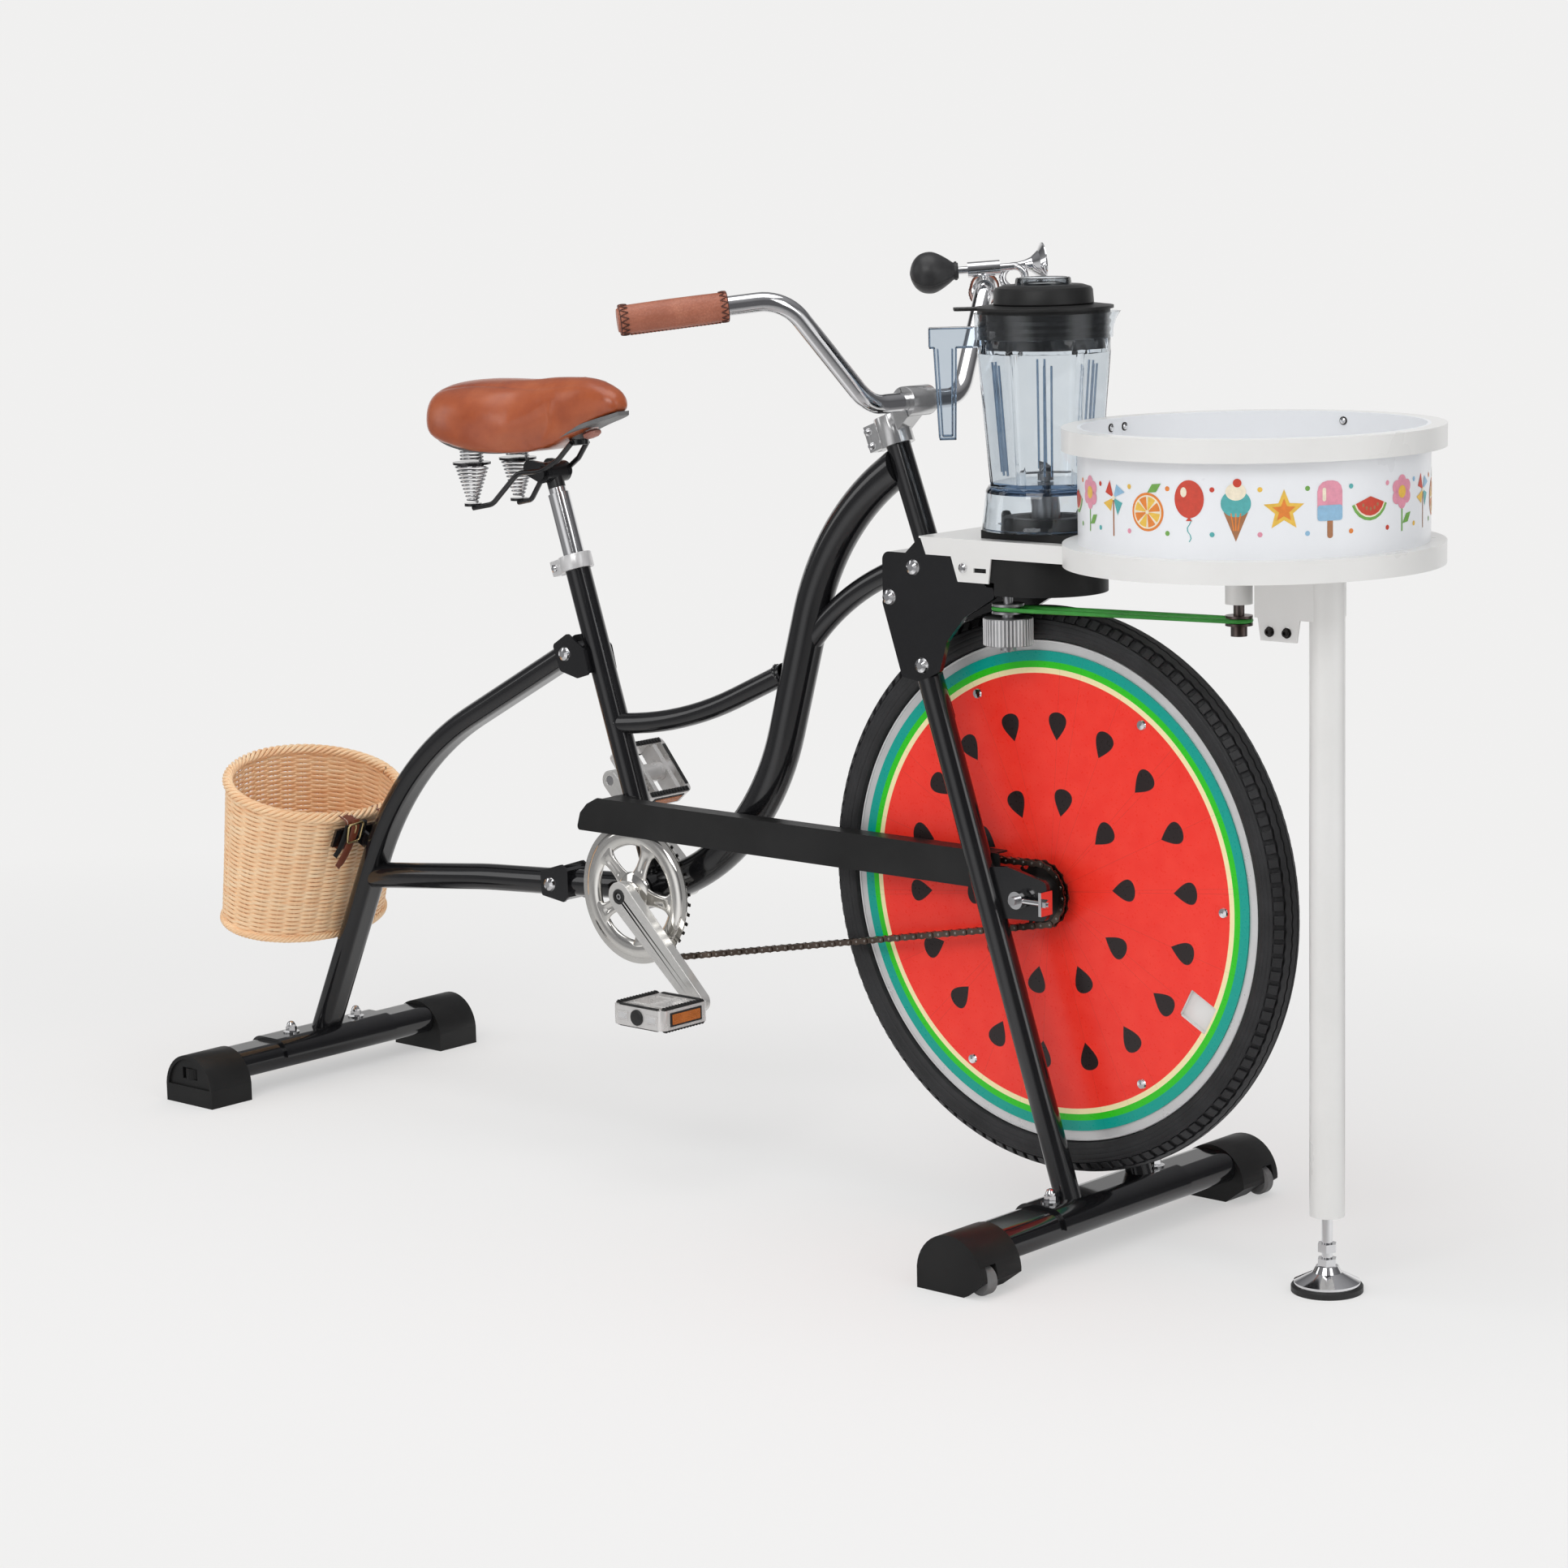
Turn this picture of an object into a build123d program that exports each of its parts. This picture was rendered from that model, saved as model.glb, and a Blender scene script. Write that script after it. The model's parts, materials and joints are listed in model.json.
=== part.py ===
"""Pedal-driven blender bicycle: frame, wheel drive, jug, spinning drum, basket and sprung saddle.

Millimetres. X runs forward to the drum, Y to the rider's left, Z up, and the floor is at Z = 0.
Most positions are measured from the wheel axle: forward of it, to its left, and above it.
"""

import math
import os

from build123d import *

os.makedirs("parts", exist_ok=True)

# Fits
fixed_gap = 0.02
weld_gap = 0.05
running_gap = 0.05
loose_gap = 0.3

# Wheel
tyre_half_width = 24.0
tyre_depth = 44.5
tyre_bead = 6.5
tyre_wall = 3.0
rim_outer = 285.5
rim_depth = 23.5
rim_half_width = 14.0
rim_wall = 2.0
disc_lap = 12.0
disc_thickness = 2.0
disc_hole = 24.0
disc_screw_inset = 34.0
disc_screw_angles = [57.0, 115.0, 180.0, 241.0, 302.0, 1.0]
disc_screw_radius = 3.0
valve_inset = 41.0
valve_angle = -28.4
valve_window = 38.0
valve_window_width = 35.0
hub_radius = 18.0
hub_half = 50.0
hub_flange = 27.0
spoke_count = 24
spoke_radius = 1.0
axle_radius = 5.0
axle_half = 85.0
tyre_floor_gap = 73.5
axle_x = 438.6
tyre_radius = rim_outer - tyre_bead + tyre_depth
rim_inner = rim_outer - rim_depth
disc_radius = rim_inner + disc_lap
disc_screw_circle = disc_radius - disc_screw_inset
valve_circle = disc_radius - valve_inset
axle_z = tyre_radius + tyre_floor_gap

# Chain drive
chain_pitch = 12.7
sprocket_teeth = 18
ring_teeth = 42
chain_links = 130
chain_y = -36.0
tooth_thickness = 2.2
chain_roller = 3.9
chain_band = 4.2
chain_plate = 1.6
chain_inside = 3.2
tooth_tip = 1.5
tooth_gap = 0.8
guard_spacer = 5.0
bracket_drop = -70.0
spindle_radius = 8.5
shell_radius = 23.0
shell_half = 34.0
crank_length = 170.0
crank_angle = -43.0
crank_thickness = 14.0
right_crank_inner = 58.0
left_crank_inner = 43.0
guard_ring_radius = 88.0
pedal_axle_radius = 6.0
pedal_clear = 20.0
pedal_width = 80.0
pedal_length = 84.0
pedal_height = 24.0
left_pedal_tilt = -50.5

# Feet
rear_foot_forward = -1271.0
rear_foot_length = 475.0
front_foot_forward = 60.0
front_foot_length = 549.0
foot_width = 68.0
foot_height = 36.0
foot_wall = 2.0
foot_middle = 42.0
cap_width = 92.0
cap_height = 66.0
cap_shoulder = 24.0
cap_length = 68.0
cap_socket = 34.0
cap_gap = 0.2
cap_edge = 5.0
cap_recess = 3.0
saddle_plate = 4.0
rear_plate_half = 98.0
rear_nut = 58.0
front_plate_half = 116.0
front_nut = 97.0
stud_radius = 4.0
wheel_knob = 12.5
wheel_knob_height = 14.0
wheel_knob_low = 34.3
wheel_knob_inset = 13.0
roller_tyre = 17.0
roller_tyre_width = 16.0
roller_tyre_forward = 32.0
roller_tyre_up = 18.5
roller_tyre_inset = 18.0

# Rear stay
stay_width = 44.0
stay_depth = 28.0
stay_wall = 2.2
stay_bend = 460.0
rail_radius = 17.0
rail_wall = 2.0
lug_plate = 3.2
lug_bolt = 4.0
basket_bar = 56.0
basket_bar_height = 26.0
basket_bar_thickness = 4.0
basket_bar_gap = 8.0

# Main frame
down_radius = 22.0
down_wall = 1.8
down_bend = 310.0
mid_radius = 13.0
upper_radius = 13.5
brace_wall = 1.5
stub_radius = 17.0
seat_lean = 17.9
seat_tube_radius = 15.9
seat_tube_bore = 13.65
seat_tube_top = 425.6
collar_radius = 21.0
collar_height = 19.0
collar_top = 427.0
steerer_lean = 20.3
steerer_radius = 14.3
steerer_wall = 2.0
steerer_length = 152.5

# Seat
seatpost_radius = seat_tube_bore - running_gap
seatpost_low = 285.0
seatpost_high = 506.0
seat_pivot = 534.0
pivot_radius = 4.0
pivot_head_half = 14.0
pan_thickness = 5.0
spring_wire = 1.25
spring_wide = 19.0
spring_narrow = 6.5
spring_turns = 9.0
spring_height = 46.0
spring_side = 40.0
spring_forward = -897.0
spring_seat = 16.0
short_spring_radius = 14.0
short_spring_turns = 3.0

# Handlebar
bar_radius = 11.1
bar_wall = 2.0
bar_forward = 42.6
bar_up = 161.3
barrel_radius = 17.5
barrel_half = 21.0
grip_radius = 16.5
bell_radius = 25.0
horn_tube = 4.5
horn_loop = 13.0
horn_turn = 42.4
horn_tilt = 3.0
bulb_radius = 24.5
horn_share = 0.215

# Fork, crown and plates
leg_radius = 15.0
leg_wall = 2.5
leg_side = 66.0
plate_inner = 63.0
plate_thickness = 6.0
crown_gap = 0.05
crown_height = 64.0
crown_wall = 6.0
crown_end = 14.0
dropout_outer = 66.0
dropout_thickness = 6.0
plate_bolt = 4.0

# Table, dock and blending drive
table_above_tyre = 74.5
table_sheet = 2.0
table_flange = 20.0
table_half = 71.3
housing_height = 59.0
housing_round = 69.0
housing_wall = 3.0
housing_floor = 4.0
housing_tail = -110.0
jug_forward = -12.0
roller_forward = -26.0
roller_radius = 27.5
roller_height = 31.0
roller_below_top = 40.5
tyre_touch_gap = 0.4
belt_over_roller = 10.0
belt_radius = 2.5
roller_pulley = 16.0
spinner_pulley = 13.0
pulley_half = 5.5
shaft_radius = 4.0
bearing_radius = 11.0
bearing_width = 7.0
inner_pulley = 11.5
coupler_pulley = 7.5
flat_belt = 1.6
flat_belt_width = 8.0
coupler_across = 10.0
coupler_flange = 16.5
dock_height = 9.0
dock_half = 53.0
dock_front = 73.0

# Jug and lid
skirt_radius = 71.5
skirt_height = 49.0
skirt_taper = 5.0
jug_wall = 3.0
jug_low_radius = 63.0
jug_high_radius = 76.0
jug_height = 163.0
jug_corner = 12.0
handle_turn = 222.0
handle_reach = 127.0
handle_half = 11.0
lid_height = 31.0
lid_tab = 22.0
cap_radius = 53.0
cap_plug = 44.0

# Drum and post
drum_forward = 270.0
drum_radius = 187.0
drum_wall_thickness = 4.0
drum_height = 148.0
drum_below_table = 11.0
drum_floor_thickness = 3.0
hoop_radius = 204.0
hoop_height = 24.0
hoop_wall = 2.0
spinner_forward = 252.0
spinner_radius = 60.0
post_forward = 372.0
post_side = -11.0
post_radius = 19.0
post_wall = 2.0
post_low = 84.0
foot_rod = 6.0
foot_pad = 39.0
foot_pad_height = 8.0

# Basket and straps
basket_forward = -1256.6
basket_side = -10.0
basket_above = 5.1
basket_lean = 22.9
basket_height = 183.0
basket_rim_width = 270.0
basket_rim_depth = 187.0
basket_base_width = 265.6
basket_base_depth = 132.0
basket_base_shift = 40.6
basket_wall = 6.0
strap_side = 33.0
strap_width = 22.0
strap_thickness = 2.5
strap_drop = 46.0


def place(forward, left, above):
    """A point measured from the wheel axle."""
    return Vector(axle_x + forward, left, axle_z + above)


def flat(forward, above):
    """The same for an outline drawn in the upright plane along the bicycle."""
    return (axle_x + forward, axle_z + above)


def along_angle(degrees):
    """Unit direction in the upright plane along the bicycle, measured up from forward."""
    turn = math.radians(degrees)
    return Vector(math.cos(turn), 0, math.sin(turn))


def add_rod(start, end, radius, bore=0.0, mode=Mode.ADD):
    """Round bar or pipe between two points."""
    along = end - start
    with BuildSketch(Plane(origin=start, z_dir=along)) as face:
        Circle(radius)
        if bore > 0:
            Circle(bore, mode=Mode.SUBTRACT)
    extrude(face.sketch, amount=along.length, mode=mode)


def add_tube(points, bends, radius, mode=Mode.ADD):
    """Round bar bent along a line of points, with one bend radius or one for each corner."""
    with BuildLine() as route:
        if len(points) == 2:
            Line(*points)
        else:
            FilletPolyline(*points, radius=bends)
    with BuildSketch(Plane(origin=route.line @ 0, z_dir=route.line % 0)) as face:
        Circle(radius)
    sweep(face.sketch, path=route.line, mode=mode)


def add_oval_tube(points, bend, width, depth, mode=Mode.ADD):
    """Flat-oval bar bent in the upright plane, its width lying sideways."""
    with BuildLine() as route:
        FilletPolyline(*points, radius=bend)
    with BuildSketch(Plane(origin=route.line @ 0, x_dir=(0, 1, 0), z_dir=route.line % 0)) as face:
        SlotOverall(width, depth)
    sweep(face.sketch, path=route.line, mode=mode)


def add_plate(outline, left_face, right_face, corner=0.0, mode=Mode.ADD):
    """Plate standing along the bicycle: outline in (forward, up), between two sideways faces."""
    with BuildSketch(Plane(origin=(0, left_face, 0), x_dir=(1, 0, 0), z_dir=(0, -1, 0))) as face:
        with BuildLine():
            Polyline(*outline, close=True)
        make_face()
        if corner > 0:
            fillet(face.vertices(), corner)
    extrude(face.sketch, amount=left_face - right_face, mode=mode)


def add_sheet(outline, low, high, corner=0.0, mode=Mode.ADD):
    """Level plate: outline in (forward, left), between two heights."""
    with BuildSketch(Plane.XY.offset(low)) as face:
        with BuildLine():
            Polyline(*outline, close=True)
        make_face()
        if corner > 0:
            fillet(face.vertices(), corner)
    extrude(face.sketch, amount=high - low, mode=mode)


def add_arm(first, first_radius, second, second_radius, left_face, right_face, mode=Mode.ADD):
    """Plate with two round ends in the upright plane along the bicycle."""
    with BuildSketch(Plane(origin=(0, left_face, 0), x_dir=(1, 0, 0), z_dir=(0, -1, 0))) as face:
        with Locations(first):
            Circle(first_radius)
        with Locations(second):
            Circle(second_radius)
        make_hull()
    extrude(face.sketch, amount=left_face - right_face, mode=mode)


def add_turned(origin, axis, outline, mode=Mode.ADD):
    """Solid of revolution; the outline pairs are (radius, distance along the axis)."""
    axis = Vector(axis).normalized()
    side = Vector(1, 0, 0)
    if abs(axis.Z) < 0.999999:
        side = axis.cross(Vector(0, 0, 1)).normalized()
    with BuildSketch(Plane(origin=origin, x_dir=side, z_dir=side.cross(axis))) as half:
        with BuildLine():
            Polyline(*outline, close=True)
        make_face()
    revolve(half.sketch, axis=Axis(origin, axis), mode=mode)


def add_hex(origin, axis, across_flats, length, mode=Mode.ADD):
    """Six-sided bar."""
    with BuildSketch(Plane(origin=origin, z_dir=axis)) as face:
        RegularPolygon(across_flats / 2, 6, major_radius=False)
    extrude(face.sketch, amount=length, mode=mode)


def add_bolt(seat, out, shank, length, head, head_height):
    """Screw with a domed head standing on its seat and a plain shank going in."""
    add_turned(seat, out, [(0, 0), (head, 0), (head * 0.86, head_height * 0.6), (head * 0.45, head_height),
                           (0, head_height)])
    add_rod(seat, seat - out * length, shank)


def loop_corners(first, first_radius, second, second_radius):
    """Tangent points and far points of a loop round two circles, as flat pairs."""
    run = (second[0] - first[0], second[1] - first[1])
    span = math.hypot(*run)
    ahead = (run[0] / span, run[1] / span)
    side = (-ahead[1], ahead[0])
    dip = (first_radius - second_radius) / span
    rise = math.sqrt(1 - dip * dip)

    def at(centre, radius, forward, across):
        x = centre[0] + radius * (forward * ahead[0] + across * side[0])
        y = centre[1] + radius * (forward * ahead[1] + across * side[1])
        return (x, y)

    return {"first_up": at(first, first_radius, dip, rise),
            "first_low": at(first, first_radius, dip, -rise),
            "second_up": at(second, second_radius, dip, rise),
            "second_low": at(second, second_radius, dip, -rise),
            "first_far": at(first, first_radius, -1, 0),
            "second_far": at(second, second_radius, 1, 0)}


def loop_line(first, first_radius, second, second_radius):
    """Draws the loop round two circles into the line being built."""
    corner = loop_corners(first, first_radius, second, second_radius)
    Line(corner["first_up"], corner["second_up"])
    ThreePointArc(corner["second_up"], corner["second_far"], corner["second_low"])
    Line(corner["second_low"], corner["first_low"])
    ThreePointArc(corner["first_low"], corner["first_far"], corner["first_up"])


def coil_route(origin, ahead, side, turn_axis, start_radius, end_radius, length, turns, steps):
    """Points and directions of a coil that grows or narrows along its axis."""
    route = []
    for step in range(steps + 1):
        share = step / steps
        angle = 2 * math.pi * turns * share
        radius = start_radius + (end_radius - start_radius) * share
        spread = (end_radius - start_radius) / (2 * math.pi * turns)
        climb = length / (2 * math.pi * turns)
        outward = ahead * math.cos(angle) + side * math.sin(angle)
        round_way = side * math.cos(angle) - ahead * math.sin(angle)
        spot = origin + outward * radius + turn_axis * (length * share)
        heading = (round_way * radius + outward * spread + turn_axis * climb).normalized()
        route.append((spot, heading))
    return route


def coil_line(route):
    """Joins the points of a coil by pairs of arcs that share their directions."""
    for (start, start_way), (end, end_way) in zip(route, route[1:]):
        chord = end - start
        both = start_way + end_way
        square = both.dot(both) - 4
        middle = chord.dot(both)
        reach = (middle - math.sqrt(middle * middle - square * chord.dot(chord))) / square
        if reach < 0:
            reach = (middle + math.sqrt(middle * middle - square * chord.dot(chord))) / square
        first_knee = start + start_way * reach
        second_knee = end - end_way * reach
        joint = (first_knee + second_knee) * 0.5
        TangentArc(start, joint, tangent=start_way)
        TangentArc(joint, end, tangent=second_knee - first_knee)


def coil_gap(name, origin, ahead, side, turn_axis, start_radius, end_radius, length, turns, wire):
    """Prints the smallest gap between neighbouring turns, measured on points of the coil."""
    fine = coil_route(origin, ahead, side, turn_axis, start_radius, end_radius, length, turns, int(turns * 48))
    spots = [spot for spot, heading in fine]
    nearest = 1e9
    for index in range(len(spots)):
        for other in range(index + 24, len(spots)):
            nearest = min(nearest, (spots[index] - spots[other]).length)
    print(name, "gap between turns", round(nearest - 2 * wire, 2), "mm, curls", turns)


def add_coil(name, origin, ahead, side, turn_axis, start_radius, end_radius, length, turns, wire):
    """A wound wire as one unbroken tube."""
    route = coil_route(origin, ahead, side, turn_axis, start_radius, end_radius, length, turns, int(turns * 4))
    with BuildLine() as wound:
        coil_line(route)
    with BuildSketch(Plane(origin=route[0][0], z_dir=route[0][1])) as face:
        Circle(wire)
    sweep(face.sketch, path=wound.line)
    coil_gap(name, origin, ahead, side, turn_axis, start_radius, end_radius, length, turns, wire)


# Places worked out from the values above
ahead = Vector(1, 0, 0)
left = Vector(0, 1, 0)
up = Vector(0, 0, 1)
axle = place(0, 0, 0)
sprocket_pitch = chain_pitch / (2 * math.sin(math.pi / sprocket_teeth))
ring_pitch = chain_pitch / (2 * math.sin(math.pi / ring_teeth))
chain_length = chain_links * chain_pitch
drive_length = (chain_length - math.pi * (ring_pitch + sprocket_pitch)) / 2
drive_length = drive_length - (ring_pitch - sprocket_pitch) ** 2 / (2 * drive_length)
bracket_forward = -math.sqrt(drive_length ** 2 - bracket_drop ** 2)
bracket = place(bracket_forward, 0, bracket_drop)
seat_way = along_angle(90 + seat_lean)
steerer_way = along_angle(90 + steerer_lean)
steerer_front = along_angle(steerer_lean)
crown_low = tyre_radius - 8.5
crown_high = crown_low + crown_height
steerer_foot = place(-184, 0, crown_high)
bar_centre = steerer_foot + steerer_way * bar_up + steerer_front * bar_forward
rear_foot_x = axle_x + rear_foot_forward
front_foot_x = axle_x + front_foot_forward
foot_top = foot_middle + foot_height / 2
table_low = axle_z + tyre_radius + table_above_tyre
table_top = table_low + table_sheet
jug_centre = Vector(axle_x + jug_forward, 0, 0)
roller_side = -(tyre_half_width + tyre_touch_gap + roller_radius)
roller_centre = Vector(axle_x + roller_forward, roller_side, 0)
spinner_centre = Vector(axle_x + spinner_forward, -2, 0)
drum_centre = Vector(axle_x + drum_forward, 0, 0)
drum_low = table_low - drum_below_table
drum_high = drum_low + drum_height
roller_low = axle_z + tyre_radius - roller_below_top
belt_z = roller_low + roller_height + belt_over_roller
stay_points = [Vector(axle_x - 1268, 0, foot_top - 2), place(-1087, 0, 45), place(-747, 0, 225.3)]
rail_points = [place(-1158, 0, -114), place(-939, 0, -91), place(-787, 0, -81.5)]
leg_top = [place(-128, side * leg_side, 239) for side in (1, -1)]
leg_low = [Vector(front_foot_x + 2, side * leg_side, foot_top - 2) for side in (1, -1)]
plate_outer = plate_inner + plate_thickness
plate_outline = [flat(-140, 398), flat(-46, 398), flat(-46, 348), flat(-32, 348), flat(-32, 336), flat(-75, 312),
                 flat(-101, 283), flat(-112, 248), flat(-140, 234), flat(-168, 238), flat(-196, crown_low + 7),
                 flat(-160, crown_high + 1)]
plate_corner = 5.0
plate_outline[0] = (plate_outline[0][0], table_low)
plate_outline[1] = (plate_outline[1][0], table_low)
crown_box = [flat(-200, crown_low), flat(-134, crown_low), flat(-134, crown_high), flat(-200, crown_high)]
crown_half = plate_inner - crown_gap


# Foot tubes
def add_foot_oval(foot_x, half, grow, low, mode):
    with BuildSketch(Plane(origin=(foot_x, half, foot_middle), x_dir=(1, 0, 0), z_dir=(0, -1, 0))) as face:
        SlotOverall(foot_width + 2 * grow, foot_height + 2 * grow)
    extrude(face.sketch, amount=half - low, mode=mode)


rear_tube_half = rear_foot_length / 2 - cap_length + cap_socket
front_tube_half = front_foot_length / 2 - cap_length + cap_socket
with BuildPart() as foot_tubes:
    add_foot_oval(rear_foot_x, rear_tube_half, 0, -rear_tube_half, Mode.ADD)
    add_foot_oval(rear_foot_x, rear_tube_half, -foot_wall, -rear_tube_half, Mode.SUBTRACT)
    add_foot_oval(front_foot_x, front_tube_half, 0, -front_tube_half, Mode.ADD)
    add_foot_oval(front_foot_x, front_tube_half, -foot_wall, -front_tube_half, Mode.SUBTRACT)
    for foot_x, nut in ((rear_foot_x, rear_nut), (front_foot_x, front_nut)):
        for side in (1, -1):
            top = Vector(foot_x, side * nut, foot_top + 1)
            add_rod(top, top - up * 8, stud_radius + fixed_gap, mode=Mode.SUBTRACT)
foot_tubes.part.label = "foot_tubes"


# Foot caps
def add_cap(foot_x, half, side, front):
    end = Plane(origin=(foot_x, side * half, 0), x_dir=(side, 0, 0), z_dir=(0, -side, 0))
    lean = side * front
    with BuildSketch(end) as face:
        with BuildLine():
            if front:
                Polyline((-lean * cap_width / 2, cap_shoulder), (-lean * cap_width / 2, 0), (lean * 20, 0),
                         (lean * cap_width / 2, 19), (lean * cap_width / 2, cap_shoulder))
                ThreePointArc((lean * cap_width / 2, cap_shoulder), (0, cap_height),
                              (-lean * cap_width / 2, cap_shoulder))
            else:
                Polyline((-cap_width / 2, cap_shoulder), (-cap_width / 2, 0), (cap_width / 2, 0),
                         (cap_width / 2, cap_shoulder))
                ThreePointArc((cap_width / 2, cap_shoulder), (0, cap_height), (-cap_width / 2, cap_shoulder))
        make_face()
    extrude(face.sketch, amount=cap_length)
    with BuildSketch(end.offset(cap_length - cap_socket)) as socket:
        with Locations((0, foot_middle)):
            SlotOverall(foot_width + 2 * cap_gap, foot_height + 2 * cap_gap)
    extrude(socket.sketch, amount=cap_socket, mode=Mode.SUBTRACT)
    if not front:
        half_recess = cap_width / 2 - cap_edge
        with BuildSketch(end) as recess:
            with BuildLine():
                Polyline((-half_recess, cap_shoulder + 3), (-half_recess, cap_shoulder), (half_recess, cap_shoulder),
                         (half_recess, cap_shoulder + 3))
                ThreePointArc((half_recess, cap_shoulder + 3), (0, cap_height - cap_edge),
                              (-half_recess, cap_shoulder + 3))
            make_face()
        extrude(recess.sketch, amount=cap_recess, mode=Mode.SUBTRACT)


knob_gap = 0.5
roller_axis_z = roller_tyre_up
with BuildPart() as foot_caps:
    for side in (1, -1):
        add_cap(rear_foot_x, rear_foot_length / 2, side, 0)
        knob = Vector(rear_foot_x, side * (rear_foot_length / 2 - wheel_knob_inset), 0)
        add_rod(knob + up * (wheel_knob_low - knob_gap),
                knob + up * (wheel_knob_low + wheel_knob_height + knob_gap), wheel_knob + knob_gap,
                mode=Mode.SUBTRACT)
        with Locations(knob + left * (side * wheel_knob) + up * (wheel_knob_low + wheel_knob_height / 2)):
            Box(2 * wheel_knob + 4, 2 * wheel_knob, wheel_knob_height + 2 * knob_gap, mode=Mode.SUBTRACT)
        add_rod(knob - up, knob + up * 58, stud_radius + running_gap, mode=Mode.SUBTRACT)
        add_cap(front_foot_x, front_foot_length / 2, side, 1)
        turn = Vector(front_foot_x + roller_tyre_forward,
                      side * (front_foot_length / 2 - roller_tyre_inset), roller_axis_z)
        half_notch = roller_tyre_width / 2 + 0.9
        add_rod(turn - left * half_notch, turn + left * half_notch, roller_tyre + 1.2, mode=Mode.SUBTRACT)
        with Locations(turn - up * 15):
            Box(2 * roller_tyre + 2.4, 2 * half_notch, 30, mode=Mode.SUBTRACT)
        with Locations(turn + ahead * 15):
            Box(30, 2 * half_notch, 2 * roller_tyre + 2.4, mode=Mode.SUBTRACT)
        add_rod(turn - left * (side * 15), turn + left * (side * 16), stud_radius + fixed_gap, mode=Mode.SUBTRACT)
foot_caps.part.label = "foot_caps"

with BuildPart() as leveller_right:
    knob = Vector(rear_foot_x, -(rear_foot_length / 2 - wheel_knob_inset), 0)
    add_rod(knob + up * wheel_knob_low, knob + up * (wheel_knob_low + wheel_knob_height), wheel_knob)
    add_rod(knob + up * 0.4, knob + up * 57, stud_radius)
leveller_right.part.label = "leveller_right"

with BuildPart() as leveller_left:
    knob = Vector(rear_foot_x, rear_foot_length / 2 - wheel_knob_inset, 0)
    add_rod(knob + up * wheel_knob_low, knob + up * (wheel_knob_low + wheel_knob_height), wheel_knob)
    add_rod(knob + up * 0.4, knob + up * 57, stud_radius)
leveller_left.part.label = "leveller_left"

with BuildPart() as transport_rollers:
    for side in (1, -1):
        turn = Vector(front_foot_x + roller_tyre_forward,
                      side * (front_foot_length / 2 - roller_tyre_inset), roller_axis_z)
        half = roller_tyre_width / 2
        add_turned(turn, left, [(stud_radius + running_gap, -half), (roller_tyre - 3, -half),
                                (roller_tyre, -half + 3), (roller_tyre, half - 3),
                                (roller_tyre - 3, half), (stud_radius + running_gap, half)])
transport_rollers.part.label = "transport_rollers"


# Rear stay
def add_foot_saddle(foot_x, half):
    add_foot_oval(foot_x, half, cap_gap + saddle_plate, -half, Mode.ADD)
    with Locations((foot_x, 0, foot_middle - foot_height)):
        Box(foot_width * 2, 2 * half + 2, 2 * foot_height, mode=Mode.SUBTRACT)


stay_end = (stay_points[2] - stay_points[1]).normalized()
stay_way = (stay_points[1] - stay_points[0]).normalized()
stay_back = Vector(-stay_way.Z, 0, stay_way.X)
basket_axis = along_angle(90 - basket_lean)
basket_back = along_angle(180 - basket_lean)
basket_top = place(basket_forward, basket_side, basket_above)
rim_front = basket_top - basket_back * (basket_rim_depth / 2) - basket_axis * 24 - stay_points[0]
basket_bar_along = rim_front.dot(stay_way)
basket_bar_back = rim_front.dot(stay_back) - basket_bar_gap - basket_bar_thickness / 2
upper_bolt = place(-757, 0, 215)
lower_bolt = place(-802, 0, -82.4)
with BuildPart() as rear_stay:
    add_foot_saddle(rear_foot_x, rear_plate_half)
    add_oval_tube(stay_points, stay_bend, stay_width, stay_depth)
    add_tube(rail_points, 900, rail_radius)
    add_oval_tube(stay_points, stay_bend, stay_width - 2 * stay_wall, stay_depth - 2 * stay_wall, Mode.SUBTRACT)
    add_tube(rail_points, 900, rail_radius - rail_wall, Mode.SUBTRACT)
    with BuildSketch(Plane(origin=stay_points[2] - stay_end * 4, x_dir=(0, 1, 0), z_dir=stay_end)) as plug:
        SlotOverall(stay_width, stay_depth)
    extrude(amount=4)
    add_rod(rail_points[2] - ahead * 4, rail_points[2], rail_radius - rail_wall / 2)
    bar_spot = stay_points[0] + stay_way * basket_bar_along
    with Locations(Plane(origin=bar_spot + stay_back * basket_bar_back, x_dir=(0, 1, 0), z_dir=stay_way)):
        Box(2 * basket_bar, basket_bar_thickness, basket_bar_height)
    for side in (1, -1):
        rib = bar_spot + stay_back * (basket_bar_back / 2 + stay_depth / 4 - 2) + left * (side * 12)
        with Locations(Plane(origin=rib, x_dir=(0, 1, 0), z_dir=stay_way)):
            Box(5, basket_bar_back - stay_depth / 2 + 4, basket_bar_height - 6)
    add_foot_oval(rear_foot_x, rear_plate_half + 1, cap_gap, -rear_plate_half - 1, Mode.SUBTRACT)
    for side in (1, -1):
        top = Vector(rear_foot_x, side * rear_nut, foot_top + 9)
        add_rod(top, top - up * 14, stud_radius + fixed_gap, mode=Mode.SUBTRACT)
    for bolt in (upper_bolt, lower_bolt):
        add_rod(bolt - left * 30, bolt + left * 30, lug_bolt + fixed_gap, mode=Mode.SUBTRACT)
rear_stay.part.label = "rear_stay"

# Seat tube, with everything on it measured from the bottom bracket along its lean
with BuildPart() as seat_tube:
    add_rod(bracket + seat_way * 10, bracket + seat_way * seat_tube_top, seat_tube_radius)
    add_rod(bracket + seat_way * 60, bracket + seat_way * (seat_tube_top + 1), seat_tube_bore, mode=Mode.SUBTRACT)
    add_rod(bracket - left * 40, bracket + left * 40, shell_radius + weld_gap, mode=Mode.SUBTRACT)
seat_tube.part.label = "seat_tube"

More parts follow.
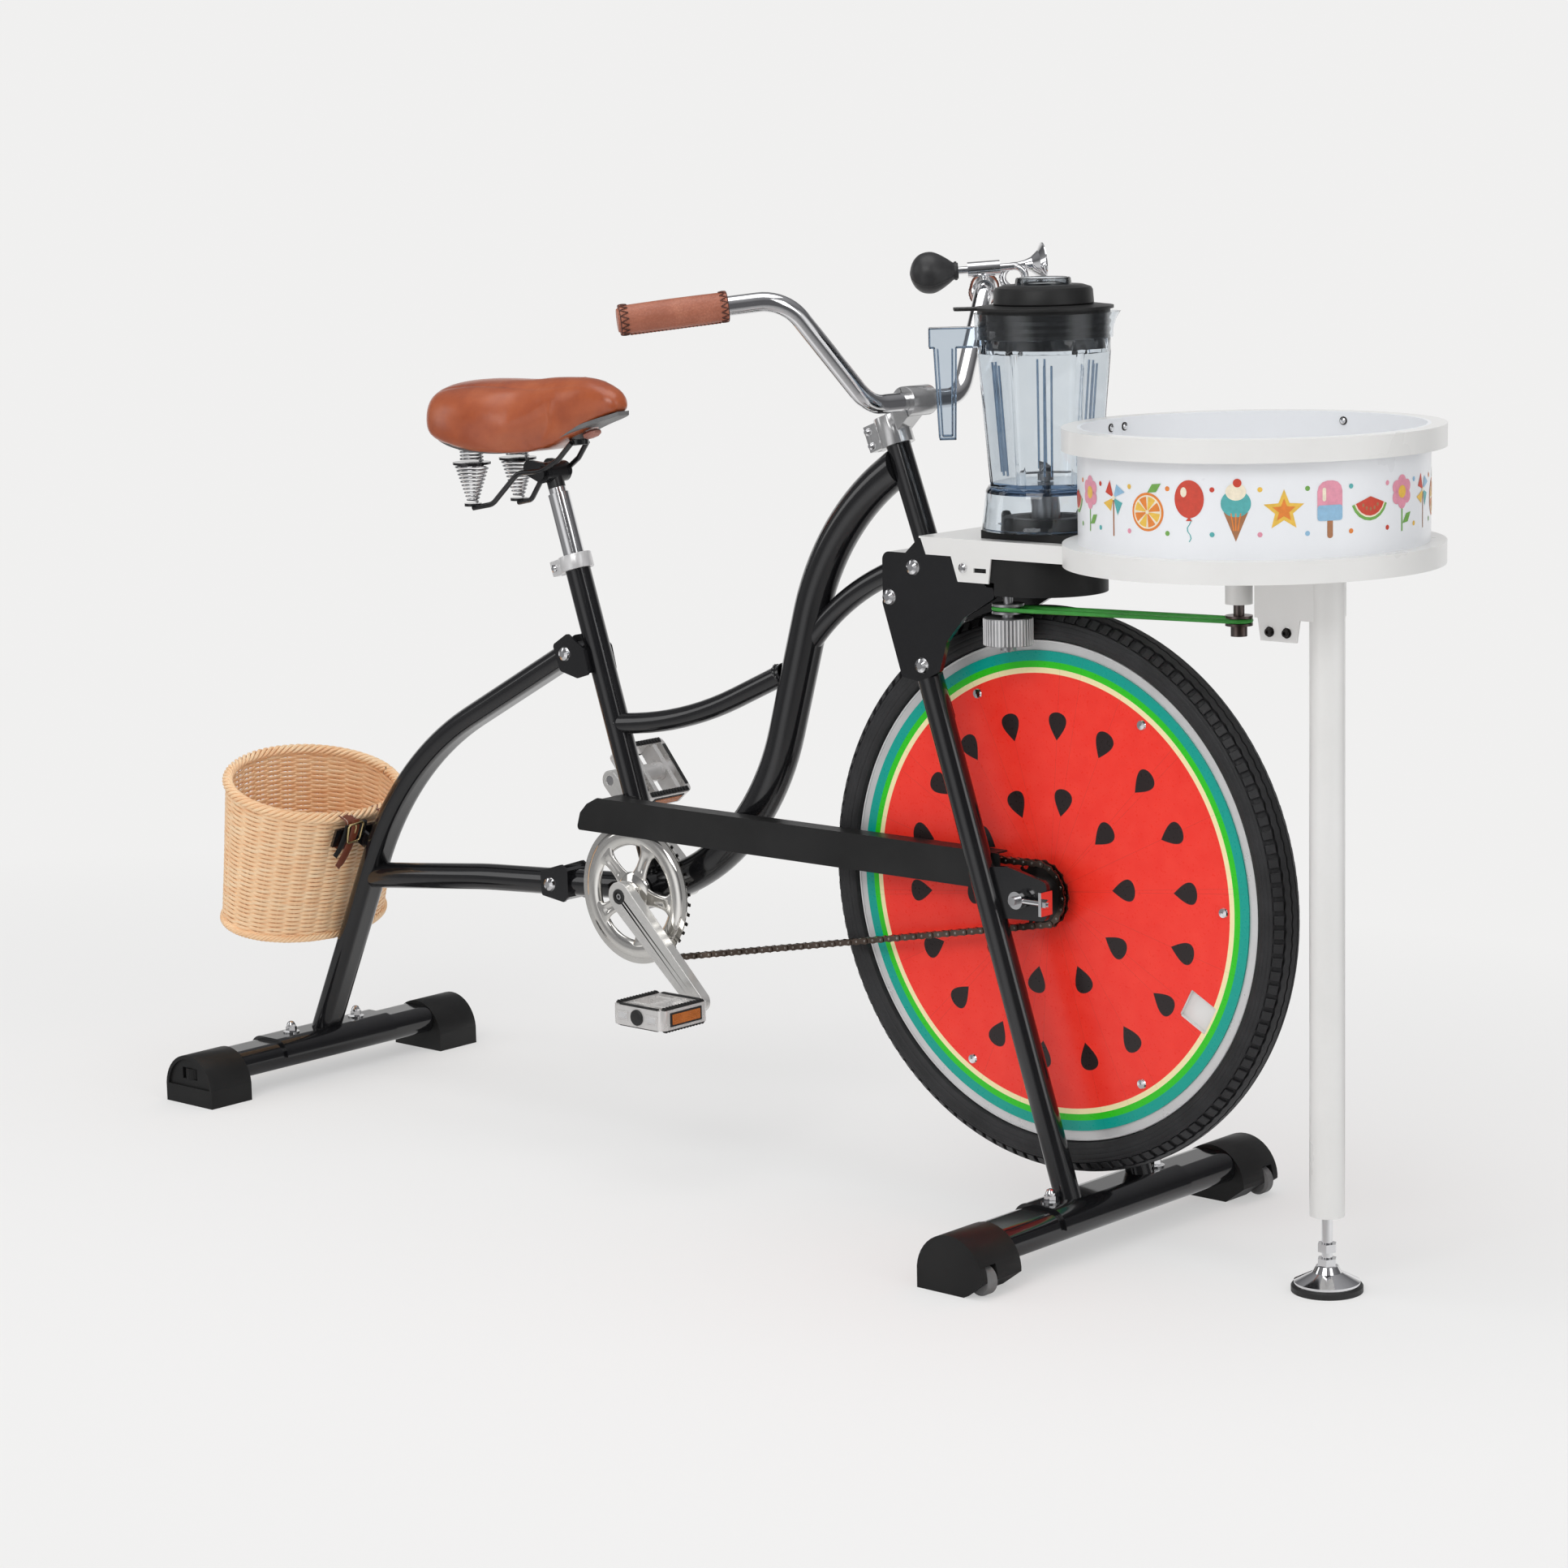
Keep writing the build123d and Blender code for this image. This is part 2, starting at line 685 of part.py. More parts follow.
# Lugs that carry the rear stay
upper_lug = [flat(-778, 225), flat(-752, 241), flat(-724, 224), flat(-716, 192), flat(-736, 186), flat(-766, 193)]
lower_lug = [flat(-819, -67), flat(-781, -55), flat(-770, -62), flat(-770, -96), flat(-778, -103), flat(-817, -98)]
with BuildPart() as stay_lugs:
    inner = stay_width / 2 + 0.15
    add_plate(upper_lug, inner + lug_plate, inner, 5)
    add_plate(upper_lug, -inner, -inner - lug_plate, 5)
    add_plate([flat(-751, 230), flat(-724, 222), flat(-716, 194), flat(-742, 189)], inner + 1, -inner - 1)
    add_oval_tube(stay_points, stay_bend, stay_width + 0.3, stay_depth + 0.6, Mode.SUBTRACT)
    add_rod(bracket, bracket + seat_way * seat_tube_top, seat_tube_radius + weld_gap, mode=Mode.SUBTRACT)
    rail_side = rail_radius + 0.15
    add_plate(lower_lug, rail_side + lug_plate, rail_side, 3)
    add_plate(lower_lug, -rail_side, -rail_side - lug_plate, 3)
    add_plate([flat(-778, -60), flat(-770, -62), flat(-770, -96), flat(-778, -101)], rail_side + 1, -rail_side - 1)
    for bolt in (upper_bolt, lower_bolt):
        add_rod(bolt - left * 40, bolt + left * 40, lug_bolt + fixed_gap, mode=Mode.SUBTRACT)
stay_lugs.part.label = "stay_lugs"

# Fork crown
with BuildPart() as fork_crown:
    add_plate(crown_box, crown_half, -crown_half, 10)
    inside = [(crown_box[0][0] + crown_wall, crown_box[0][1] + crown_wall),
              (crown_box[1][0] - crown_wall, crown_box[1][1] + crown_wall),
              (crown_box[2][0] - crown_wall, crown_box[2][1] - crown_wall),
              (crown_box[3][0] + crown_wall, crown_box[3][1] - crown_wall)]
    add_plate(inside, crown_half - crown_end, -crown_half + crown_end, 5, Mode.SUBTRACT)
    for spot in (place(-149, 0, crown_high - 15), place(-185, 0, crown_low + 13)):
        for side in (1, -1):
            add_rod(spot + left * (side * (crown_half + 1)), spot + left * (side * (crown_half - 11)),
                    plate_bolt + fixed_gap, mode=Mode.SUBTRACT)
fork_crown.part.label = "fork_crown"

# Main frame weldment
down_points = [steerer_foot + steerer_way * 101, place(-333, 0, 400), place(-452, 0, 1), bracket]
down_start = (down_points[1] - down_points[0]).normalized()
down_inside = [down_points[0] + down_start * 18] + down_points[1:]
mid_points = [place(-691, 0, 130), place(-570, 0, 143), place(-410, 0, 215)]
upper_points = [place(-375, 0, 248), place(-318, 0, 312), place(-180, 0, crown_high - 7)]
stub_points = [place(-772, 0, -80), bracket]
with BuildPart() as main_frame:
    add_tube(down_points, down_bend, down_radius)
    with BuildSketch(Plane(origin=steerer_foot - steerer_front * 8, z_dir=steerer_front)) as ahead_of_head:
        Rectangle(400, 400)
    extrude(amount=60, mode=Mode.SUBTRACT)
    add_tube(mid_points, 560, mid_radius)
    add_tube(upper_points, 330, upper_radius)
    add_tube(stub_points, 0, stub_radius)
    add_tube(mid_points, 560, mid_radius - brace_wall, Mode.SUBTRACT)
    add_tube(upper_points, 330, upper_radius - brace_wall, Mode.SUBTRACT)
    add_tube(stub_points, 0, stub_radius - rail_wall, Mode.SUBTRACT)
    add_tube(down_inside, down_bend, down_radius - down_wall, Mode.SUBTRACT)
    add_rod(steerer_foot - steerer_way * 10, steerer_foot + steerer_way * steerer_length, steerer_radius)
    add_rod(steerer_foot + steerer_way * 30, steerer_foot + steerer_way * (steerer_length + 1),
            steerer_radius - steerer_wall, mode=Mode.SUBTRACT)
    add_rod(bracket - left * shell_half, bracket + left * shell_half, shell_radius)
    add_rod(bracket - left * 40, bracket + left * 40, spindle_radius + running_gap, mode=Mode.SUBTRACT)
    add_rod(bracket, bracket + seat_way * 500, seat_tube_radius + weld_gap, mode=Mode.SUBTRACT)
    add_rod(bracket - left * shell_half, bracket + left * shell_half, shell_radius, spindle_radius + running_gap)
    crown_room = [(crown_box[0][0] - weld_gap, crown_box[0][1]), crown_box[1], crown_box[2],
                  (crown_box[3][0] - weld_gap, crown_box[3][1])]
    add_plate(crown_room, 80, -80, mode=Mode.SUBTRACT)
    lug_face = -770 + fixed_gap
    add_plate([flat(-800, -40), flat(lug_face, -40), flat(lug_face, -120), flat(-800, -120)], 60, -60,
              mode=Mode.SUBTRACT)
main_frame.part.label = "main_frame"

# Seat collar
collar_foot = bracket + seat_way * (collar_top - collar_height)
seat_rear = along_angle(180 + seat_lean)
collar_bolt = collar_foot + seat_way * (collar_height / 2) + seat_rear * (collar_radius + 6)
with BuildPart() as seat_collar:
    add_rod(collar_foot, collar_foot + seat_way * collar_height, collar_radius)
    ear = Plane(origin=collar_foot + seat_rear * (collar_radius + 3), x_dir=(0, 1, 0), z_dir=seat_way)
    with BuildSketch(ear) as ears:
        Rectangle(24, 20)
    extrude(amount=collar_height)
    with BuildSketch(ear) as slit:
        Rectangle(3, 30)
    extrude(amount=collar_height, mode=Mode.SUBTRACT)
    add_rod(collar_foot - seat_way, collar_foot + seat_way * (collar_height + 1), seat_tube_radius + weld_gap,
            mode=Mode.SUBTRACT)
    add_rod(collar_bolt - left * 20, collar_bolt + left * 20, 3 + fixed_gap, mode=Mode.SUBTRACT)
seat_collar.part.label = "seat_collar"

# Seatpost with the head that the saddle pivots on
pivot = bracket + seat_way * seat_pivot
with BuildPart() as seatpost:
    add_rod(bracket + seat_way * seatpost_low, bracket + seat_way * seatpost_high, seatpost_radius)
    add_rod(bracket + seat_way * (seatpost_high - 1), bracket + seat_way * seat_pivot, 11)
    add_rod(pivot - left * pivot_head_half, pivot + left * pivot_head_half, 13)
    add_rod(bracket + seat_way * (seatpost_low - 1), bracket + seat_way * (seatpost_high - 10), seatpost_radius - 2.5,
            mode=Mode.SUBTRACT)
    add_rod(pivot - left * 20, pivot + left * 20, pivot_radius + running_gap, mode=Mode.SUBTRACT)
seatpost.part.label = "seatpost"

# Saddle: rails with clamp, springs, pan and cushion
rail_front = -745.0
rail_high = 476.5
spring_low = axle_z + 399
spring_top = spring_low + spring_height
pan_low_at_spring = 465.0
stations = [(-953, 60, 495, 540), (-932, 82, 484, 548), (-895, 88, 474, 550), (-850, 80, 469, 549),
            (-808, 56, 471, 550), (-765, 37, 484, 555.5), (-716, 28, 503, 557), (-682, 20, 513, 546),
            (-667, 12, 518, 533)]
disc_low = spring_top + spring_wire + 0.2
disc_high = disc_low + 3
short_low = disc_high + spring_wire + 0.2
with BuildPart() as saddle_rails:
    for side in (1, -1):
        inner = pivot_head_half + 0.25
        plate_faces = sorted((side * inner, side * (inner + 6)), reverse=True)
        add_arm((pivot.X, pivot.Z), 13, (pivot.X - 22, pivot.Z + 5), 10, plate_faces[0], plate_faces[1])
        add_tube([place(rail_front, side * 14, rail_high), place(rail_front - 20, side * 18, rail_high - 21),
                  place(-790, side * 23, 441), place(-830, side * 25, 437), place(-868, side * 34, 397),
                  place(spring_forward, side * spring_side, 391.5)], [18, 40, 24, 18], 3.4)
        foot = Vector(axle_x + spring_forward, side * spring_side, spring_low)
        add_rod(foot - up * 5, foot - up * (spring_wire + 0.2), 11)
        add_rod(Vector(foot.X, foot.Y, disc_low), Vector(foot.X, foot.Y, disc_high), spring_wide + 5)
    add_rod(pivot - left * 24, pivot + left * 24, pivot_radius)
    add_rod(pivot + left * 20.2, pivot + left * 25, 9)
    add_rod(pivot - left * 25, pivot - left * 20.2, 9)
    add_tube([place(rail_front, 14, rail_high), place(rail_front, -14, rail_high)], 0, 3.4)
    add_rod(place(rail_front, 0, rail_high - 1.5), place(rail_front, 0, rail_high + 4.3), 12)
saddle_rails.part.label = "saddle_rails"

short_high = axle_z + pan_low_at_spring - spring_wire - 0.2
with BuildPart() as saddle_springs:
    for side in (1, -1):
        foot = Vector(axle_x + spring_forward, side * spring_side, spring_low)
        add_coil("saddle spring", foot, ahead, left, up, spring_narrow, spring_wide, spring_height, spring_turns,
                 spring_wire)
        foot = Vector(axle_x + spring_forward, side * spring_side, short_low)
        add_coil("short spring", foot, ahead, left, up, short_spring_radius, short_spring_radius,
                 short_high - short_low, short_spring_turns, spring_wire)
saddle_springs.part.label = "saddle_springs"


def saddle_face(station, half, low, high):
    """Cross-section of the cushion: full crown, sides drawn in towards the lower edge."""
    rise = high - low
    with BuildSketch(Plane(origin=place(station, 0, low), x_dir=(0, 1, 0), z_dir=(1, 0, 0))) as face:
        with BuildLine():
            Line((-half * 0.86, 0), (half * 0.86, 0))
            ThreePointArc((half * 0.86, 0), (half * 0.985, rise * 0.26), (half * 0.93, rise * 0.58))
            ThreePointArc((half * 0.93, rise * 0.58), (half * 0.62, rise * 0.9), (0, rise))
            ThreePointArc((0, rise), (-half * 0.62, rise * 0.9), (-half * 0.93, rise * 0.58))
            ThreePointArc((-half * 0.93, rise * 0.58), (-half * 0.985, rise * 0.26), (-half * 0.86, 0))
        make_face()
    return face.sketch


def pan_face(station, half, low):
    """Cross-section of the pan just under the cushion."""
    with BuildSketch(Plane(origin=place(station, 0, low - loose_gap - pan_thickness / 2), x_dir=(0, 1, 0),
                           z_dir=(1, 0, 0))) as face:
        Rectangle(half * 1.6, pan_thickness)
    return face.sketch


with BuildPart() as saddle_cushion:
    loft([saddle_face(*station) for station in stations])
saddle_cushion.part.label = "saddle_cushion"

with BuildPart() as saddle_pan:
    loft([pan_face(station, half, low) for station, half, low, high in stations])
    for side in (1, -1):
        foot = Vector(axle_x + spring_forward, side * spring_side, axle_z + pan_low_at_spring)
        add_rod(foot, foot + up * 5.6, spring_seat)
    add_rod(place(rail_front, 0, rail_high + 4.5), place(rail_front, 0, rail_high + 12.5), 10)
saddle_pan.part.label = "saddle_pan"

# Stem
stem_low = 122.0
stem_high = 157.0
pinch_spots = [steerer_foot + steerer_way * h - steerer_front * 29 for h in (131, 148)]
with BuildPart() as stem:
    add_rod(steerer_foot + steerer_way * stem_low, steerer_foot + steerer_way * stem_high, 20)
    add_arm((steerer_foot.X + (steerer_way * 143).X, steerer_foot.Z + (steerer_way * 143).Z), 13,
            (bar_centre.X, bar_centre.Z), 12, 13, -13)
    add_rod(bar_centre - left * barrel_half, bar_centre + left * barrel_half, barrel_radius)
    back = Plane(origin=steerer_foot + steerer_way * (stem_low + 2) - steerer_front * 24, x_dir=(0, 1, 0),
                 z_dir=steerer_way)
    with BuildSketch(back) as ears:
        Rectangle(24, 20)
    extrude(amount=stem_high - stem_low - 4)
    with BuildSketch(back) as slit:
        Rectangle(2.4, 30)
    extrude(amount=60, both=True, mode=Mode.SUBTRACT)
    add_rod(steerer_foot, steerer_foot + steerer_way * (steerer_length + 0.5), steerer_radius + weld_gap,
            mode=Mode.SUBTRACT)
    add_rod(bar_centre - left * 40, bar_centre + left * 40, bar_radius + running_gap, mode=Mode.SUBTRACT)
    with BuildSketch(Plane(origin=bar_centre + steerer_front * 0.2, x_dir=(0, 1, 0), z_dir=steerer_front)) as split:
        Rectangle(60, 60)
    extrude(amount=1.4, mode=Mode.SUBTRACT)
    for spot in pinch_spots:
        add_rod(spot - left * 20, spot + left * 20, 2.5 + fixed_gap, mode=Mode.SUBTRACT)
stem.part.label = "stem"

# Handlebar, grips and horn
bend_up = [Vector(bar_centre.X, side * 80, bar_centre.Z) for side in (1, -1)]
shoulder = [Vector(bar_centre.X - 38, side * 176, bar_centre.Z + 123.5) for side in (1, -1)]
bar_end = [Vector(bar_centre.X - 157, side * 315.5, bar_centre.Z + 105.2) for side in (1, -1)]
bar_points = [bar_end[0], shoulder[0], bend_up[0], bend_up[1], shoulder[1], bar_end[1]]
grip_way = [(bar_end[i] - shoulder[i]).normalized() for i in (0, 1)]
grip_start = [bar_end[i] - grip_way[i] * 120 for i in (0, 1)]
with BuildPart() as handlebar:
    add_tube(bar_points, [55, 45, 45, 55], bar_radius)
    add_tube(bar_points, [55, 45, 45, 55], bar_radius - bar_wall, Mode.SUBTRACT)
handlebar.part.label = "handlebar"

with BuildPart() as grips:
    for i in (0, 1):
        bore = bar_radius + fixed_gap
        add_turned(grip_start[i], grip_way[i], [(bore, 0), (grip_radius - 1.5, 0), (grip_radius, 2),
                                                (grip_radius, 118), (grip_radius - 1, 121), (bore, 121)])
        add_rod(bar_end[i] + grip_way[i] * 0.3, bar_end[i] + grip_way[i] * 4, grip_radius - 2)
        add_rod(bar_end[i] + grip_way[i] * 0.3, bar_end[i] + grip_way[i] * 1, grip_radius - 1)
grips.part.label = "grips"

with BuildLine() as bar_way:
    FilletPolyline(*bar_points, radius=[55, 45, 45, 55])
horn_clamp = bar_way.line @ horn_share
bar_slope = bar_way.line % horn_share
horn_mid = horn_clamp + up * 24
horn_side = Vector(math.cos(math.radians(horn_turn)), math.sin(math.radians(horn_turn)), 0)
horn_ahead = horn_side * math.cos(math.radians(horn_tilt)) + up * math.sin(math.radians(horn_tilt))
horn_up = up * math.cos(math.radians(horn_tilt)) - horn_side * math.sin(math.radians(horn_tilt))
loop_turn = horn_up.cross(horn_ahead)
loop_top = horn_mid + horn_ahead * 34 - loop_turn * 6
loop_route = coil_route(loop_top - horn_up * horn_loop, horn_up, horn_ahead, loop_turn, horn_loop, horn_loop, 12, 1, 4)
horn_tail = loop_top - horn_ahead * 76
horn_mouth = loop_route[-1][0] + loop_route[-1][1] * 6
with BuildPart() as horn:
    with BuildLine() as horn_way:
        Line(horn_tail, loop_route[0][0])
        coil_line(loop_route)
        Line(loop_route[-1][0], horn_mouth)
    with BuildSketch(Plane(origin=horn_tail, z_dir=loop_route[0][1])) as face:
        Circle(horn_tube)
    sweep(face.sketch, path=horn_way.line)
    add_turned(horn_mouth, loop_route[-1][1], [(0, 0), (horn_tube, 0), (6, 8), (9, 16), (16, 24), (bell_radius, 29),
                                             (bell_radius, 30.5), (15, 26.5), (7.5, 17), (4, 9), (0, 7)])
    add_rod(horn_clamp - bar_slope * 6, horn_clamp + bar_slope * 6, bar_radius + 3.5)
    add_rod(horn_clamp, horn_mid - loop_turn * 6, 5)
    add_rod(horn_mid - loop_turn * 6 - horn_ahead * 20, horn_mid - loop_turn * 6 + horn_ahead * 18, 9)
    add_tube(bar_points, [55, 45, 45, 55], bar_radius + weld_gap, Mode.SUBTRACT)
horn.part.label = "horn"

with BuildPart() as horn_bulb:
    bulb_back = horn_tail + horn_ahead * 11
    add_turned(bulb_back, horn_ahead * -1, [(horn_tube + fixed_gap, 0), (9.5, 0), (10, 5), (16, 13), (22, 23),
                                            (bulb_radius, 32), (22.5, 43), (16, 51), (7, 55.5), (0, 56.5),
                                            (0, 12), (horn_tube + fixed_gap, 12)])
horn_bulb.part.label = "horn_bulb"

# Bracket plates
plate_spots = [place(-149, 0, crown_high - 15), place(-185, 0, crown_low + 13), place(-138, 0, 253)]
with BuildPart() as bracket_plates:
    for left_face, right_face in ((plate_outer, plate_inner), (-plate_inner, -plate_outer)):
        add_plate(plate_outline, left_face, right_face, plate_corner)
    for spot in plate_spots:
        add_rod(spot - left * 90, spot + left * 90, plate_bolt + fixed_gap, mode=Mode.SUBTRACT)
bracket_plates.part.label = "bracket_plates"

# Fork legs with tongues, dropouts and the saddle plate of the front foot
tongue = plate_inner - crown_gap
with BuildPart() as fork_legs:
    add_foot_saddle(front_foot_x, front_plate_half)
    for i, side in enumerate((1, -1)):
        add_rod(leg_low[i], leg_top[i], leg_radius)
        faces = sorted((side * tongue, side * (tongue - 9)), reverse=True)
        add_arm((leg_top[i].X + 14, leg_top[i].Z - 44), 11, (plate_spots[2].X, plate_spots[2].Z), 14, faces[0], faces[1])
        faces = sorted((side * dropout_outer, side * (dropout_outer - dropout_thickness)), reverse=True)
        add_plate([flat(-66, 30), flat(-20, 34), flat(35, 22), flat(35, -22), flat(-20, -25), flat(-44, -28)],
                  faces[0], faces[1], 8)
        way = (leg_top[i] - leg_low[i]).normalized()
        add_rod(leg_low[i] + way * 20, leg_top[i] - way * 70, leg_radius - leg_wall, mode=Mode.SUBTRACT)
    for left_face, right_face in ((plate_outer + 0.02, plate_inner - 0.02), (-plate_inner + 0.02, -plate_outer - 0.02)):
        add_plate(plate_outline, left_face, right_face, plate_corner, Mode.SUBTRACT)
    add_foot_oval(front_foot_x, front_plate_half + 1, cap_gap, -front_plate_half - 1, Mode.SUBTRACT)
    for side in (1, -1):
        top = Vector(front_foot_x, side * front_nut, foot_top + 9)
        add_rod(top, top - up * 14, stud_radius + fixed_gap, mode=Mode.SUBTRACT)
    add_rod(plate_spots[2] - left * 90, plate_spots[2] + left * 90, plate_bolt + fixed_gap, mode=Mode.SUBTRACT)
    add_rod(axle - left * 90, axle + left * 90, axle_radius + fixed_gap, mode=Mode.SUBTRACT)
fork_legs.part.label = "fork_legs"

# Wheel
with BuildPart() as wheel_axle:
    add_rod(axle - left * axle_half, axle + left * axle_half, axle_radius)
wheel_axle.part.label = "wheel_axle"


def ring_outline(inner, outer, half):
    return [(inner, -half), (outer, -half), (outer, half), (inner, half)]


tyre_middle = tyre_radius - tyre_depth / 2


def tyre_outline(depth, half, low):
    spots = []
    for step in range(29):
        turn = math.radians(-128 + step * 256 / 28)
        spots.append((tyre_middle + depth * math.cos(turn), half * math.sin(turn)))
    spots = [spot for spot in spots if spot[0] > low]
    return [(low, spots[0][1])] + spots + [(low, spots[-1][1])]


with BuildPart() as rim:
    add_turned(axle, left, ring_outline(rim_inner, rim_outer, rim_half_width))
    add_turned(axle, left, ring_outline(rim_inner + rim_wall, rim_outer - 8, rim_half_width - rim_wall), Mode.SUBTRACT)
    add_turned(axle, left, ring_outline(rim_outer - 6, rim_outer + 1, rim_half_width - rim_wall), Mode.SUBTRACT)
rim.part.label = "rim"

with BuildPart() as tyre:
    add_turned(axle, left, tyre_outline(tyre_depth / 2, tyre_half_width, rim_outer - 3))
    add_turned(axle, left, tyre_outline(tyre_depth / 2 - tyre_wall, tyre_half_width - tyre_wall, rim_outer - 4), Mode.SUBTRACT)
    add_turned(axle, left, [(rim_outer - 5, -rim_half_width - 1), (rim_outer + fixed_gap, -rim_half_width - 1),
                            (rim_outer + fixed_gap, -rim_half_width + rim_wall + fixed_gap),
                            (rim_outer - 5, -rim_half_width + rim_wall + fixed_gap)], Mode.SUBTRACT)
    add_turned(axle, left, [(rim_outer - 5, rim_half_width + 1), (rim_outer + fixed_gap, rim_half_width + 1),
                            (rim_outer + fixed_gap, rim_half_width - rim_wall - fixed_gap),
                            (rim_outer - 5, rim_half_width - rim_wall - fixed_gap)], Mode.SUBTRACT)
    add_turned(axle, left, ring_outline(rim_outer - 5, rim_outer + fixed_gap, rim_half_width + 30), Mode.SUBTRACT)
tyre.part.label = "tyre"

with BuildPart() as hub_spokes:
    add_turned(axle, left, [(axle_radius + running_gap, -hub_half), (hub_radius, -hub_half), (hub_radius, -11),
                            (hub_flange, -11), (hub_flange, -8), (hub_radius - 3, -8), (hub_radius - 3, 8),
                            (hub_flange, 8), (hub_flange, 11), (hub_radius, 11), (hub_radius, hub_half),
                            (axle_radius + running_gap, hub_half)])
    for number in range(spoke_count):
        turn = 7.5 + number * 360 / spoke_count
        way = along_angle(turn)
        lean = 9.5 if number % 2 else -9.5
        add_rod(axle + way * (hub_flange - 3) + left * lean, axle + way * (rim_inner - fixed_gap), spoke_radius)
    add_turned(axle, left, ring_outline(rim_inner - fixed_gap, rim_inner + 6, 5), Mode.SUBTRACT)
hub_spokes.part.label = "hub_spokes"

with BuildPart() as wheel_discs:
    for left_face in (rim_half_width + disc_thickness, -rim_half_width):
        with BuildSketch(Plane(origin=axle + left * left_face, x_dir=(1, 0, 0), z_dir=(0, -1, 0))) as face:
            Circle(disc_radius)
            Circle(disc_hole, mode=Mode.SUBTRACT)
            for turn in disc_screw_angles:
                with Locations((disc_screw_circle * math.cos(math.radians(turn)),
                                disc_screw_circle * math.sin(math.radians(turn)))):
                    Circle(disc_screw_radius + fixed_gap, mode=Mode.SUBTRACT)
            with Locations(Rotation(0, 0, valve_angle)):
                with Locations((valve_circle, 0)):
                    RectangleRounded(valve_window, valve_window_width, 2, mode=Mode.SUBTRACT)
        extrude(amount=disc_thickness)
wheel_discs.part.label = "wheel_discs"

with BuildPart() as disc_screws:
    for turn in disc_screw_angles:
        spot = axle + along_angle(turn) * disc_screw_circle
        face = rim_half_width + disc_thickness
        add_rod(spot - left * face, spot + left * face, disc_screw_radius)
        inner_face = rim_half_width - fixed_gap
        add_rod(spot - left * inner_face, spot + left * inner_face, disc_screw_radius + 1.5)
        for side in (1, -1):
            add_turned(spot + left * (side * (face + fixed_gap)), left * side, [(0, -1), (disc_screw_radius, -1),
                       (disc_screw_radius, 0), (6, 0), (5, 1.8), (0, 2.4)])
disc_screws.part.label = "disc_screws"


def add_toothed(centre, teeth, pitch_radius, inner, middle, phase):
    """Toothed ring with a rounded gap for every chain roller."""
    with BuildSketch(Plane(origin=centre + left * (middle + tooth_thickness / 2), x_dir=(1, 0, 0),
                           z_dir=(0, -1, 0))) as face:
        Circle(pitch_radius + tooth_tip)
        Circle(inner, mode=Mode.SUBTRACT)
        for number in range(teeth):
            turn = math.radians(phase + number * 360 / teeth)
            with Locations((pitch_radius * math.cos(turn), pitch_radius * math.sin(turn))):
                Circle(chain_roller + tooth_gap, mode=Mode.SUBTRACT)
    extrude(face.sketch, amount=tooth_thickness)


with BuildPart() as sprocket:
    add_toothed(axle, sprocket_teeth, sprocket_pitch, hub_radius + fixed_gap, chain_y, 0)
sprocket.part.label = "sprocket"

# Cranks and chainring
crank_way = along_angle(crank_angle)
crank_end = [bracket - crank_way * crank_length, bracket + crank_way * crank_length]
crank_inner = [left_crank_inner, right_crank_inner]
crank_outer = [inner + crank_thickness for inner in crank_inner]
pedal_inner = [outer + pedal_clear for outer in crank_outer]
with BuildPart() as crank_axles:
    add_rod(bracket - left * (crank_outer[1] - 2), bracket + left * (crank_outer[0] - 2), spindle_radius)
    for i, side in enumerate((1, -1)):
        add_rod(crank_end[i] + left * (side * (crank_inner[i] + 1)),
                crank_end[i] + left * (side * (pedal_inner[i] + pedal_width + 2)), pedal_axle_radius)
crank_axles.part.label = "crank_axles"

with BuildPart() as cranks:
    for i, side in enumerate((1, -1)):
        faces = sorted((side * crank_inner[i], side * crank_outer[i]), reverse=True)
        add_arm((bracket.X, bracket.Z), 18, (crank_end[i].X, crank_end[i].Z), 13, faces[0], faces[1])
        add_rod(crank_end[i], crank_end[i] + left * (side * 90), pedal_axle_radius + fixed_gap, mode=Mode.SUBTRACT)
    add_rod(bracket - left * 90, bracket + left * 90, spindle_radius + fixed_gap, mode=Mode.SUBTRACT)
cranks.part.label = "cranks"

with BuildPart() as chainring:
    add_toothed(bracket, ring_teeth, ring_pitch, 66, chain_y, 0)
chainring.part.label = "chainring"

guard_in = chain_y - tooth_thickness / 2 - guard_spacer
guard_out = guard_in - 4
with BuildPart() as chainring_guard:
    with BuildSketch(Plane(origin=bracket + left * guard_in, x_dir=(1, 0, 0), z_dir=(0, -1, 0))) as face:
        Circle(guard_ring_radius)
        Circle(guard_ring_radius - 12, mode=Mode.SUBTRACT)
        for number in range(5):
            turn = crank_angle + 36 + number * 72
            for offset in (-9, 9):
                with Locations(Rotation(0, 0, turn)):
                    with Locations((49, offset)):
                        Rectangle(60, 6)
        Circle(26)
        Circle(spindle_radius + fixed_gap, mode=Mode.SUBTRACT)
    extrude(amount=guard_in - guard_out)
    for number in range(5):
        spot = bracket + along_angle(crank_angle + 36 + number * 72) * 74
        add_rod(spot + left * guard_out, spot + left * guard_in, 7)
        add_rod(spot + left * (guard_in - 0.5), spot + left * (guard_in + guard_spacer), 5)
    add_rod(bracket - left * (right_crank_inner - fixed_gap), bracket + left * guard_out, 15,
            spindle_radius + fixed_gap)
chainring_guard.part.label = "chainring_guard"


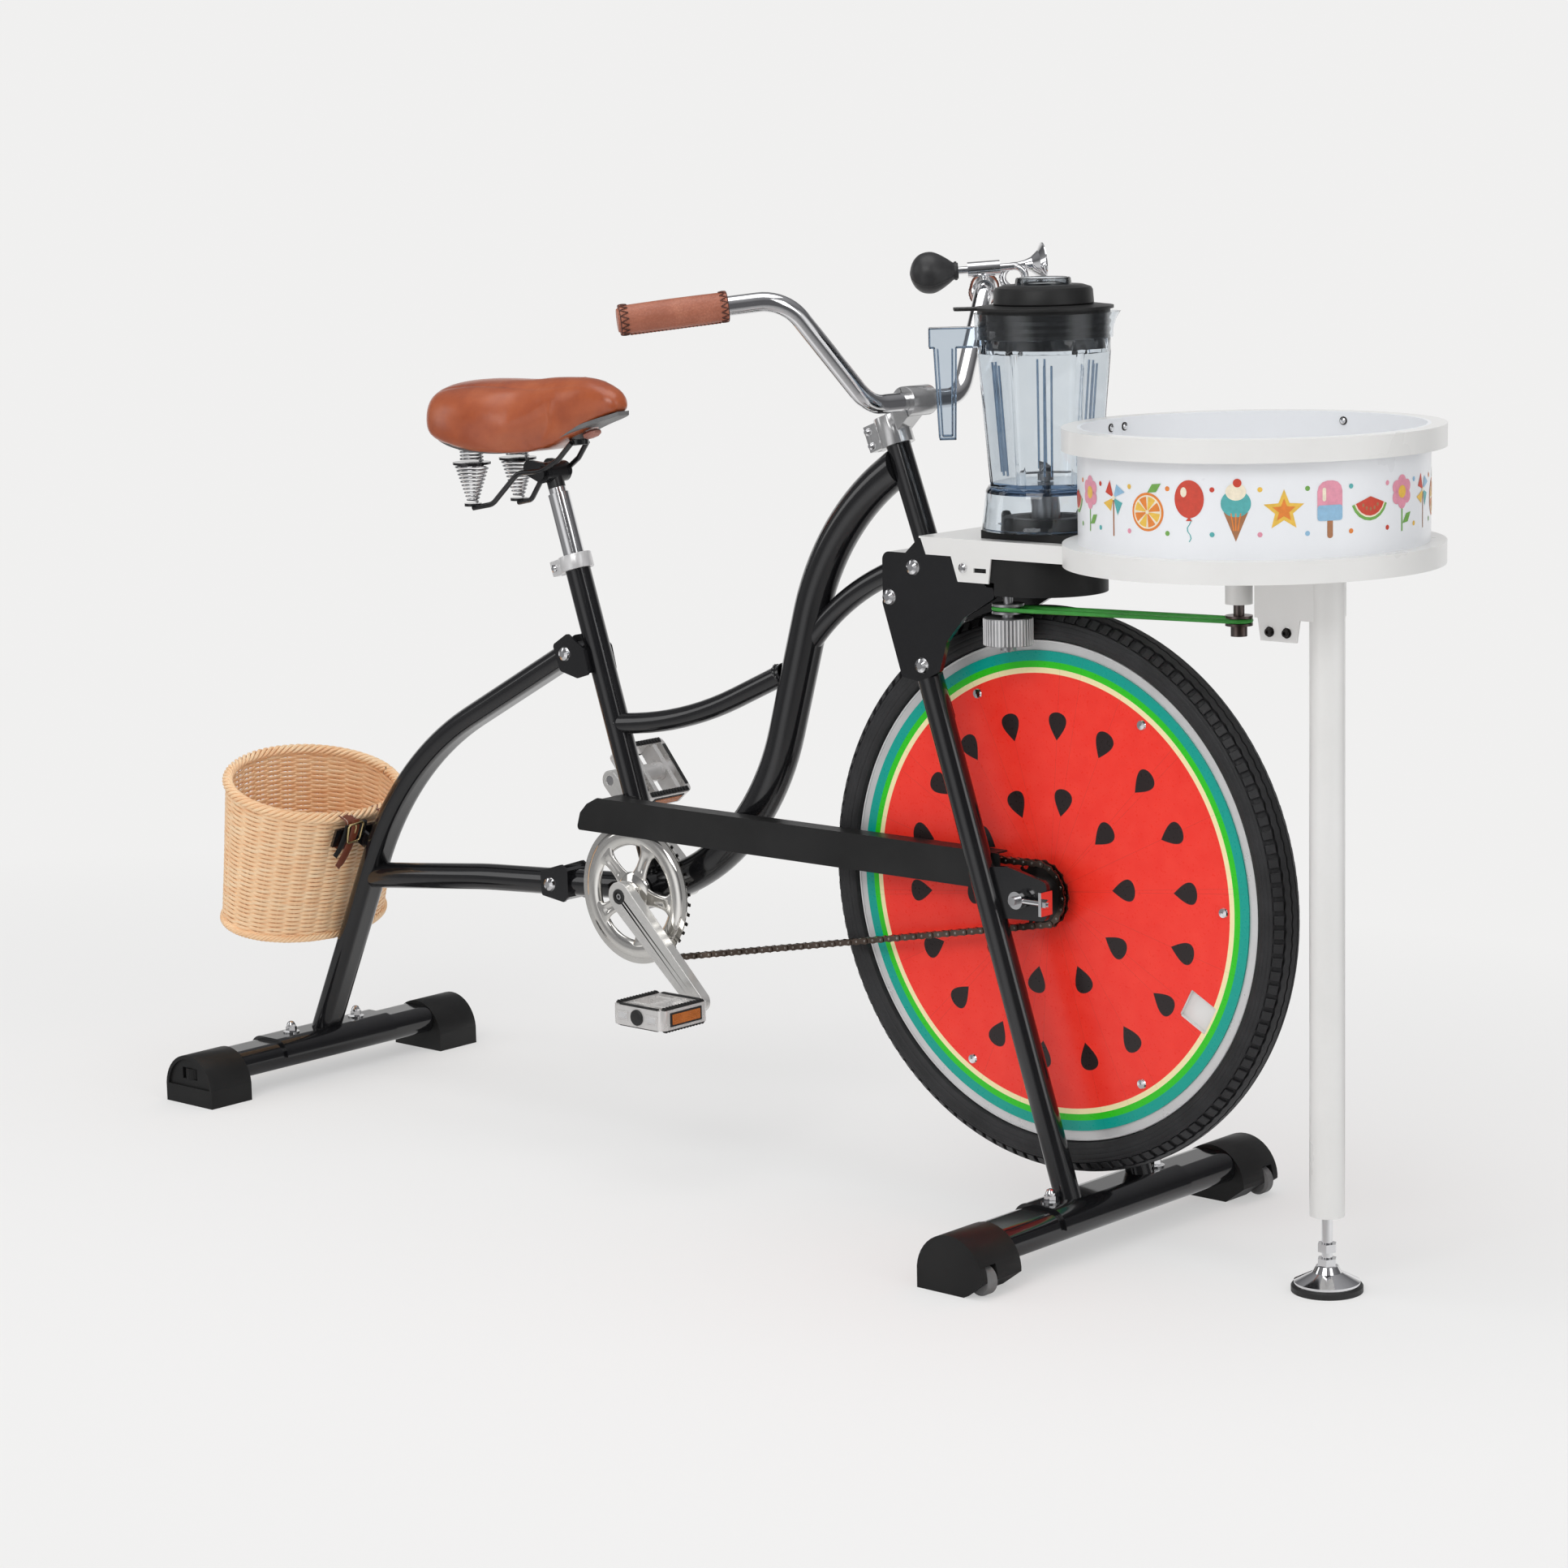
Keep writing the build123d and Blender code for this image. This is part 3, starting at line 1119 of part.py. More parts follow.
def add_pedal(end, side, inner, tilt):
    """Alloy cage on a plain barrel, turned about its own axle."""
    middle = end + left * (side * (inner + pedal_width / 2))
    cage = Plane(origin=middle, x_dir=along_angle(tilt), z_dir=along_angle(tilt + 90))
    with BuildSketch(cage) as face:
        RectangleRounded(pedal_length, pedal_width, 9)
        RectangleRounded(pedal_length - 14, pedal_width - 14, 4, mode=Mode.SUBTRACT)
        for offset in (-pedal_width / 4, pedal_width / 4):
            with Locations((0, offset)):
                Rectangle(pedal_length - 10, 7)
    extrude(face.sketch, amount=pedal_height / 2, both=True)
    add_rod(middle - left * (pedal_width / 2), middle + left * (pedal_width / 2), 12)
    add_rod(middle - left * 60, middle + left * 60, pedal_axle_radius + running_gap, mode=Mode.SUBTRACT)


with BuildPart() as pedal_right:
    add_pedal(crank_end[1], -1, pedal_inner[1], 0)
pedal_right.part.label = "pedal_right"

with BuildPart() as pedal_left:
    add_pedal(crank_end[0], 1, pedal_inner[0], left_pedal_tilt)
pedal_left.part.label = "pedal_left"

# Chain: two bands of plates with a roller for every link
ring_at = (bracket.X, bracket.Z)
sprocket_at = (axle.X, axle.Z)
run_way = math.degrees(math.atan2(sprocket_at[1] - ring_at[1], sprocket_at[0] - ring_at[0]))
dip_angle = math.degrees(math.asin((ring_pitch - sprocket_pitch) / drive_length))
roller_spots = []
ring_turns = [number * 360 / ring_teeth for number in range(ring_teeth)]
ring_turns = [turn for turn in ring_turns if 90 - dip_angle < (turn - run_way) % 360 < 270 + dip_angle]
ring_turns.sort(key=lambda turn: (turn - run_way) % 360)
sprocket_turns = [number * 360 / sprocket_teeth for number in range(sprocket_teeth)]
sprocket_turns = [turn for turn in sprocket_turns if not 90 - dip_angle < (turn - run_way) % 360 < 270 + dip_angle]
sprocket_turns.sort(key=lambda turn: (turn - run_way + 180) % 360)


def on_circle(centre, radius, turn):
    return (centre[0] + radius * math.cos(math.radians(turn)), centre[1] + radius * math.sin(math.radians(turn)))


chain_corner = loop_corners(ring_at, ring_pitch, sprocket_at, sprocket_pitch)


def chain_run(first, first_tangent, second_tangent, second):
    """Rollers on a straight run, spread evenly between the last ones held by teeth."""
    legs = [(first, first_tangent), (first_tangent, second_tangent), (second_tangent, second)]
    lengths = [math.dist(*leg) for leg in legs]
    count = round(sum(lengths) / chain_pitch)
    spots = []
    for number in range(1, count):
        way = sum(lengths) * number / count
        for leg, length in zip(legs, lengths):
            if way <= length:
                spots.append((leg[0][0] + (leg[1][0] - leg[0][0]) * way / length,
                              leg[0][1] + (leg[1][1] - leg[0][1]) * way / length))
                break
            way -= length
    return spots


roller_spots += [on_circle(ring_at, ring_pitch, turn) for turn in ring_turns]
roller_spots += [on_circle(sprocket_at, sprocket_pitch, turn) for turn in sprocket_turns]
roller_spots += chain_run(on_circle(ring_at, ring_pitch, ring_turns[0]), chain_corner["first_up"],
                          chain_corner["second_up"], on_circle(sprocket_at, sprocket_pitch, sprocket_turns[-1]))
roller_spots += chain_run(on_circle(sprocket_at, sprocket_pitch, sprocket_turns[0]), chain_corner["second_low"],
                          chain_corner["first_low"], on_circle(ring_at, ring_pitch, ring_turns[-1]))
print("chain rollers", len(roller_spots))
with BuildPart() as chain:
    for left_face in (chain_y + chain_inside + chain_plate, chain_y - chain_inside):
        with BuildSketch(Plane(origin=(0, left_face, 0), x_dir=(1, 0, 0), z_dir=(0, -1, 0))) as face:
            with BuildLine():
                loop_line(ring_at, ring_pitch + chain_band, sprocket_at, sprocket_pitch + chain_band)
            make_face()
            with BuildLine():
                loop_line(ring_at, ring_pitch - chain_band, sprocket_at, sprocket_pitch - chain_band)
            make_face(mode=Mode.SUBTRACT)
        extrude(amount=chain_plate)
    with BuildSketch(Plane(origin=(0, chain_y + chain_inside, 0), x_dir=(1, 0, 0), z_dir=(0, -1, 0))) as rollers:
        with Locations(*roller_spots):
            Circle(chain_roller)
    extrude(amount=2 * chain_inside)
chain.part.label = "chain"

# Chain guard
guard_high = 44.0
guard_low = 1.0
with BuildPart() as chain_guard:
    add_plate([flat(-719, guard_low + 6), flat(-714, guard_low + 22), flat(-702, guard_low + 34),
               flat(-684, guard_high), flat(-45, guard_high), flat(-45, guard_low), flat(-719, guard_low)], -48, -50, 4)
    add_plate([flat(-676, guard_high), flat(-52, guard_high), flat(-52, guard_high - 2), flat(-676, guard_high - 2)],
              -27, -50)
    hold = bracket + seat_way * ((guard_high - 4 - bracket_drop) / math.cos(math.radians(seat_lean)))
    with Locations(Vector(hold.X, -20.5, axle_z + guard_high - 1)):
        Box(26, 15, 2)
    with Locations(Vector(hold.X, -18, axle_z + guard_high - 9)):
        Box(26, 10, 18)
    add_rod(bracket, bracket + seat_way * 300, seat_tube_radius + weld_gap, mode=Mode.SUBTRACT)
    with Locations(place(-62, -50.6, 20)):
        Box(14, 3, 16)
    add_rod(leg_low[1], leg_top[1], leg_radius + weld_gap, mode=Mode.SUBTRACT)
chain_guard.part.label = "chain_guard"

# Drive housing under the table
housing_low = table_low - housing_height
housing_narrow = plate_inner - 0.5
boss_high = housing_low + 22
belt_low = housing_low + 27


def add_housing_block(inset, low, high, mode):
    wide = housing_round - inset
    narrow = housing_narrow - inset
    tail = axle_x + housing_tail + inset
    step = plate_outline[1][0] + 0.3 + inset
    with BuildSketch(Plane.XY.offset(low)) as face:
        with BuildLine():
            Polyline((jug_centre.X, -wide), (step, -wide), (step, -narrow), (tail, -narrow), (tail, narrow),
                     (step, narrow), (step, wide), (jug_centre.X, wide))
            ThreePointArc((jug_centre.X, wide), (jug_centre.X + wide, 0), (jug_centre.X, -wide))
        make_face()
    extrude(face.sketch, amount=high - low, mode=mode)


def at_height(centre, height):
    return Vector(centre.X, centre.Y, height)


with BuildPart() as drive_housing:
    add_housing_block(0, housing_low, table_low, Mode.ADD)
    add_housing_block(housing_wall, housing_low + housing_floor, table_low + 1, Mode.SUBTRACT)
    for centre in (roller_centre, jug_centre):
        add_rod(at_height(centre, housing_low), at_height(centre, boss_high), bearing_radius + 4)
        add_rod(at_height(centre, housing_low + 1), at_height(centre, boss_high + 1), bearing_radius + fixed_gap,
                mode=Mode.SUBTRACT)
        add_rod(at_height(centre, housing_low - 1), at_height(centre, housing_low + 2), shaft_radius + 3,
                mode=Mode.SUBTRACT)
    nose_high = plate_outline[3][1] + plate_corner + loose_gap
    for side in (1, -1):
        with Locations(Vector(plate_outline[3][0] + loose_gap - 20, side * (housing_narrow + 20), nose_high - 30)):
            Box(40, 40, 60, mode=Mode.SUBTRACT)
drive_housing.part.label = "drive_housing"

# Table arm with the tongue that carries the drum
tongue_low = drum_low - 3
arm_low = table_top - table_flange
spinner_boss = tongue_low - 42
with BuildPart() as table_arm:
    add_sheet([(axle_x - 140, -table_half), (axle_x + 120, -table_half), (axle_x + 120, table_half),
               (axle_x - 140, table_half)], table_low, table_top, 4)
    for side in (1, -1):
        faces = sorted((side * table_half, side * (table_half - table_sheet)), reverse=True)
        add_plate([(axle_x - 136, table_top - 0.5), (axle_x + 116, table_top - 0.5), (axle_x + 116, arm_low),
                   (axle_x - 128, arm_low)], faces[0], faces[1])
        add_plate([(axle_x - 92, arm_low + 1), (axle_x - 34, arm_low + 1), (axle_x - 38, arm_low - 28),
                   (axle_x - 82, arm_low - 28)], faces[0], faces[1])
    add_rod(at_height(drum_centre, drum_low - 20), at_height(drum_centre, drum_high), hoop_radius + loose_gap,
            mode=Mode.SUBTRACT)
    add_sheet([(axle_x + 60, -36), (axle_x + 63, -36), (axle_x + 63, 36), (axle_x + 60, 36)], tongue_low, table_low + 1)
    add_sheet([(axle_x + 60, -36), (axle_x + 276, -36), (axle_x + 276, 36), (axle_x + 60, 36)], tongue_low, drum_low)
    add_rod(at_height(spinner_centre, spinner_boss), at_height(spinner_centre, drum_low - 1), bearing_radius + 4)
    add_rod(at_height(spinner_centre, spinner_boss - 1), at_height(spinner_centre, drum_low + 1),
            bearing_radius + fixed_gap, mode=Mode.SUBTRACT)
    add_rod(at_height(jug_centre, table_low - 1), at_height(jug_centre, table_top + 1), 14, mode=Mode.SUBTRACT)
    for side in (1, -1):
        spot = Vector(axle_x - 74, side * table_half, arm_low - 12)
        add_rod(spot - left * (side * 10), spot + left * (side * 10), 3 + fixed_gap, mode=Mode.SUBTRACT)
        with Locations(Vector(axle_x - 50, side * (table_half - 1), arm_low - 14)):
            Box(18, 6, 5, mode=Mode.SUBTRACT)
table_arm.part.label = "table_arm"

with BuildPart() as shaft_bearings:
    for centre in (roller_centre, jug_centre):
        for low in (housing_low + 1, boss_high - bearing_width):
            add_rod(at_height(centre, low), at_height(centre, low + bearing_width), bearing_radius,
                    shaft_radius + running_gap)
    for low in (spinner_boss, drum_low - bearing_width):
        add_rod(at_height(spinner_centre, low), at_height(spinner_centre, low + bearing_width), bearing_radius,
                shaft_radius + running_gap)
shaft_bearings.part.label = "shaft_bearings"


# Friction roller, belts and coupler
def add_pulley(centre, pitch):
    add_rod(at_height(centre, belt_z - pulley_half), at_height(centre, belt_z + pulley_half), pitch + 2)
    with Locations(at_height(centre, belt_z)):
        Torus(pitch, belt_radius + loose_gap, mode=Mode.SUBTRACT)
    groove = belt_radius + loose_gap
    add_turned(at_height(centre, belt_z), up, [(pitch, -groove), (pitch + 4, -groove), (pitch + 4, groove),
                                               (pitch, groove)], Mode.SUBTRACT)


with BuildPart() as friction_roller:
    roller_top = roller_low + roller_height
    add_rod(at_height(roller_centre, roller_low), at_height(roller_centre, roller_top), roller_radius)
    add_rod(at_height(roller_centre, roller_low - 8), at_height(roller_centre, belt_low + 12), shaft_radius)
    add_pulley(roller_centre, roller_pulley)
    add_rod(at_height(roller_centre, roller_top - 1), at_height(roller_centre, belt_z - pulley_half + 1), 7)
    add_rod(at_height(roller_centre, belt_z + pulley_half - 1), at_height(roller_centre, housing_low + 0.7), 5.5)
    add_rod(at_height(roller_centre, belt_low - 1), at_height(roller_centre, belt_low + flat_belt_width + 1),
            inner_pulley)
    add_rod(at_height(roller_centre, roller_low - 6), at_height(roller_centre, roller_low + 1), 9)
friction_roller.part.label = "friction_roller"

dock_top = table_top + dock_height
with BuildPart() as drive_coupler:
    add_rod(at_height(jug_centre, housing_low + 2.2), at_height(jug_centre, dock_top + 2), shaft_radius)
    add_rod(at_height(jug_centre, belt_low - 1), at_height(jug_centre, belt_low + flat_belt_width + 1),
            coupler_pulley)
    add_rod(at_height(jug_centre, table_top + 0.6), at_height(jug_centre, table_top + 7), coupler_flange)
    add_hex(at_height(jug_centre, table_top + 2), up, 2 * coupler_across, dock_height + 11)
drive_coupler.part.label = "drive_coupler"

with BuildPart() as transfer_belt:
    first = (roller_centre.X, roller_centre.Y)
    second = (jug_centre.X, jug_centre.Y)
    with BuildSketch(Plane.XY.offset(belt_low)) as face:
        with BuildLine():
            loop_line(first, inner_pulley + loose_gap + flat_belt, second, coupler_pulley + loose_gap + flat_belt)
        make_face()
        with BuildLine():
            loop_line(first, inner_pulley + loose_gap, second, coupler_pulley + loose_gap)
        make_face(mode=Mode.SUBTRACT)
    extrude(amount=flat_belt_width)
transfer_belt.part.label = "transfer_belt"

with BuildPart() as round_belt:
    first = (roller_centre.X, roller_centre.Y)
    second = (spinner_centre.X, spinner_centre.Y)
    with BuildLine(Plane.XY.offset(belt_z)) as belt_way:
        loop_line(first, roller_pulley, second, spinner_pulley)
    with BuildSketch(Plane(origin=belt_way.line @ 0, z_dir=belt_way.line % 0)) as face:
        Circle(belt_radius)
    sweep(path=belt_way.line)
round_belt.part.label = "round_belt"

with BuildPart() as jug_dock:
    with BuildSketch(Plane.XY.offset(table_top)) as face:
        with Locations((jug_centre.X + (dock_front - dock_half) / 2, 0)):
            RectangleRounded(dock_front + dock_half, 2 * dock_half, 5)
        with Locations((jug_centre.X, 0)):
            Circle(coupler_flange + 1.5, mode=Mode.SUBTRACT)
    extrude(amount=dock_height)
    add_turned(at_height(jug_centre, 0), up, [(30, dock_top - 0.5), (50, dock_top - 0.5), (48, dock_top + 14),
                                              (34, dock_top + 14)])
jug_dock.part.label = "jug_dock"

# Jug, blades, lid and cap
jug_low = dock_top + skirt_height
jug_high = jug_low + jug_height
jug_neck = jug_high - 15


def jug_face(height, radius, corner):
    with BuildSketch(Plane.XY.offset(height)) as face:
        with Locations((jug_centre.X, 0)):
            RegularPolygon(radius, 6, rotation=handle_turn)
        fillet(face.vertices(), corner)
    return face.sketch


handle_way = Vector(math.cos(math.radians(handle_turn)), math.sin(math.radians(handle_turn)), 0)
handle_plane = Plane(origin=jug_centre, x_dir=handle_way, z_dir=handle_way.cross(up))
neck_outer = jug_high_radius - 2.5
with BuildPart() as jug:
    loft([jug_face(jug_low - 4, jug_low_radius, jug_corner), jug_face(jug_neck, jug_high_radius, jug_corner)])
    add_rod(at_height(jug_centre, jug_neck - 1), at_height(jug_centre, jug_high), neck_outer)
    with BuildSketch(handle_plane) as handle:
        with BuildLine():
            Polyline((50, jug_high - 9), (handle_reach - 30, jug_high - 9), (handle_reach - 28, jug_high - 110),
                     (handle_reach - 10, jug_high - 110), (handle_reach - 5, jug_high - 9), (handle_reach, jug_high - 9),
                     (handle_reach, jug_high + 13), (50, jug_high + 13), close=True)
        make_face()
    extrude(amount=handle_half, both=True)
    loft([jug_face(jug_low + 4, jug_low_radius - jug_wall, jug_corner - 2),
          jug_face(jug_neck, jug_high_radius - jug_wall, jug_corner - 2)], mode=Mode.SUBTRACT)
    add_rod(at_height(jug_centre, jug_neck - 0.5), at_height(jug_centre, jug_high + 20), neck_outer - 5,
            mode=Mode.SUBTRACT)
    add_rod(at_height(jug_centre, jug_high), at_height(jug_centre, jug_high + 20), neck_outer + 3, mode=Mode.SUBTRACT)
    skirt_high = skirt_radius - skirt_taper
    add_turned(at_height(jug_centre, 0), up, [(10, jug_low - 8), (skirt_high - jug_wall, jug_low - 8),
               (skirt_radius - jug_wall, dock_top + loose_gap), (skirt_radius, dock_top + loose_gap),
               (skirt_high, jug_low - 5), (skirt_high - 3, jug_low), (10, jug_low)])
    add_rod(at_height(jug_centre, jug_low - 10), at_height(jug_centre, jug_low + 10), 5 + running_gap,
            mode=Mode.SUBTRACT)
jug.part.label = "jug"

with BuildPart() as blades:
    add_rod(at_height(jug_centre, dock_top + 3), at_height(jug_centre, jug_low - 10), 16)
    add_hex(at_height(jug_centre, dock_top), up, 2 * coupler_across + 2 * loose_gap, 16, Mode.SUBTRACT)
    add_rod(at_height(jug_centre, jug_low - 11), at_height(jug_centre, jug_low + 22), 5)
    add_rod(at_height(jug_centre, jug_low + 5), at_height(jug_centre, jug_low + 12), 9)
    for number in range(4):
        turn = math.radians(45 + 90 * number)
        rise = 9 if number % 2 else -1
        way = Vector(math.cos(turn), math.sin(turn), 0)
        root = at_height(jug_centre, jug_low + 14)
        tip = root + way * 30 + up * rise
        wing = Plane(origin=root, x_dir=tip - root, z_dir=(tip - root).cross(way.cross(up)) * -1)
        with BuildSketch(wing) as blade:
            with BuildLine():
                Polyline((0, -6), (24, -5), ((tip - root).length, 4), (20, 5), (0, 6), close=True)
            make_face()
        extrude(amount=0.8, both=True)
    add_rod(at_height(jug_centre, jug_low + 10), at_height(jug_centre, jug_low + 19), 7)
blades.part.label = "blades"

lid_low = jug_high + loose_gap
lid_plug = neck_outer - 5.5
with BuildPart() as lid:
    add_turned(at_height(jug_centre, lid_low), up,
               [(lid_plug - 4, -12), (lid_plug, -12), (lid_plug, 0), (neck_outer, 0), (neck_outer - 1.5, 4),
                (neck_outer, 8), (neck_outer - 1.5, 12), (neck_outer, 16), (neck_outer - 1.5, 20), (neck_outer, 24),
                (neck_outer, lid_height), (neck_outer + 4, lid_height), (neck_outer + 4, lid_height + 3),
                (cap_radius + 8, lid_height + 5), (cap_plug + loose_gap, lid_height + 5),
                (cap_plug + loose_gap, lid_height), (lid_plug - 8, lid_height - 2), (lid_plug - 4, lid_height - 6)])
    with BuildSketch(Plane(origin=at_height(jug_centre, lid_low + lid_height), x_dir=handle_way, z_dir=up)) as tab:
        with Locations((neck_outer + lid_tab / 2 - 2, 0)):
            RectangleRounded(lid_tab + 12, 34, 5)
    extrude(amount=3)
lid.part.label = "lid"

with BuildPart() as filler_cap:
    cap_seat = lid_low + lid_height + 5 + loose_gap
    add_turned(at_height(jug_centre, cap_seat), up,
               [(cap_plug - 3, -14), (cap_plug, -14), (cap_plug, 0), (cap_radius, 0), (cap_radius + 1, 3),
                (cap_radius - 1, 17), (cap_radius - 5, 20), (0, 21), (0, 17), (cap_plug - 3, 15)])
filler_cap.part.label = "filler_cap"

# Drum
with BuildPart() as drum_wall:
    add_rod(at_height(drum_centre, drum_low + drum_floor_thickness), at_height(drum_centre, drum_high), drum_radius,
            drum_radius - drum_wall_thickness)
drum_wall.part.label = "drum_wall"

with BuildPart() as drum_hoops:
    for low in (drum_low, drum_high - hoop_height):
        inner = drum_radius + fixed_gap
        add_turned(at_height(drum_centre, low), up, [(inner, 0), (hoop_radius, 0), (hoop_radius, hoop_height),
                                                     (inner, hoop_height)])
        outer = hoop_radius - hoop_wall
        add_turned(at_height(drum_centre, low), up, [(inner + hoop_wall, hoop_wall), (outer, hoop_wall),
                   (outer, hoop_height - hoop_wall), (inner + hoop_wall, hoop_height - hoop_wall)], Mode.SUBTRACT)
drum_hoops.part.label = "drum_hoops"

with BuildPart() as drum_floor:
    add_rod(at_height(drum_centre, drum_low), at_height(drum_centre, drum_low + drum_floor_thickness), drum_radius)
    add_rod(at_height(spinner_centre, drum_low - 1), at_height(spinner_centre, drum_low + 9), bearing_radius - 2,
            mode=Mode.SUBTRACT)
drum_floor.part.label = "drum_floor"

with BuildPart() as spinner:
    add_rod(at_height(spinner_centre, belt_z - 16), at_height(spinner_centre, drum_low + 14), shaft_radius)
    add_pulley(spinner_centre, spinner_pulley)
    add_rod(at_height(spinner_centre, belt_z - 17), at_height(spinner_centre, belt_z - pulley_half + 0.5), 9)
    add_rod(at_height(spinner_centre, belt_z + pulley_half - 0.5), at_height(spinner_centre, spinner_boss - 0.3), 6)
    add_turned(at_height(spinner_centre, drum_low), up, [(0, 10), (spinner_radius - 3, 10), (spinner_radius, 14),
               (spinner_radius, 40), (spinner_radius - 3, 40), (spinner_radius - 3, 16), (12, 18), (8, 32), (0, 32)])
spinner.part.label = "spinner"

# Support post and its levelling foot
post_centre = Vector(axle_x + post_forward, post_side, 0)
with BuildPart() as support_post:
    with Locations(Vector(axle_x + 330, 0, drum_low - 27)):
        Box(76, 60, 54)
        Box(80, 55, 49, mode=Mode.SUBTRACT)
    add_rod(at_height(post_centre, post_low), at_height(post_centre, drum_low - 3), post_radius)
    add_rod(at_height(post_centre, post_low + 26), at_height(post_centre, drum_low - 3), post_radius - post_wall,
            mode=Mode.SUBTRACT)
    add_sheet([(axle_x + 292, -46), (axle_x + 415, -46), (axle_x + 415, 30), (axle_x + 292, 30)], drum_low - 3,
              drum_low, 8)
    add_plate([(axle_x + 296, drum_low - 53), (axle_x + 350, drum_low - 53), (axle_x + 346, drum_low - 78),
               (axle_x + 300, drum_low - 78)], -27.5, -30)
    for forward in (312, 334):
        with Locations(Vector(axle_x + forward, -28.7, drum_low - 68)):
            Box(5, 8, 12, mode=Mode.SUBTRACT)
    add_rod(at_height(post_centre, post_low - 1), at_height(post_centre, post_low + 40), foot_rod + running_gap,
            mode=Mode.SUBTRACT)
support_post.part.label = "support_post"

with BuildPart() as levelling_foot:
    add_rod(at_height(post_centre, foot_pad_height + 2), at_height(post_centre, post_low + 70), foot_rod)
    add_turned(at_height(post_centre, foot_pad_height), up, [(0, 0), (foot_pad - 3, 0), (foot_pad - 3, 3), (16, 13),
                                                             (12, 20), (0, 20)])
    add_hex(at_height(post_centre, 27.5), up, 19, 9)
    add_hex(at_height(post_centre, 44), up, 19, 9)
levelling_foot.part.label = "levelling_foot"

with BuildPart() as foot_pad_rubber:
    add_turned(at_height(post_centre, 0), up, [(0, 0), (foot_pad, 0), (foot_pad, foot_pad_height - 2),
               (foot_pad - 1.5, foot_pad_height), (0, foot_pad_height)])
foot_pad_rubber.part.label = "foot_pad"

# Basket and straps
def basket_face(rise, width, depth, inset):
    """Oval cross-section; the lower it lies, the nearer its middle is to the stay."""
    drop = basket_height - rise
    shift = basket_base_shift * drop / basket_height
    spot = basket_top - basket_axis * drop - basket_back * shift
    with BuildSketch(Plane(origin=spot, x_dir=(0, 1, 0), z_dir=basket_axis)) as face:
        Ellipse(width / 2 - inset, depth / 2 - inset)
    return face.sketch


def add_strap(side, grow, mode):
    """Leather loop over the rim, through the wall below it and round the bar on the stay."""
    bow = 1 - math.sqrt(1 - (2 * (side * strap_side - basket_side) / basket_rim_width) ** 2)
    wall_front = basket_rim_depth / 2 * (1 - bow)
    bar_face = basket_rim_depth / 2 + basket_bar_gap + basket_bar_thickness
    near = -bar_face - 0.8 - strap_thickness
    far = -wall_front + basket_wall + 2 + strap_thickness
    loop = Plane(origin=basket_top + left * (side * strap_side - basket_side), x_dir=basket_back, z_dir=(0, 1, 0))
    with BuildSketch(loop) as face:
        with Locations(((near + far) / 2, 1.5 - strap_drop / 2)):
            RectangleRounded(far - near + 2 * grow, strap_drop + 2 * grow, 6)
            RectangleRounded(far - near - 2 * strap_thickness - 2 * grow, strap_drop - 2 * strap_thickness - 2 * grow, 4,
                             mode=Mode.SUBTRACT)
    extrude(face.sketch, amount=strap_width / 2 + grow, both=True, mode=mode)


with BuildPart() as basket:
    loft([basket_face(0, basket_base_width, basket_base_depth, 0),
          basket_face(basket_height, basket_rim_width, basket_rim_depth, 0)])
    loft([basket_face(basket_wall, basket_base_width, basket_base_depth, basket_wall),
          basket_face(basket_height + 0.01, basket_rim_width, basket_rim_depth, basket_wall)], mode=Mode.SUBTRACT)
    for side in (1, -1):
        add_strap(side, 0.3, Mode.SUBTRACT)
basket.part.label = "basket"

with BuildPart() as basket_straps:
    for side in (1, -1):
        add_strap(side, 0, Mode.ADD)
basket_straps.part.label = "basket_straps"


# Fasteners, one group
def add_acorn(foot_x, side):
    seat = Vector(foot_x, side, foot_top + cap_gap + saddle_plate)
    add_rod(seat, seat + up * 1.6, 11)
    add_hex(seat + up * 1.5, up, 13, 6.5)
    add_turned(seat + up * 8, up, [(0, -0.5), (6, -0.5), (6, 3), (4.4, 6), (2, 7.4), (0, 7.6)])
    add_rod(seat + up, seat - up * 16, stud_radius)


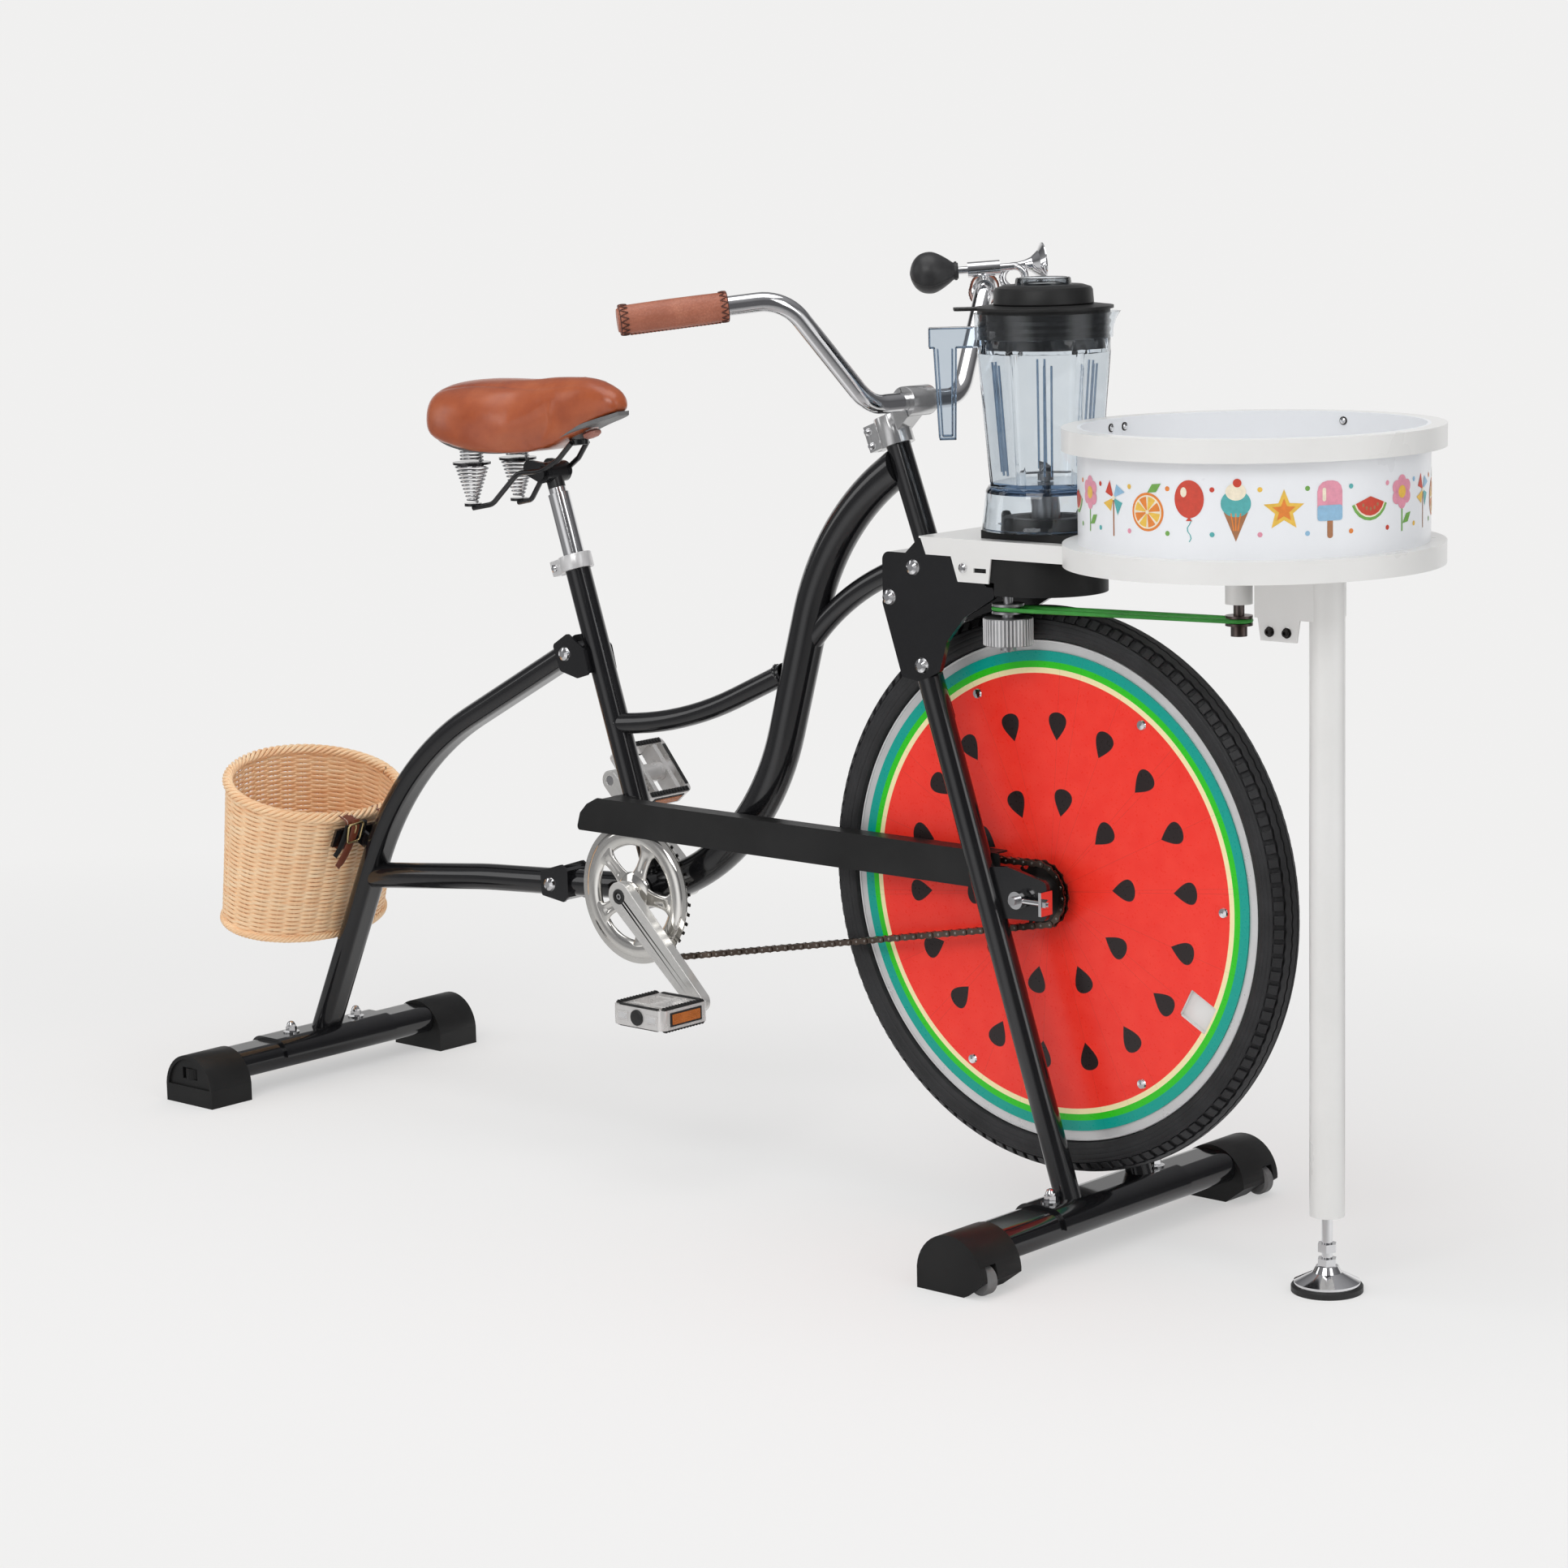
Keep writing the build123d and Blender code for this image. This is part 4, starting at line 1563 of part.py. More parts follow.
with BuildPart() as fasteners:
    for side in (1, -1):
        add_acorn(rear_foot_x, side * rear_nut)
        add_acorn(front_foot_x, side * front_nut)
        for spot in plate_spots:
            add_bolt(spot + left * (side * (plate_outer + fixed_gap)), left * side, plate_bolt, 13, 9, 5)
        add_hex(axle + left * (side * (dropout_outer + fixed_gap)), left * side, 17, 7)
        dropout_inner = dropout_outer - dropout_thickness - fixed_gap
        add_rod(axle + left * (side * (hub_half + 0.4)), axle + left * (side * dropout_inner), 9)
        eye = axle + left * (side * (dropout_outer + 7.5))
        add_rod(eye - left * (side * 1), eye + left * (side * 5), 10)
        add_rod(eye + left * (side * 2), eye + left * (side * 2) + ahead * 47, 3)
        with Locations(eye + left * (side * -2) + ahead * 37.5):
            Box(4, 20, 27)
        add_hex(eye + left * (side * 2) + ahead * 39, ahead, 10, 6)
        seat = Vector(axle_x - 74, side * (table_half + fixed_gap), arm_low - 12)
        add_bolt(seat, left * side, 3, table_sheet, 6, 3.5)
        turn = Vector(front_foot_x + roller_tyre_forward,
                      side * (front_foot_length / 2 - roller_tyre_inset), roller_axis_z)
        add_rod(turn - left * (side * 14.5), turn + left * (side * 15.5), stud_radius)
    add_rod(axle - left * 84, axle + left * 84, axle_radius + fixed_gap, mode=Mode.SUBTRACT)
    for spot, half in ((upper_bolt, stay_width / 2 + 0.15 + lug_plate), (lower_bolt, rail_radius + 0.15 + lug_plate)):
        add_bolt(spot - left * (half + fixed_gap), left * -1, lug_bolt, 2 * half, 9, 5)
        add_hex(spot + left * (half + fixed_gap), left, 13, 7)
    add_rod(collar_bolt - left * 13, collar_bolt + left * 13, 3)
    add_bolt(collar_bolt - left * (12 + fixed_gap), left * -1, 3, 5, 5.5, 4)
    for spot in pinch_spots:
        add_bolt(spot - left * (12 + fixed_gap), left * -1, 2.5, 23, 5, 4)
fasteners.part.label = "fasteners"

nodes = [foot_tubes, foot_caps, leveller_right, leveller_left, transport_rollers, rear_stay, stay_lugs, main_frame,
         seat_tube, seat_collar, seatpost, saddle_rails, saddle_springs, saddle_pan, saddle_cushion, stem, handlebar,
         grips, horn, horn_bulb, fork_crown, bracket_plates, fork_legs, wheel_axle, rim, tyre, hub_spokes, wheel_discs,
         disc_screws, sprocket, crank_axles, cranks, chainring, chainring_guard, pedal_right, pedal_left, chain,
         chain_guard, drive_housing, table_arm, shaft_bearings, friction_roller, drive_coupler, transfer_belt,
         round_belt, jug_dock, jug, blades, lid, filler_cap, drum_wall, drum_hoops, drum_floor, spinner, support_post,
         levelling_foot, foot_pad_rubber, basket, basket_straps, fasteners]
for node in nodes:
    export_step(node.part, "parts/" + node.part.label + ".step")
print("parts", len(nodes))
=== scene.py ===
"""Looks of the pedal-driven blender bicycle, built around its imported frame.

Metres, in the frame's own axes: X forward to the drum, Y to the rider's left, Z up, floor at Z = 0.
Places written in millimetres are measured from the wheel axle: forward, left and above. Angles are in degrees.
"""

import json
import math

import bmesh
import bpy
from mathutils import Matrix, Vector, noise


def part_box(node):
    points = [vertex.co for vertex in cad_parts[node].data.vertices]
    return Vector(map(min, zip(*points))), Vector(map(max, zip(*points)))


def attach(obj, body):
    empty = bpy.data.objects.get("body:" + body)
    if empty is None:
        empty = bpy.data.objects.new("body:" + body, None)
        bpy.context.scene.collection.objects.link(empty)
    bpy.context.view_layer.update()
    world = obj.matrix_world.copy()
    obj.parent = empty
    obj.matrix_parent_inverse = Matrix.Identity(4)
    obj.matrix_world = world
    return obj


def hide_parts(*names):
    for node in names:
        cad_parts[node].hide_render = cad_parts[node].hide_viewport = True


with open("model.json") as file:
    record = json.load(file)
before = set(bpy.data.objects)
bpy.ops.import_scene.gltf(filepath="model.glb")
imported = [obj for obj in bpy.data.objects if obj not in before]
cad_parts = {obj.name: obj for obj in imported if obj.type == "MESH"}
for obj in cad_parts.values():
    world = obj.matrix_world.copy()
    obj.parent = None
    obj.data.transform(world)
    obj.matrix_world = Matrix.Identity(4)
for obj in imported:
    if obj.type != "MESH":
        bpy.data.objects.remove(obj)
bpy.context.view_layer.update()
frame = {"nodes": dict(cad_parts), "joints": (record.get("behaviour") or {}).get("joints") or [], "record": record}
nodes = frame["nodes"]
scene = bpy.context.scene

MM = 0.001
AHEAD, LEFT, UP = Vector((1, 0, 0)), Vector((0, 1, 0)), Vector((0, 0, 1))
SEAT_ANGLE = 107.9


def cos(degrees):
    return math.cos(math.radians(degrees))


def sin(degrees):
    return math.sin(math.radians(degrees))


def along(degrees):
    """Direction in the upright plane along the bicycle, measured up from forward."""
    return Vector((cos(degrees), 0, sin(degrees)))


def around(degrees):
    """Level direction, measured from forward towards the left."""
    return Vector((cos(degrees), sin(degrees), 0))


def spaced(count):
    """Angles that divide a full turn evenly."""
    return [360 * step / count for step in range(count)]


def polar(radius, degrees):
    """Point of a flat drawing by its distance from the middle and its angle."""
    return Vector((radius * cos(degrees), radius * sin(degrees)))


def local(origin, *ways):
    """Function that gives the point so many millimetres along each direction from an origin."""
    return lambda *steps: origin + sum((way * step for way, step in zip(ways, steps)), Vector()) * MM


def paint(*levels):
    """Linear colour of a screen colour given from 0 to 255."""
    shares = [level / 255 for level in levels]
    return tuple(share / 12.92 if share <= 0.04045 else ((share + 0.055) / 1.055) ** 2.4 for share in shares)


joints = {joint["name"]: joint for joint in frame["joints"]}
axle = Vector(joints["wheel_spin"]["pos_m"])
bracket = Vector(joints["crank_spin"]["pos_m"])
seat_way = along(SEAT_ANGLE)
seat_top = max((vertex.co for vertex in nodes["seatpost"].data.vertices), key=seat_way.dot).copy()
at = local(axle, AHEAD, LEFT, UP)
ground = local(Vector((axle.x, 0, 0)), AHEAD, LEFT, UP)

# Camera
PHOTO_PIXELS = 1932
FOCAL_PIXELS = 4881.35
SENSOR_WIDTH = 36.0
CAMERA_AZIMUTH = 42.374
CAMERA_DROP = 9.626
CAMERA_ROLL = -1.321
CAMERA_FROM_AXLE = (2732.4, -3451.3, 872.95)


def add_camera():
    """Camera at the photograph's viewpoint."""
    right = around(CAMERA_AZIMUTH)
    view = UP.cross(right) * cos(CAMERA_DROP) - UP * sin(CAMERA_DROP)
    top = right.cross(view)
    across = right * cos(CAMERA_ROLL) + top * sin(CAMERA_ROLL)
    upward = top * cos(CAMERA_ROLL) - right * sin(CAMERA_ROLL)
    lens = bpy.data.cameras.new("camera")
    lens.sensor_width = SENSOR_WIDTH
    lens.lens = FOCAL_PIXELS * SENSOR_WIDTH / PHOTO_PIXELS
    lens.clip_end = 60
    camera = bpy.data.objects.new("camera", lens)
    scene.collection.objects.link(camera)
    turn = Matrix((across, upward, -view)).transposed().to_4x4()
    camera.matrix_world = Matrix.Translation(at(*CAMERA_FROM_AXLE)) @ turn
    scene.camera = camera


# Materials
class Shader:
    """One node material, or a world's nodes, under construction."""

    def __init__(self, name, world=None):
        self.material = world or bpy.data.materials.new(name)
        self.material.use_nodes = True
        self.tree = self.material.node_tree
        self.surface = self.tree.nodes["Background" if world else "Principled BSDF"]
        self.place = self.node("TexCoord").outputs["Generated" if world else "Object"]

    def node(self, kind, values=(), **settings):
        """New node; the values go to its first inputs, in their order."""
        made = self.tree.nodes.new("ShaderNode" + kind)
        for name, value in settings.items():
            setattr(made, name, value)
        for socket, value in zip(made.inputs, values):
            self.feed(socket, value)
        return made

    def feed(self, socket, value):
        """Links a socket to another node's output, or sets it to a plain value."""
        if isinstance(value, bpy.types.NodeSocket):
            self.tree.links.new(value, socket)
        elif isinstance(value, tuple) and len(value) == 3 and socket.type == "RGBA":
            socket.default_value = (*value, 1)
        else:
            socket.default_value = value

    def set(self, **values):
        """Sets the surface's sockets; an underscore in a name stands for a space."""
        for name, value in values.items():
            self.feed(self.surface.inputs[name.replace("_", " ")], value)

    def math(self, kind, first, second=0.0):
        return self.node("Math", (first, second), operation=kind).outputs[0]

    def times(self, first, second):
        return self.math("MULTIPLY", first, second)

    def less(self, first, second):
        return self.math("SUBTRACT", first, second)

    def length(self, first, second):
        return self.math("SQRT", self.math("ADD", self.times(first, first), self.times(second, second)))

    def noise(self, scale, detail=2.0, rough=0.5, stretch=None):
        made = self.node("TexNoise")
        where = self.place
        if stretch:
            where = self.node("Mapping", (where, (0, 0, 0), (0, 0, 0), stretch)).outputs[0]
        for name, value in (("Scale", scale), ("Detail", detail), ("Roughness", rough), ("Vector", where)):
            self.feed(made.inputs[name], value)
        return made.outputs["Fac"]

    def moved(self, spot):
        """Coordinates measured from a point of the frame."""
        return self.node("VectorMath", (self.place, spot), operation="SUBTRACT").outputs[0]

    def parts(self, where):
        return self.node("SeparateXYZ", (where,)).outputs

    def ramp(self, value, *stops, smooth="LINEAR"):
        """Colours by value; each stop is (position, colour)."""
        made = self.node("ValToRGB", (value,))
        made.color_ramp.interpolation = smooth
        elements = made.color_ramp.elements
        while len(elements) < len(stops):
            elements.new(1)
        for element, (position, colour) in zip(elements, stops):
            element.position = position
            element.color = (*colour, 1)
        return made.outputs["Color"]

    def mix(self, share, first, second):
        made = self.node("Mix", data_type="RGBA")
        for socket, value in ((0, share), (6, first), (7, second)):
            self.feed(made.inputs[socket], value)
        return made.outputs[2]

    def span(self, value, low, high, new_low=0.0, new_high=1.0):
        return self.node("MapRange", (value, low, high, new_low, new_high)).outputs[0]

    def bump(self, height, depth, strength=1.0):
        """Relief of the given depth in metres; several calls add up."""
        made = self.node("Bump")
        normal = self.surface.inputs["Normal"]
        for name, value in (("Height", height), ("Distance", depth), ("Strength", strength)):
            self.feed(made.inputs[name], value)
        if normal.is_linked:
            self.feed(made.inputs["Normal"], normal.links[0].from_socket)
        self.feed(normal, made.outputs[0])

    def show(self, output, share, kind, colour):
        """Mixes the surface with plain light of a colour, by share."""
        glow = self.node(kind, (colour,))
        blend = self.node("MixShader", (share, self.surface.outputs[0], glow.outputs[0]))
        self.feed(self.tree.nodes[output].inputs["Surface"], blend.outputs[0])


def mottled(name, pattern, low, high, top, sheen, grain=None, **more):
    """Surface of two shades in a cloudy pattern; its roughness follows that pattern, or a finer grain."""
    shader = Shader(name)
    cloud = shader.noise(*pattern)
    fine = shader.noise(*grain) if grain else cloud
    shader.set(Base_Color=shader.ramp(cloud, (0.3, low), (top, high)),
               Roughness=shader.span(fine, 0.3, 0.7, *sheen), **more)
    return shader


def gloss_black(name):
    return mottled(name, (9, 4, 0.6), (0.006, 0.006, 0.007), (0.010, 0.010, 0.011), 0.75, (0.12, 0.17),
                   Coat_Weight=0.4, Coat_Roughness=0.08)


def matt_black(name, level, smooth):
    grain = (1800, 2, 0.6)
    shader = mottled(name, (14, 3), (0.011 * level,) * 3, (0.018 * level,) * 3, 0.75, (smooth, smooth + 0.14), grain,
                     Specular_IOR_Level=0.3)
    shader.bump(shader.noise(*grain), 0.00006)
    return shader


def white_paint(name, low, high):
    shader = mottled(name, (7, 4, 0.6), low, high, 0.7, (0.26, 0.36), Coat_Weight=0.2, Coat_Roughness=0.12)
    shader.bump(shader.noise(520, 2), 0.00005)
    return shader


def metal(name, low, high, smooth, rough, metallic=1.0):
    """Metal between two colours; a lower metallic share makes it a pale satin one."""
    return mottled(name, (26, 4, 0.65), low, high, 0.72, (smooth, rough), Metallic=metallic)


def leather(name, deep, middle, light, crease=420, depth=0.35, mottle=0.45, shine=0.36, polish=0.0):
    """Grained hide with darker creases and a slight shine; the grain's depth in millimetres."""
    shader = Shader(name)
    cells = shader.node("TexVoronoi", (shader.place,))
    shader.feed(cells.inputs["Scale"], crease)
    pebble = cells.outputs["Distance"]
    shade = shader.ramp(shader.noise(22, 5, 0.6), (0.25, deep), (0.52, middle), (0.8, light))
    shader.set(Base_Color=shader.mix(shader.span(pebble, 0.1, 0.75, 0.0, mottle), shade, deep),
               Roughness=shader.span(shader.noise(160, 3), 0.3, 0.7, shine, shine + 0.12), Coat_Weight=polish,
               Coat_Roughness=0.27)
    shader.bump(pebble, depth * MM, 0.8)
    shader.bump(shader.noise(70, 3), depth * MM * 0.8)
    return shader


def rubber(name, low, high, rough):
    shader = mottled(name, (30, 4, 0.6), low, high, 0.72, (rough - 0.08, rough + 0.08), (700, 2))
    shader.bump(shader.noise(900, 2), 0.00015)
    return shader


def clear_plastic(name, density):
    """Clear plastic with a blue-grey cast that deepens with the length looked through."""
    shader = mottled(name, (40, 3), (0.90, 0.93, 0.95), (0.93, 0.955, 0.97), 0.7, (0.0, 0.03),
                     Transmission_Weight=1.0, IOR=1.49)
    depth = shader.node("VolumeAbsorption", ((0.40, 0.53, 0.66), density))
    shader.feed(shader.tree.nodes["Material Output"].inputs["Volume"], depth.outputs[0])
    return shader


def layered(name, origin, axis, limit, below, above, shine):
    """Metal below a line across an axis, dark paint above it; the limit in metres along the axis."""
    shader = Shader(name)
    height = shader.node("VectorMath", (shader.moved(origin), axis), operation="DOT_PRODUCT").outputs["Value"]
    share = shader.span(height, limit - 0.0002, limit + 0.0002)
    tint = shader.mix(shader.span(shader.noise(30, 3), 0.3, 0.7, 0.0, 0.25), below, (0.7, 0.7, 0.71))
    shader.set(Base_Color=shader.mix(share, tint, above), Metallic=shader.less(1.0, share),
               Roughness=shader.span(share, 0, 1, shine, 0.3))
    return shader


def ink(name, *levels):
    """Printed colour with a slight mottle."""
    deep = paint(*[level * 0.93 for level in levels])
    return mottled(name, (180, 3, 0.6), deep, paint(*levels), 0.7, (0.34, 0.44), Coat_Weight=0.15, Coat_Roughness=0.2)


def wicker(name):
    """Split cane: fine fibres along each weaver and rods of slightly different shade."""
    shader = Shader(name)
    fibre = shader.noise(900, 3, 0.6, (0.25, 0.25, 1.6))
    cloud = shader.noise(16, 3, 0.6)
    rods = shader.noise(70, 2, 0.5, (0.35, 0.35, 2.2))
    shade = shader.ramp(rods, (0.25, paint(246, 194, 146)), (0.5, paint(253, 211, 166)), (0.75, paint(255, 226, 188)))
    shade = shader.mix(shader.span(fibre, 0.35, 0.7, 0.0, 0.3), shade, paint(255, 234, 198))
    shade = shader.mix(shader.span(cloud, 0.3, 0.75, 0.0, 0.12), shade, paint(228, 172, 120))
    shader.set(Base_Color=shade, Roughness=shader.span(fibre, 0.3, 0.7, 0.42, 0.6))
    shader.bump(fibre, 0.0002)
    return shader


DISC_RADIUS = 274
FLESH_RADIUS = 248.5
MELON_BANDS = ((0.0, (245, 62, 48)), (0.9050, (253, 238, 184)), (0.9288, (48, 204, 30)), (0.9555, (0, 164, 148)))
SEED_CIRCLES = ((18, 6.0, 190.0), (10, 7.3, 105.0))
SEED_HALF = 16
SEED_SWELL = 25.0


def disc_print(name):
    """Melon slice print: rings by radius and two circles of seeds."""
    shader = Shader(name)
    forward, _, above = shader.parts(shader.moved(axle))
    radius = shader.times(shader.length(forward, above), 1000)
    turn = shader.math("ARCTAN2", above, forward)
    flesh = shader.ramp(shader.noise(46, 4, 0.6), (0.3, paint(250, 50, 37)), (0.72, paint(255, 62, 47)))
    bands = shader.ramp(shader.math("DIVIDE", radius, DISC_RADIUS),
                        *[(share, paint(*levels)) for share, levels in MELON_BANDS], smooth="CONSTANT")
    colour = shader.mix(shader.span(radius, FLESH_RADIUS - 0.2, FLESH_RADIUS + 0.2, 1.0, 0.0), bands, flesh)
    for count, first, circle in SEED_CIRCLES:
        step = 2 * math.pi / count
        shifted = shader.math("ADD", turn, step / 2 - math.radians(first))
        near = shader.less(shader.math("FLOORED_MODULO", shifted, step), step / 2)
        across = shader.math("ABSOLUTE", shader.times(radius, shader.math("SINE", near)))
        outward = shader.less(shader.times(radius, shader.math("COSINE", near)), circle)
        share = shader.span(outward, -SEED_HALF, SEED_HALF)
        swell = shader.math("SQRT", shader.less(1.0, shader.times(share, share)))
        half = shader.times(shader.times(share, swell), SEED_SWELL)
        colour = shader.mix(shader.span(shader.less(half, across), -0.25, 0.35), colour, paint(38, 28, 28))
    shader.set(Base_Color=colour, Roughness=shader.span(shader.noise(300, 2), 0.3, 0.7, 0.26, 0.36),
               Coat_Weight=0.1, Coat_Roughness=0.12, Specular_IOR_Level=0.35)
    return shader


def make_finishes():
    """The finish of every material slot of the record, and of the scene's own small parts."""
    table = {
        gloss_black: [("gloss_black",)],
        matt_black: [("matt_black", 1.0, 0.40), ("guard_black", 1.1, 0.34), ("black_lid", 1.3, 0.36)],
        white_paint: [("white_paint", (0.79, 0.785, 0.765), (0.83, 0.825, 0.81)),
                      ("drum_white", (0.86, 0.875, 0.90), (0.88, 0.895, 0.92))],
        metal: [("chrome", (0.79, 0.79, 0.80), (0.86, 0.86, 0.87), 0.05, 0.09),
                ("polished", (0.82, 0.80, 0.76), (0.90, 0.885, 0.845), 0.05, 0.09, 0.94),
                ("crank_alloy", (0.68, 0.67, 0.645), (0.77, 0.76, 0.74), 0.2, 0.28, 0.5),
                ("cast", (0.58, 0.58, 0.58), (0.70, 0.70, 0.70), 0.13, 0.2, 0.8),
                ("steel", (0.42, 0.42, 0.43), (0.55, 0.55, 0.56), 0.28, 0.42),
                ("spring_wire", (0.60, 0.60, 0.61), (0.80, 0.80, 0.81), 0.08, 0.16),
                ("dark_steel", (0.05, 0.048, 0.045), (0.11, 0.10, 0.095), 0.32, 0.5),
                ("chain_plates", (0.10, 0.075, 0.06), (0.20, 0.155, 0.13), 0.3, 0.46),
                ("chain_pins", (0.30, 0.27, 0.24), (0.46, 0.43, 0.40), 0.25, 0.4),
                ("brass", (0.62, 0.46, 0.20), (0.80, 0.64, 0.34), 0.14, 0.28),
                ("alloy", (0.60, 0.60, 0.61), (0.72, 0.72, 0.73), 0.22, 0.34),
                ("satin_silver", (0.70, 0.695, 0.695), (0.78, 0.775, 0.775), 0.26, 0.36, 0.4),
                ("pedal_silver", (0.70, 0.685, 0.67), (0.80, 0.785, 0.77), 0.22, 0.32, 0.4)],
        layered: [("post", seat_top, seat_way, -0.034, (0.82, 0.82, 0.83), (0.012, 0.012, 0.013), 0.11),
                  ("pulley", (0, 0, 0), (0, 0, 1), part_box("drum_floor")[1].z, (0.10, 0.062, 0.05),
                   (0.5, 0.5, 0.51), 0.3)],
        rubber: [("tyre_rubber", (0.015, 0.015, 0.016), (0.026, 0.026, 0.028), 0.56),
                 ("black_rubber", (0.012, 0.012, 0.012), (0.022, 0.022, 0.022), 0.5),
                 ("bulb_rubber", (0.020, 0.020, 0.021), (0.034, 0.034, 0.035), 0.42),
                 ("green_belt", paint(42, 132, 44), paint(62, 160, 62), 0.36),
                 ("tab_pink", paint(160, 104, 92), paint(186, 130, 116), 0.5),
                 ("dark_lace", paint(70, 38, 30), paint(104, 60, 46), 0.6),
                 ("pale_thread", paint(206, 190, 170), paint(236, 224, 206), 0.7),
                 ("amber", paint(168, 88, 28), paint(200, 116, 48), 0.22),
                 ("grey_plastic", (0.12, 0.12, 0.12), (0.19, 0.19, 0.19), 0.48)],
        leather: [("brown_leather", paint(148, 64, 28), paint(168, 80, 38), paint(184, 96, 52),
                   700, 0.02, 0.04, 0.3, 0.6),
                  ("strap_leather", paint(92, 44, 28), paint(118, 60, 40), paint(138, 74, 50), 800, 0.12, 0.3),
                  ("tan_leather", paint(148, 84, 62), paint(176, 108, 84), paint(198, 134, 106))],
        # clear_edge is painted shade: plastic dense enough to draw the jug's edge lines and ribs in the dark blue that
        # clear walls show edge-on
        clear_plastic: [("clear_jug", 29), ("clear_edge", 900)],
        ink: [("orange_ink", 240, 140, 60), ("cream_ink", 252, 240, 215), ("red_ink", 214, 72, 52),
              ("yellow_ink", 246, 200, 84), ("green_ink", 122, 178, 84), ("turquoise_ink", 92, 182, 182),
              ("pink_ink", 238, 158, 178), ("sky_ink", 152, 196, 226), ("tan_ink", 178, 122, 84)],
        disc_print: [("printed_disc",)],
        wicker: [("wicker",)],
    }
    return {row[0]: maker(*row).material for maker, rows in table.items() for row in rows}


# Stage
BACKDROP = (0.875, 0.871, 0.866)
DIM_ROOM = (0.11, 0.11, 0.115)
SIDE_ROOM = (0.25, 0.25, 0.255)
PANEL = (0.85, 0.85, 0.86)
ROOM = ((-180, DIM_ROOM), (-156, SIDE_ROOM), (-120, SIDE_ROOM), (-101, PANEL), (-86, PANEL), (-64, DIM_ROOM),
        (-16, DIM_ROOM), (2, PANEL), (16, PANEL), (38, DIM_ROOM), (66, DIM_ROOM), (84, BACKDROP), (168, BACKDROP),
        (178, DIM_ROOM))
FLOOR_REACH = 40
FLOOR_OVAL = (1.25, 0.75)
FLOOR_FADE = (0.7, 2.2)
ROOM_LIGHT = (0.98, 0.985, 1.0)
ROOM_STRENGTH = 0.56
LAMP_TARGET = Vector((0, 0, 0.6))
LAMPS = (("top_box", (0.2, -0.3, 3.6), 3.2, 2.2, 34), ("front_box", (1.3, -3.4, 2.9), 2.2, 1.5, 42),
         ("left_box", (-3.1, -2.2, 2.0), 1.2, 2.4, 11), ("right_box", (3.5, -0.6, 2.2), 1.2, 2.4, 16))


def shown_background(shader, forward, left):
    """Share of rays that show the background, the share of those off polished surfaces, and the room's colour.

    Polished surfaces see the pale backdrop behind the object, and a dim room with two pale panels beside the camera.
    """
    path = shader.node("LightPath").outputs
    through = path["Is Transmission Ray"]
    bright = shader.math("MAXIMUM", path["Is Glossy Ray"], through)
    mirrored = shader.math("MINIMUM", bright, path["Glossy Depth"])
    seen = shader.math("MAXIMUM", path["Is Camera Ray"], through)
    turn = shader.span(shader.math("ARCTAN2", left, forward), -math.pi, math.pi)
    room = shader.ramp(turn, *[((degrees + 180) / 360, colour) for degrees, colour in ROOM])
    return shader.math("MAXIMUM", seen, mirrored), mirrored, room


def add_stage():
    """Pale floor that keeps the shadows near the object and runs out into the backdrop."""
    shader = Shader("stage_paper")
    shade = shader.ramp(shader.noise(0.5, 3), (0.3, (0.905, 0.90, 0.892)), (0.7, (0.92, 0.915, 0.908)))
    shader.set(Base_Color=shade, Roughness=0.95, Specular_IOR_Level=0.1)
    forward, left, _ = shader.parts(shader.place)
    reach = shader.length(*[shader.math("DIVIDE", way, half) for way, half in zip((forward, left), FLOOR_OVAL)])
    seen, mirrored, room = shown_background(shader, forward, left)
    share = shader.times(shader.span(reach, *FLOOR_FADE, 0.5, 1.0), seen)
    shader.show("Material Output", share, "Emission", shader.mix(mirrored, BACKDROP, room))
    mesh = bpy.data.meshes.new("studio_floor")
    corners = [(x * FLOOR_REACH, y * FLOOR_REACH, 0) for x, y in ((-1, -1), (1, -1), (1, 1), (-1, 1))]
    mesh.from_pydata(corners, [], [(0, 1, 2, 3)])
    mesh.materials.append(shader.material)
    floor = bpy.data.objects.new("studio_floor", mesh)
    scene.collection.objects.link(floor)


def add_lights():
    """Soft boxes over, before and beside the object, and a pale room around it."""
    world = bpy.data.worlds.new("room")
    shader = Shader("room", world)
    shader.set(Color=ROOM_LIGHT, Strength=ROOM_STRENGTH)
    forward, left, above = shader.parts(shader.place)
    seen, mirrored, room = shown_background(shader, forward, left)
    ceiling = shader.ramp(above, (0.3, (0.09, 0.09, 0.095)), (0.9, (0.34, 0.34, 0.35)))
    room = shader.mix(shader.span(above, 0.14, 0.4), room, ceiling)
    shader.show("World Output", seen, "Background", shader.mix(mirrored, BACKDROP, room))
    scene.world = world
    for name, place, width, height, watts in LAMPS:
        lamp = bpy.data.lights.new(name, "AREA")
        lamp.shape = "RECTANGLE"
        lamp.size, lamp.size_y, lamp.energy = width, height, watts
        holder = bpy.data.objects.new(name, lamp)
        scene.collection.objects.link(holder)
        holder.rotation_euler = (LAMP_TARGET - Vector(place)).to_track_quat("-Z", "Y").to_euler()
        holder.location = place


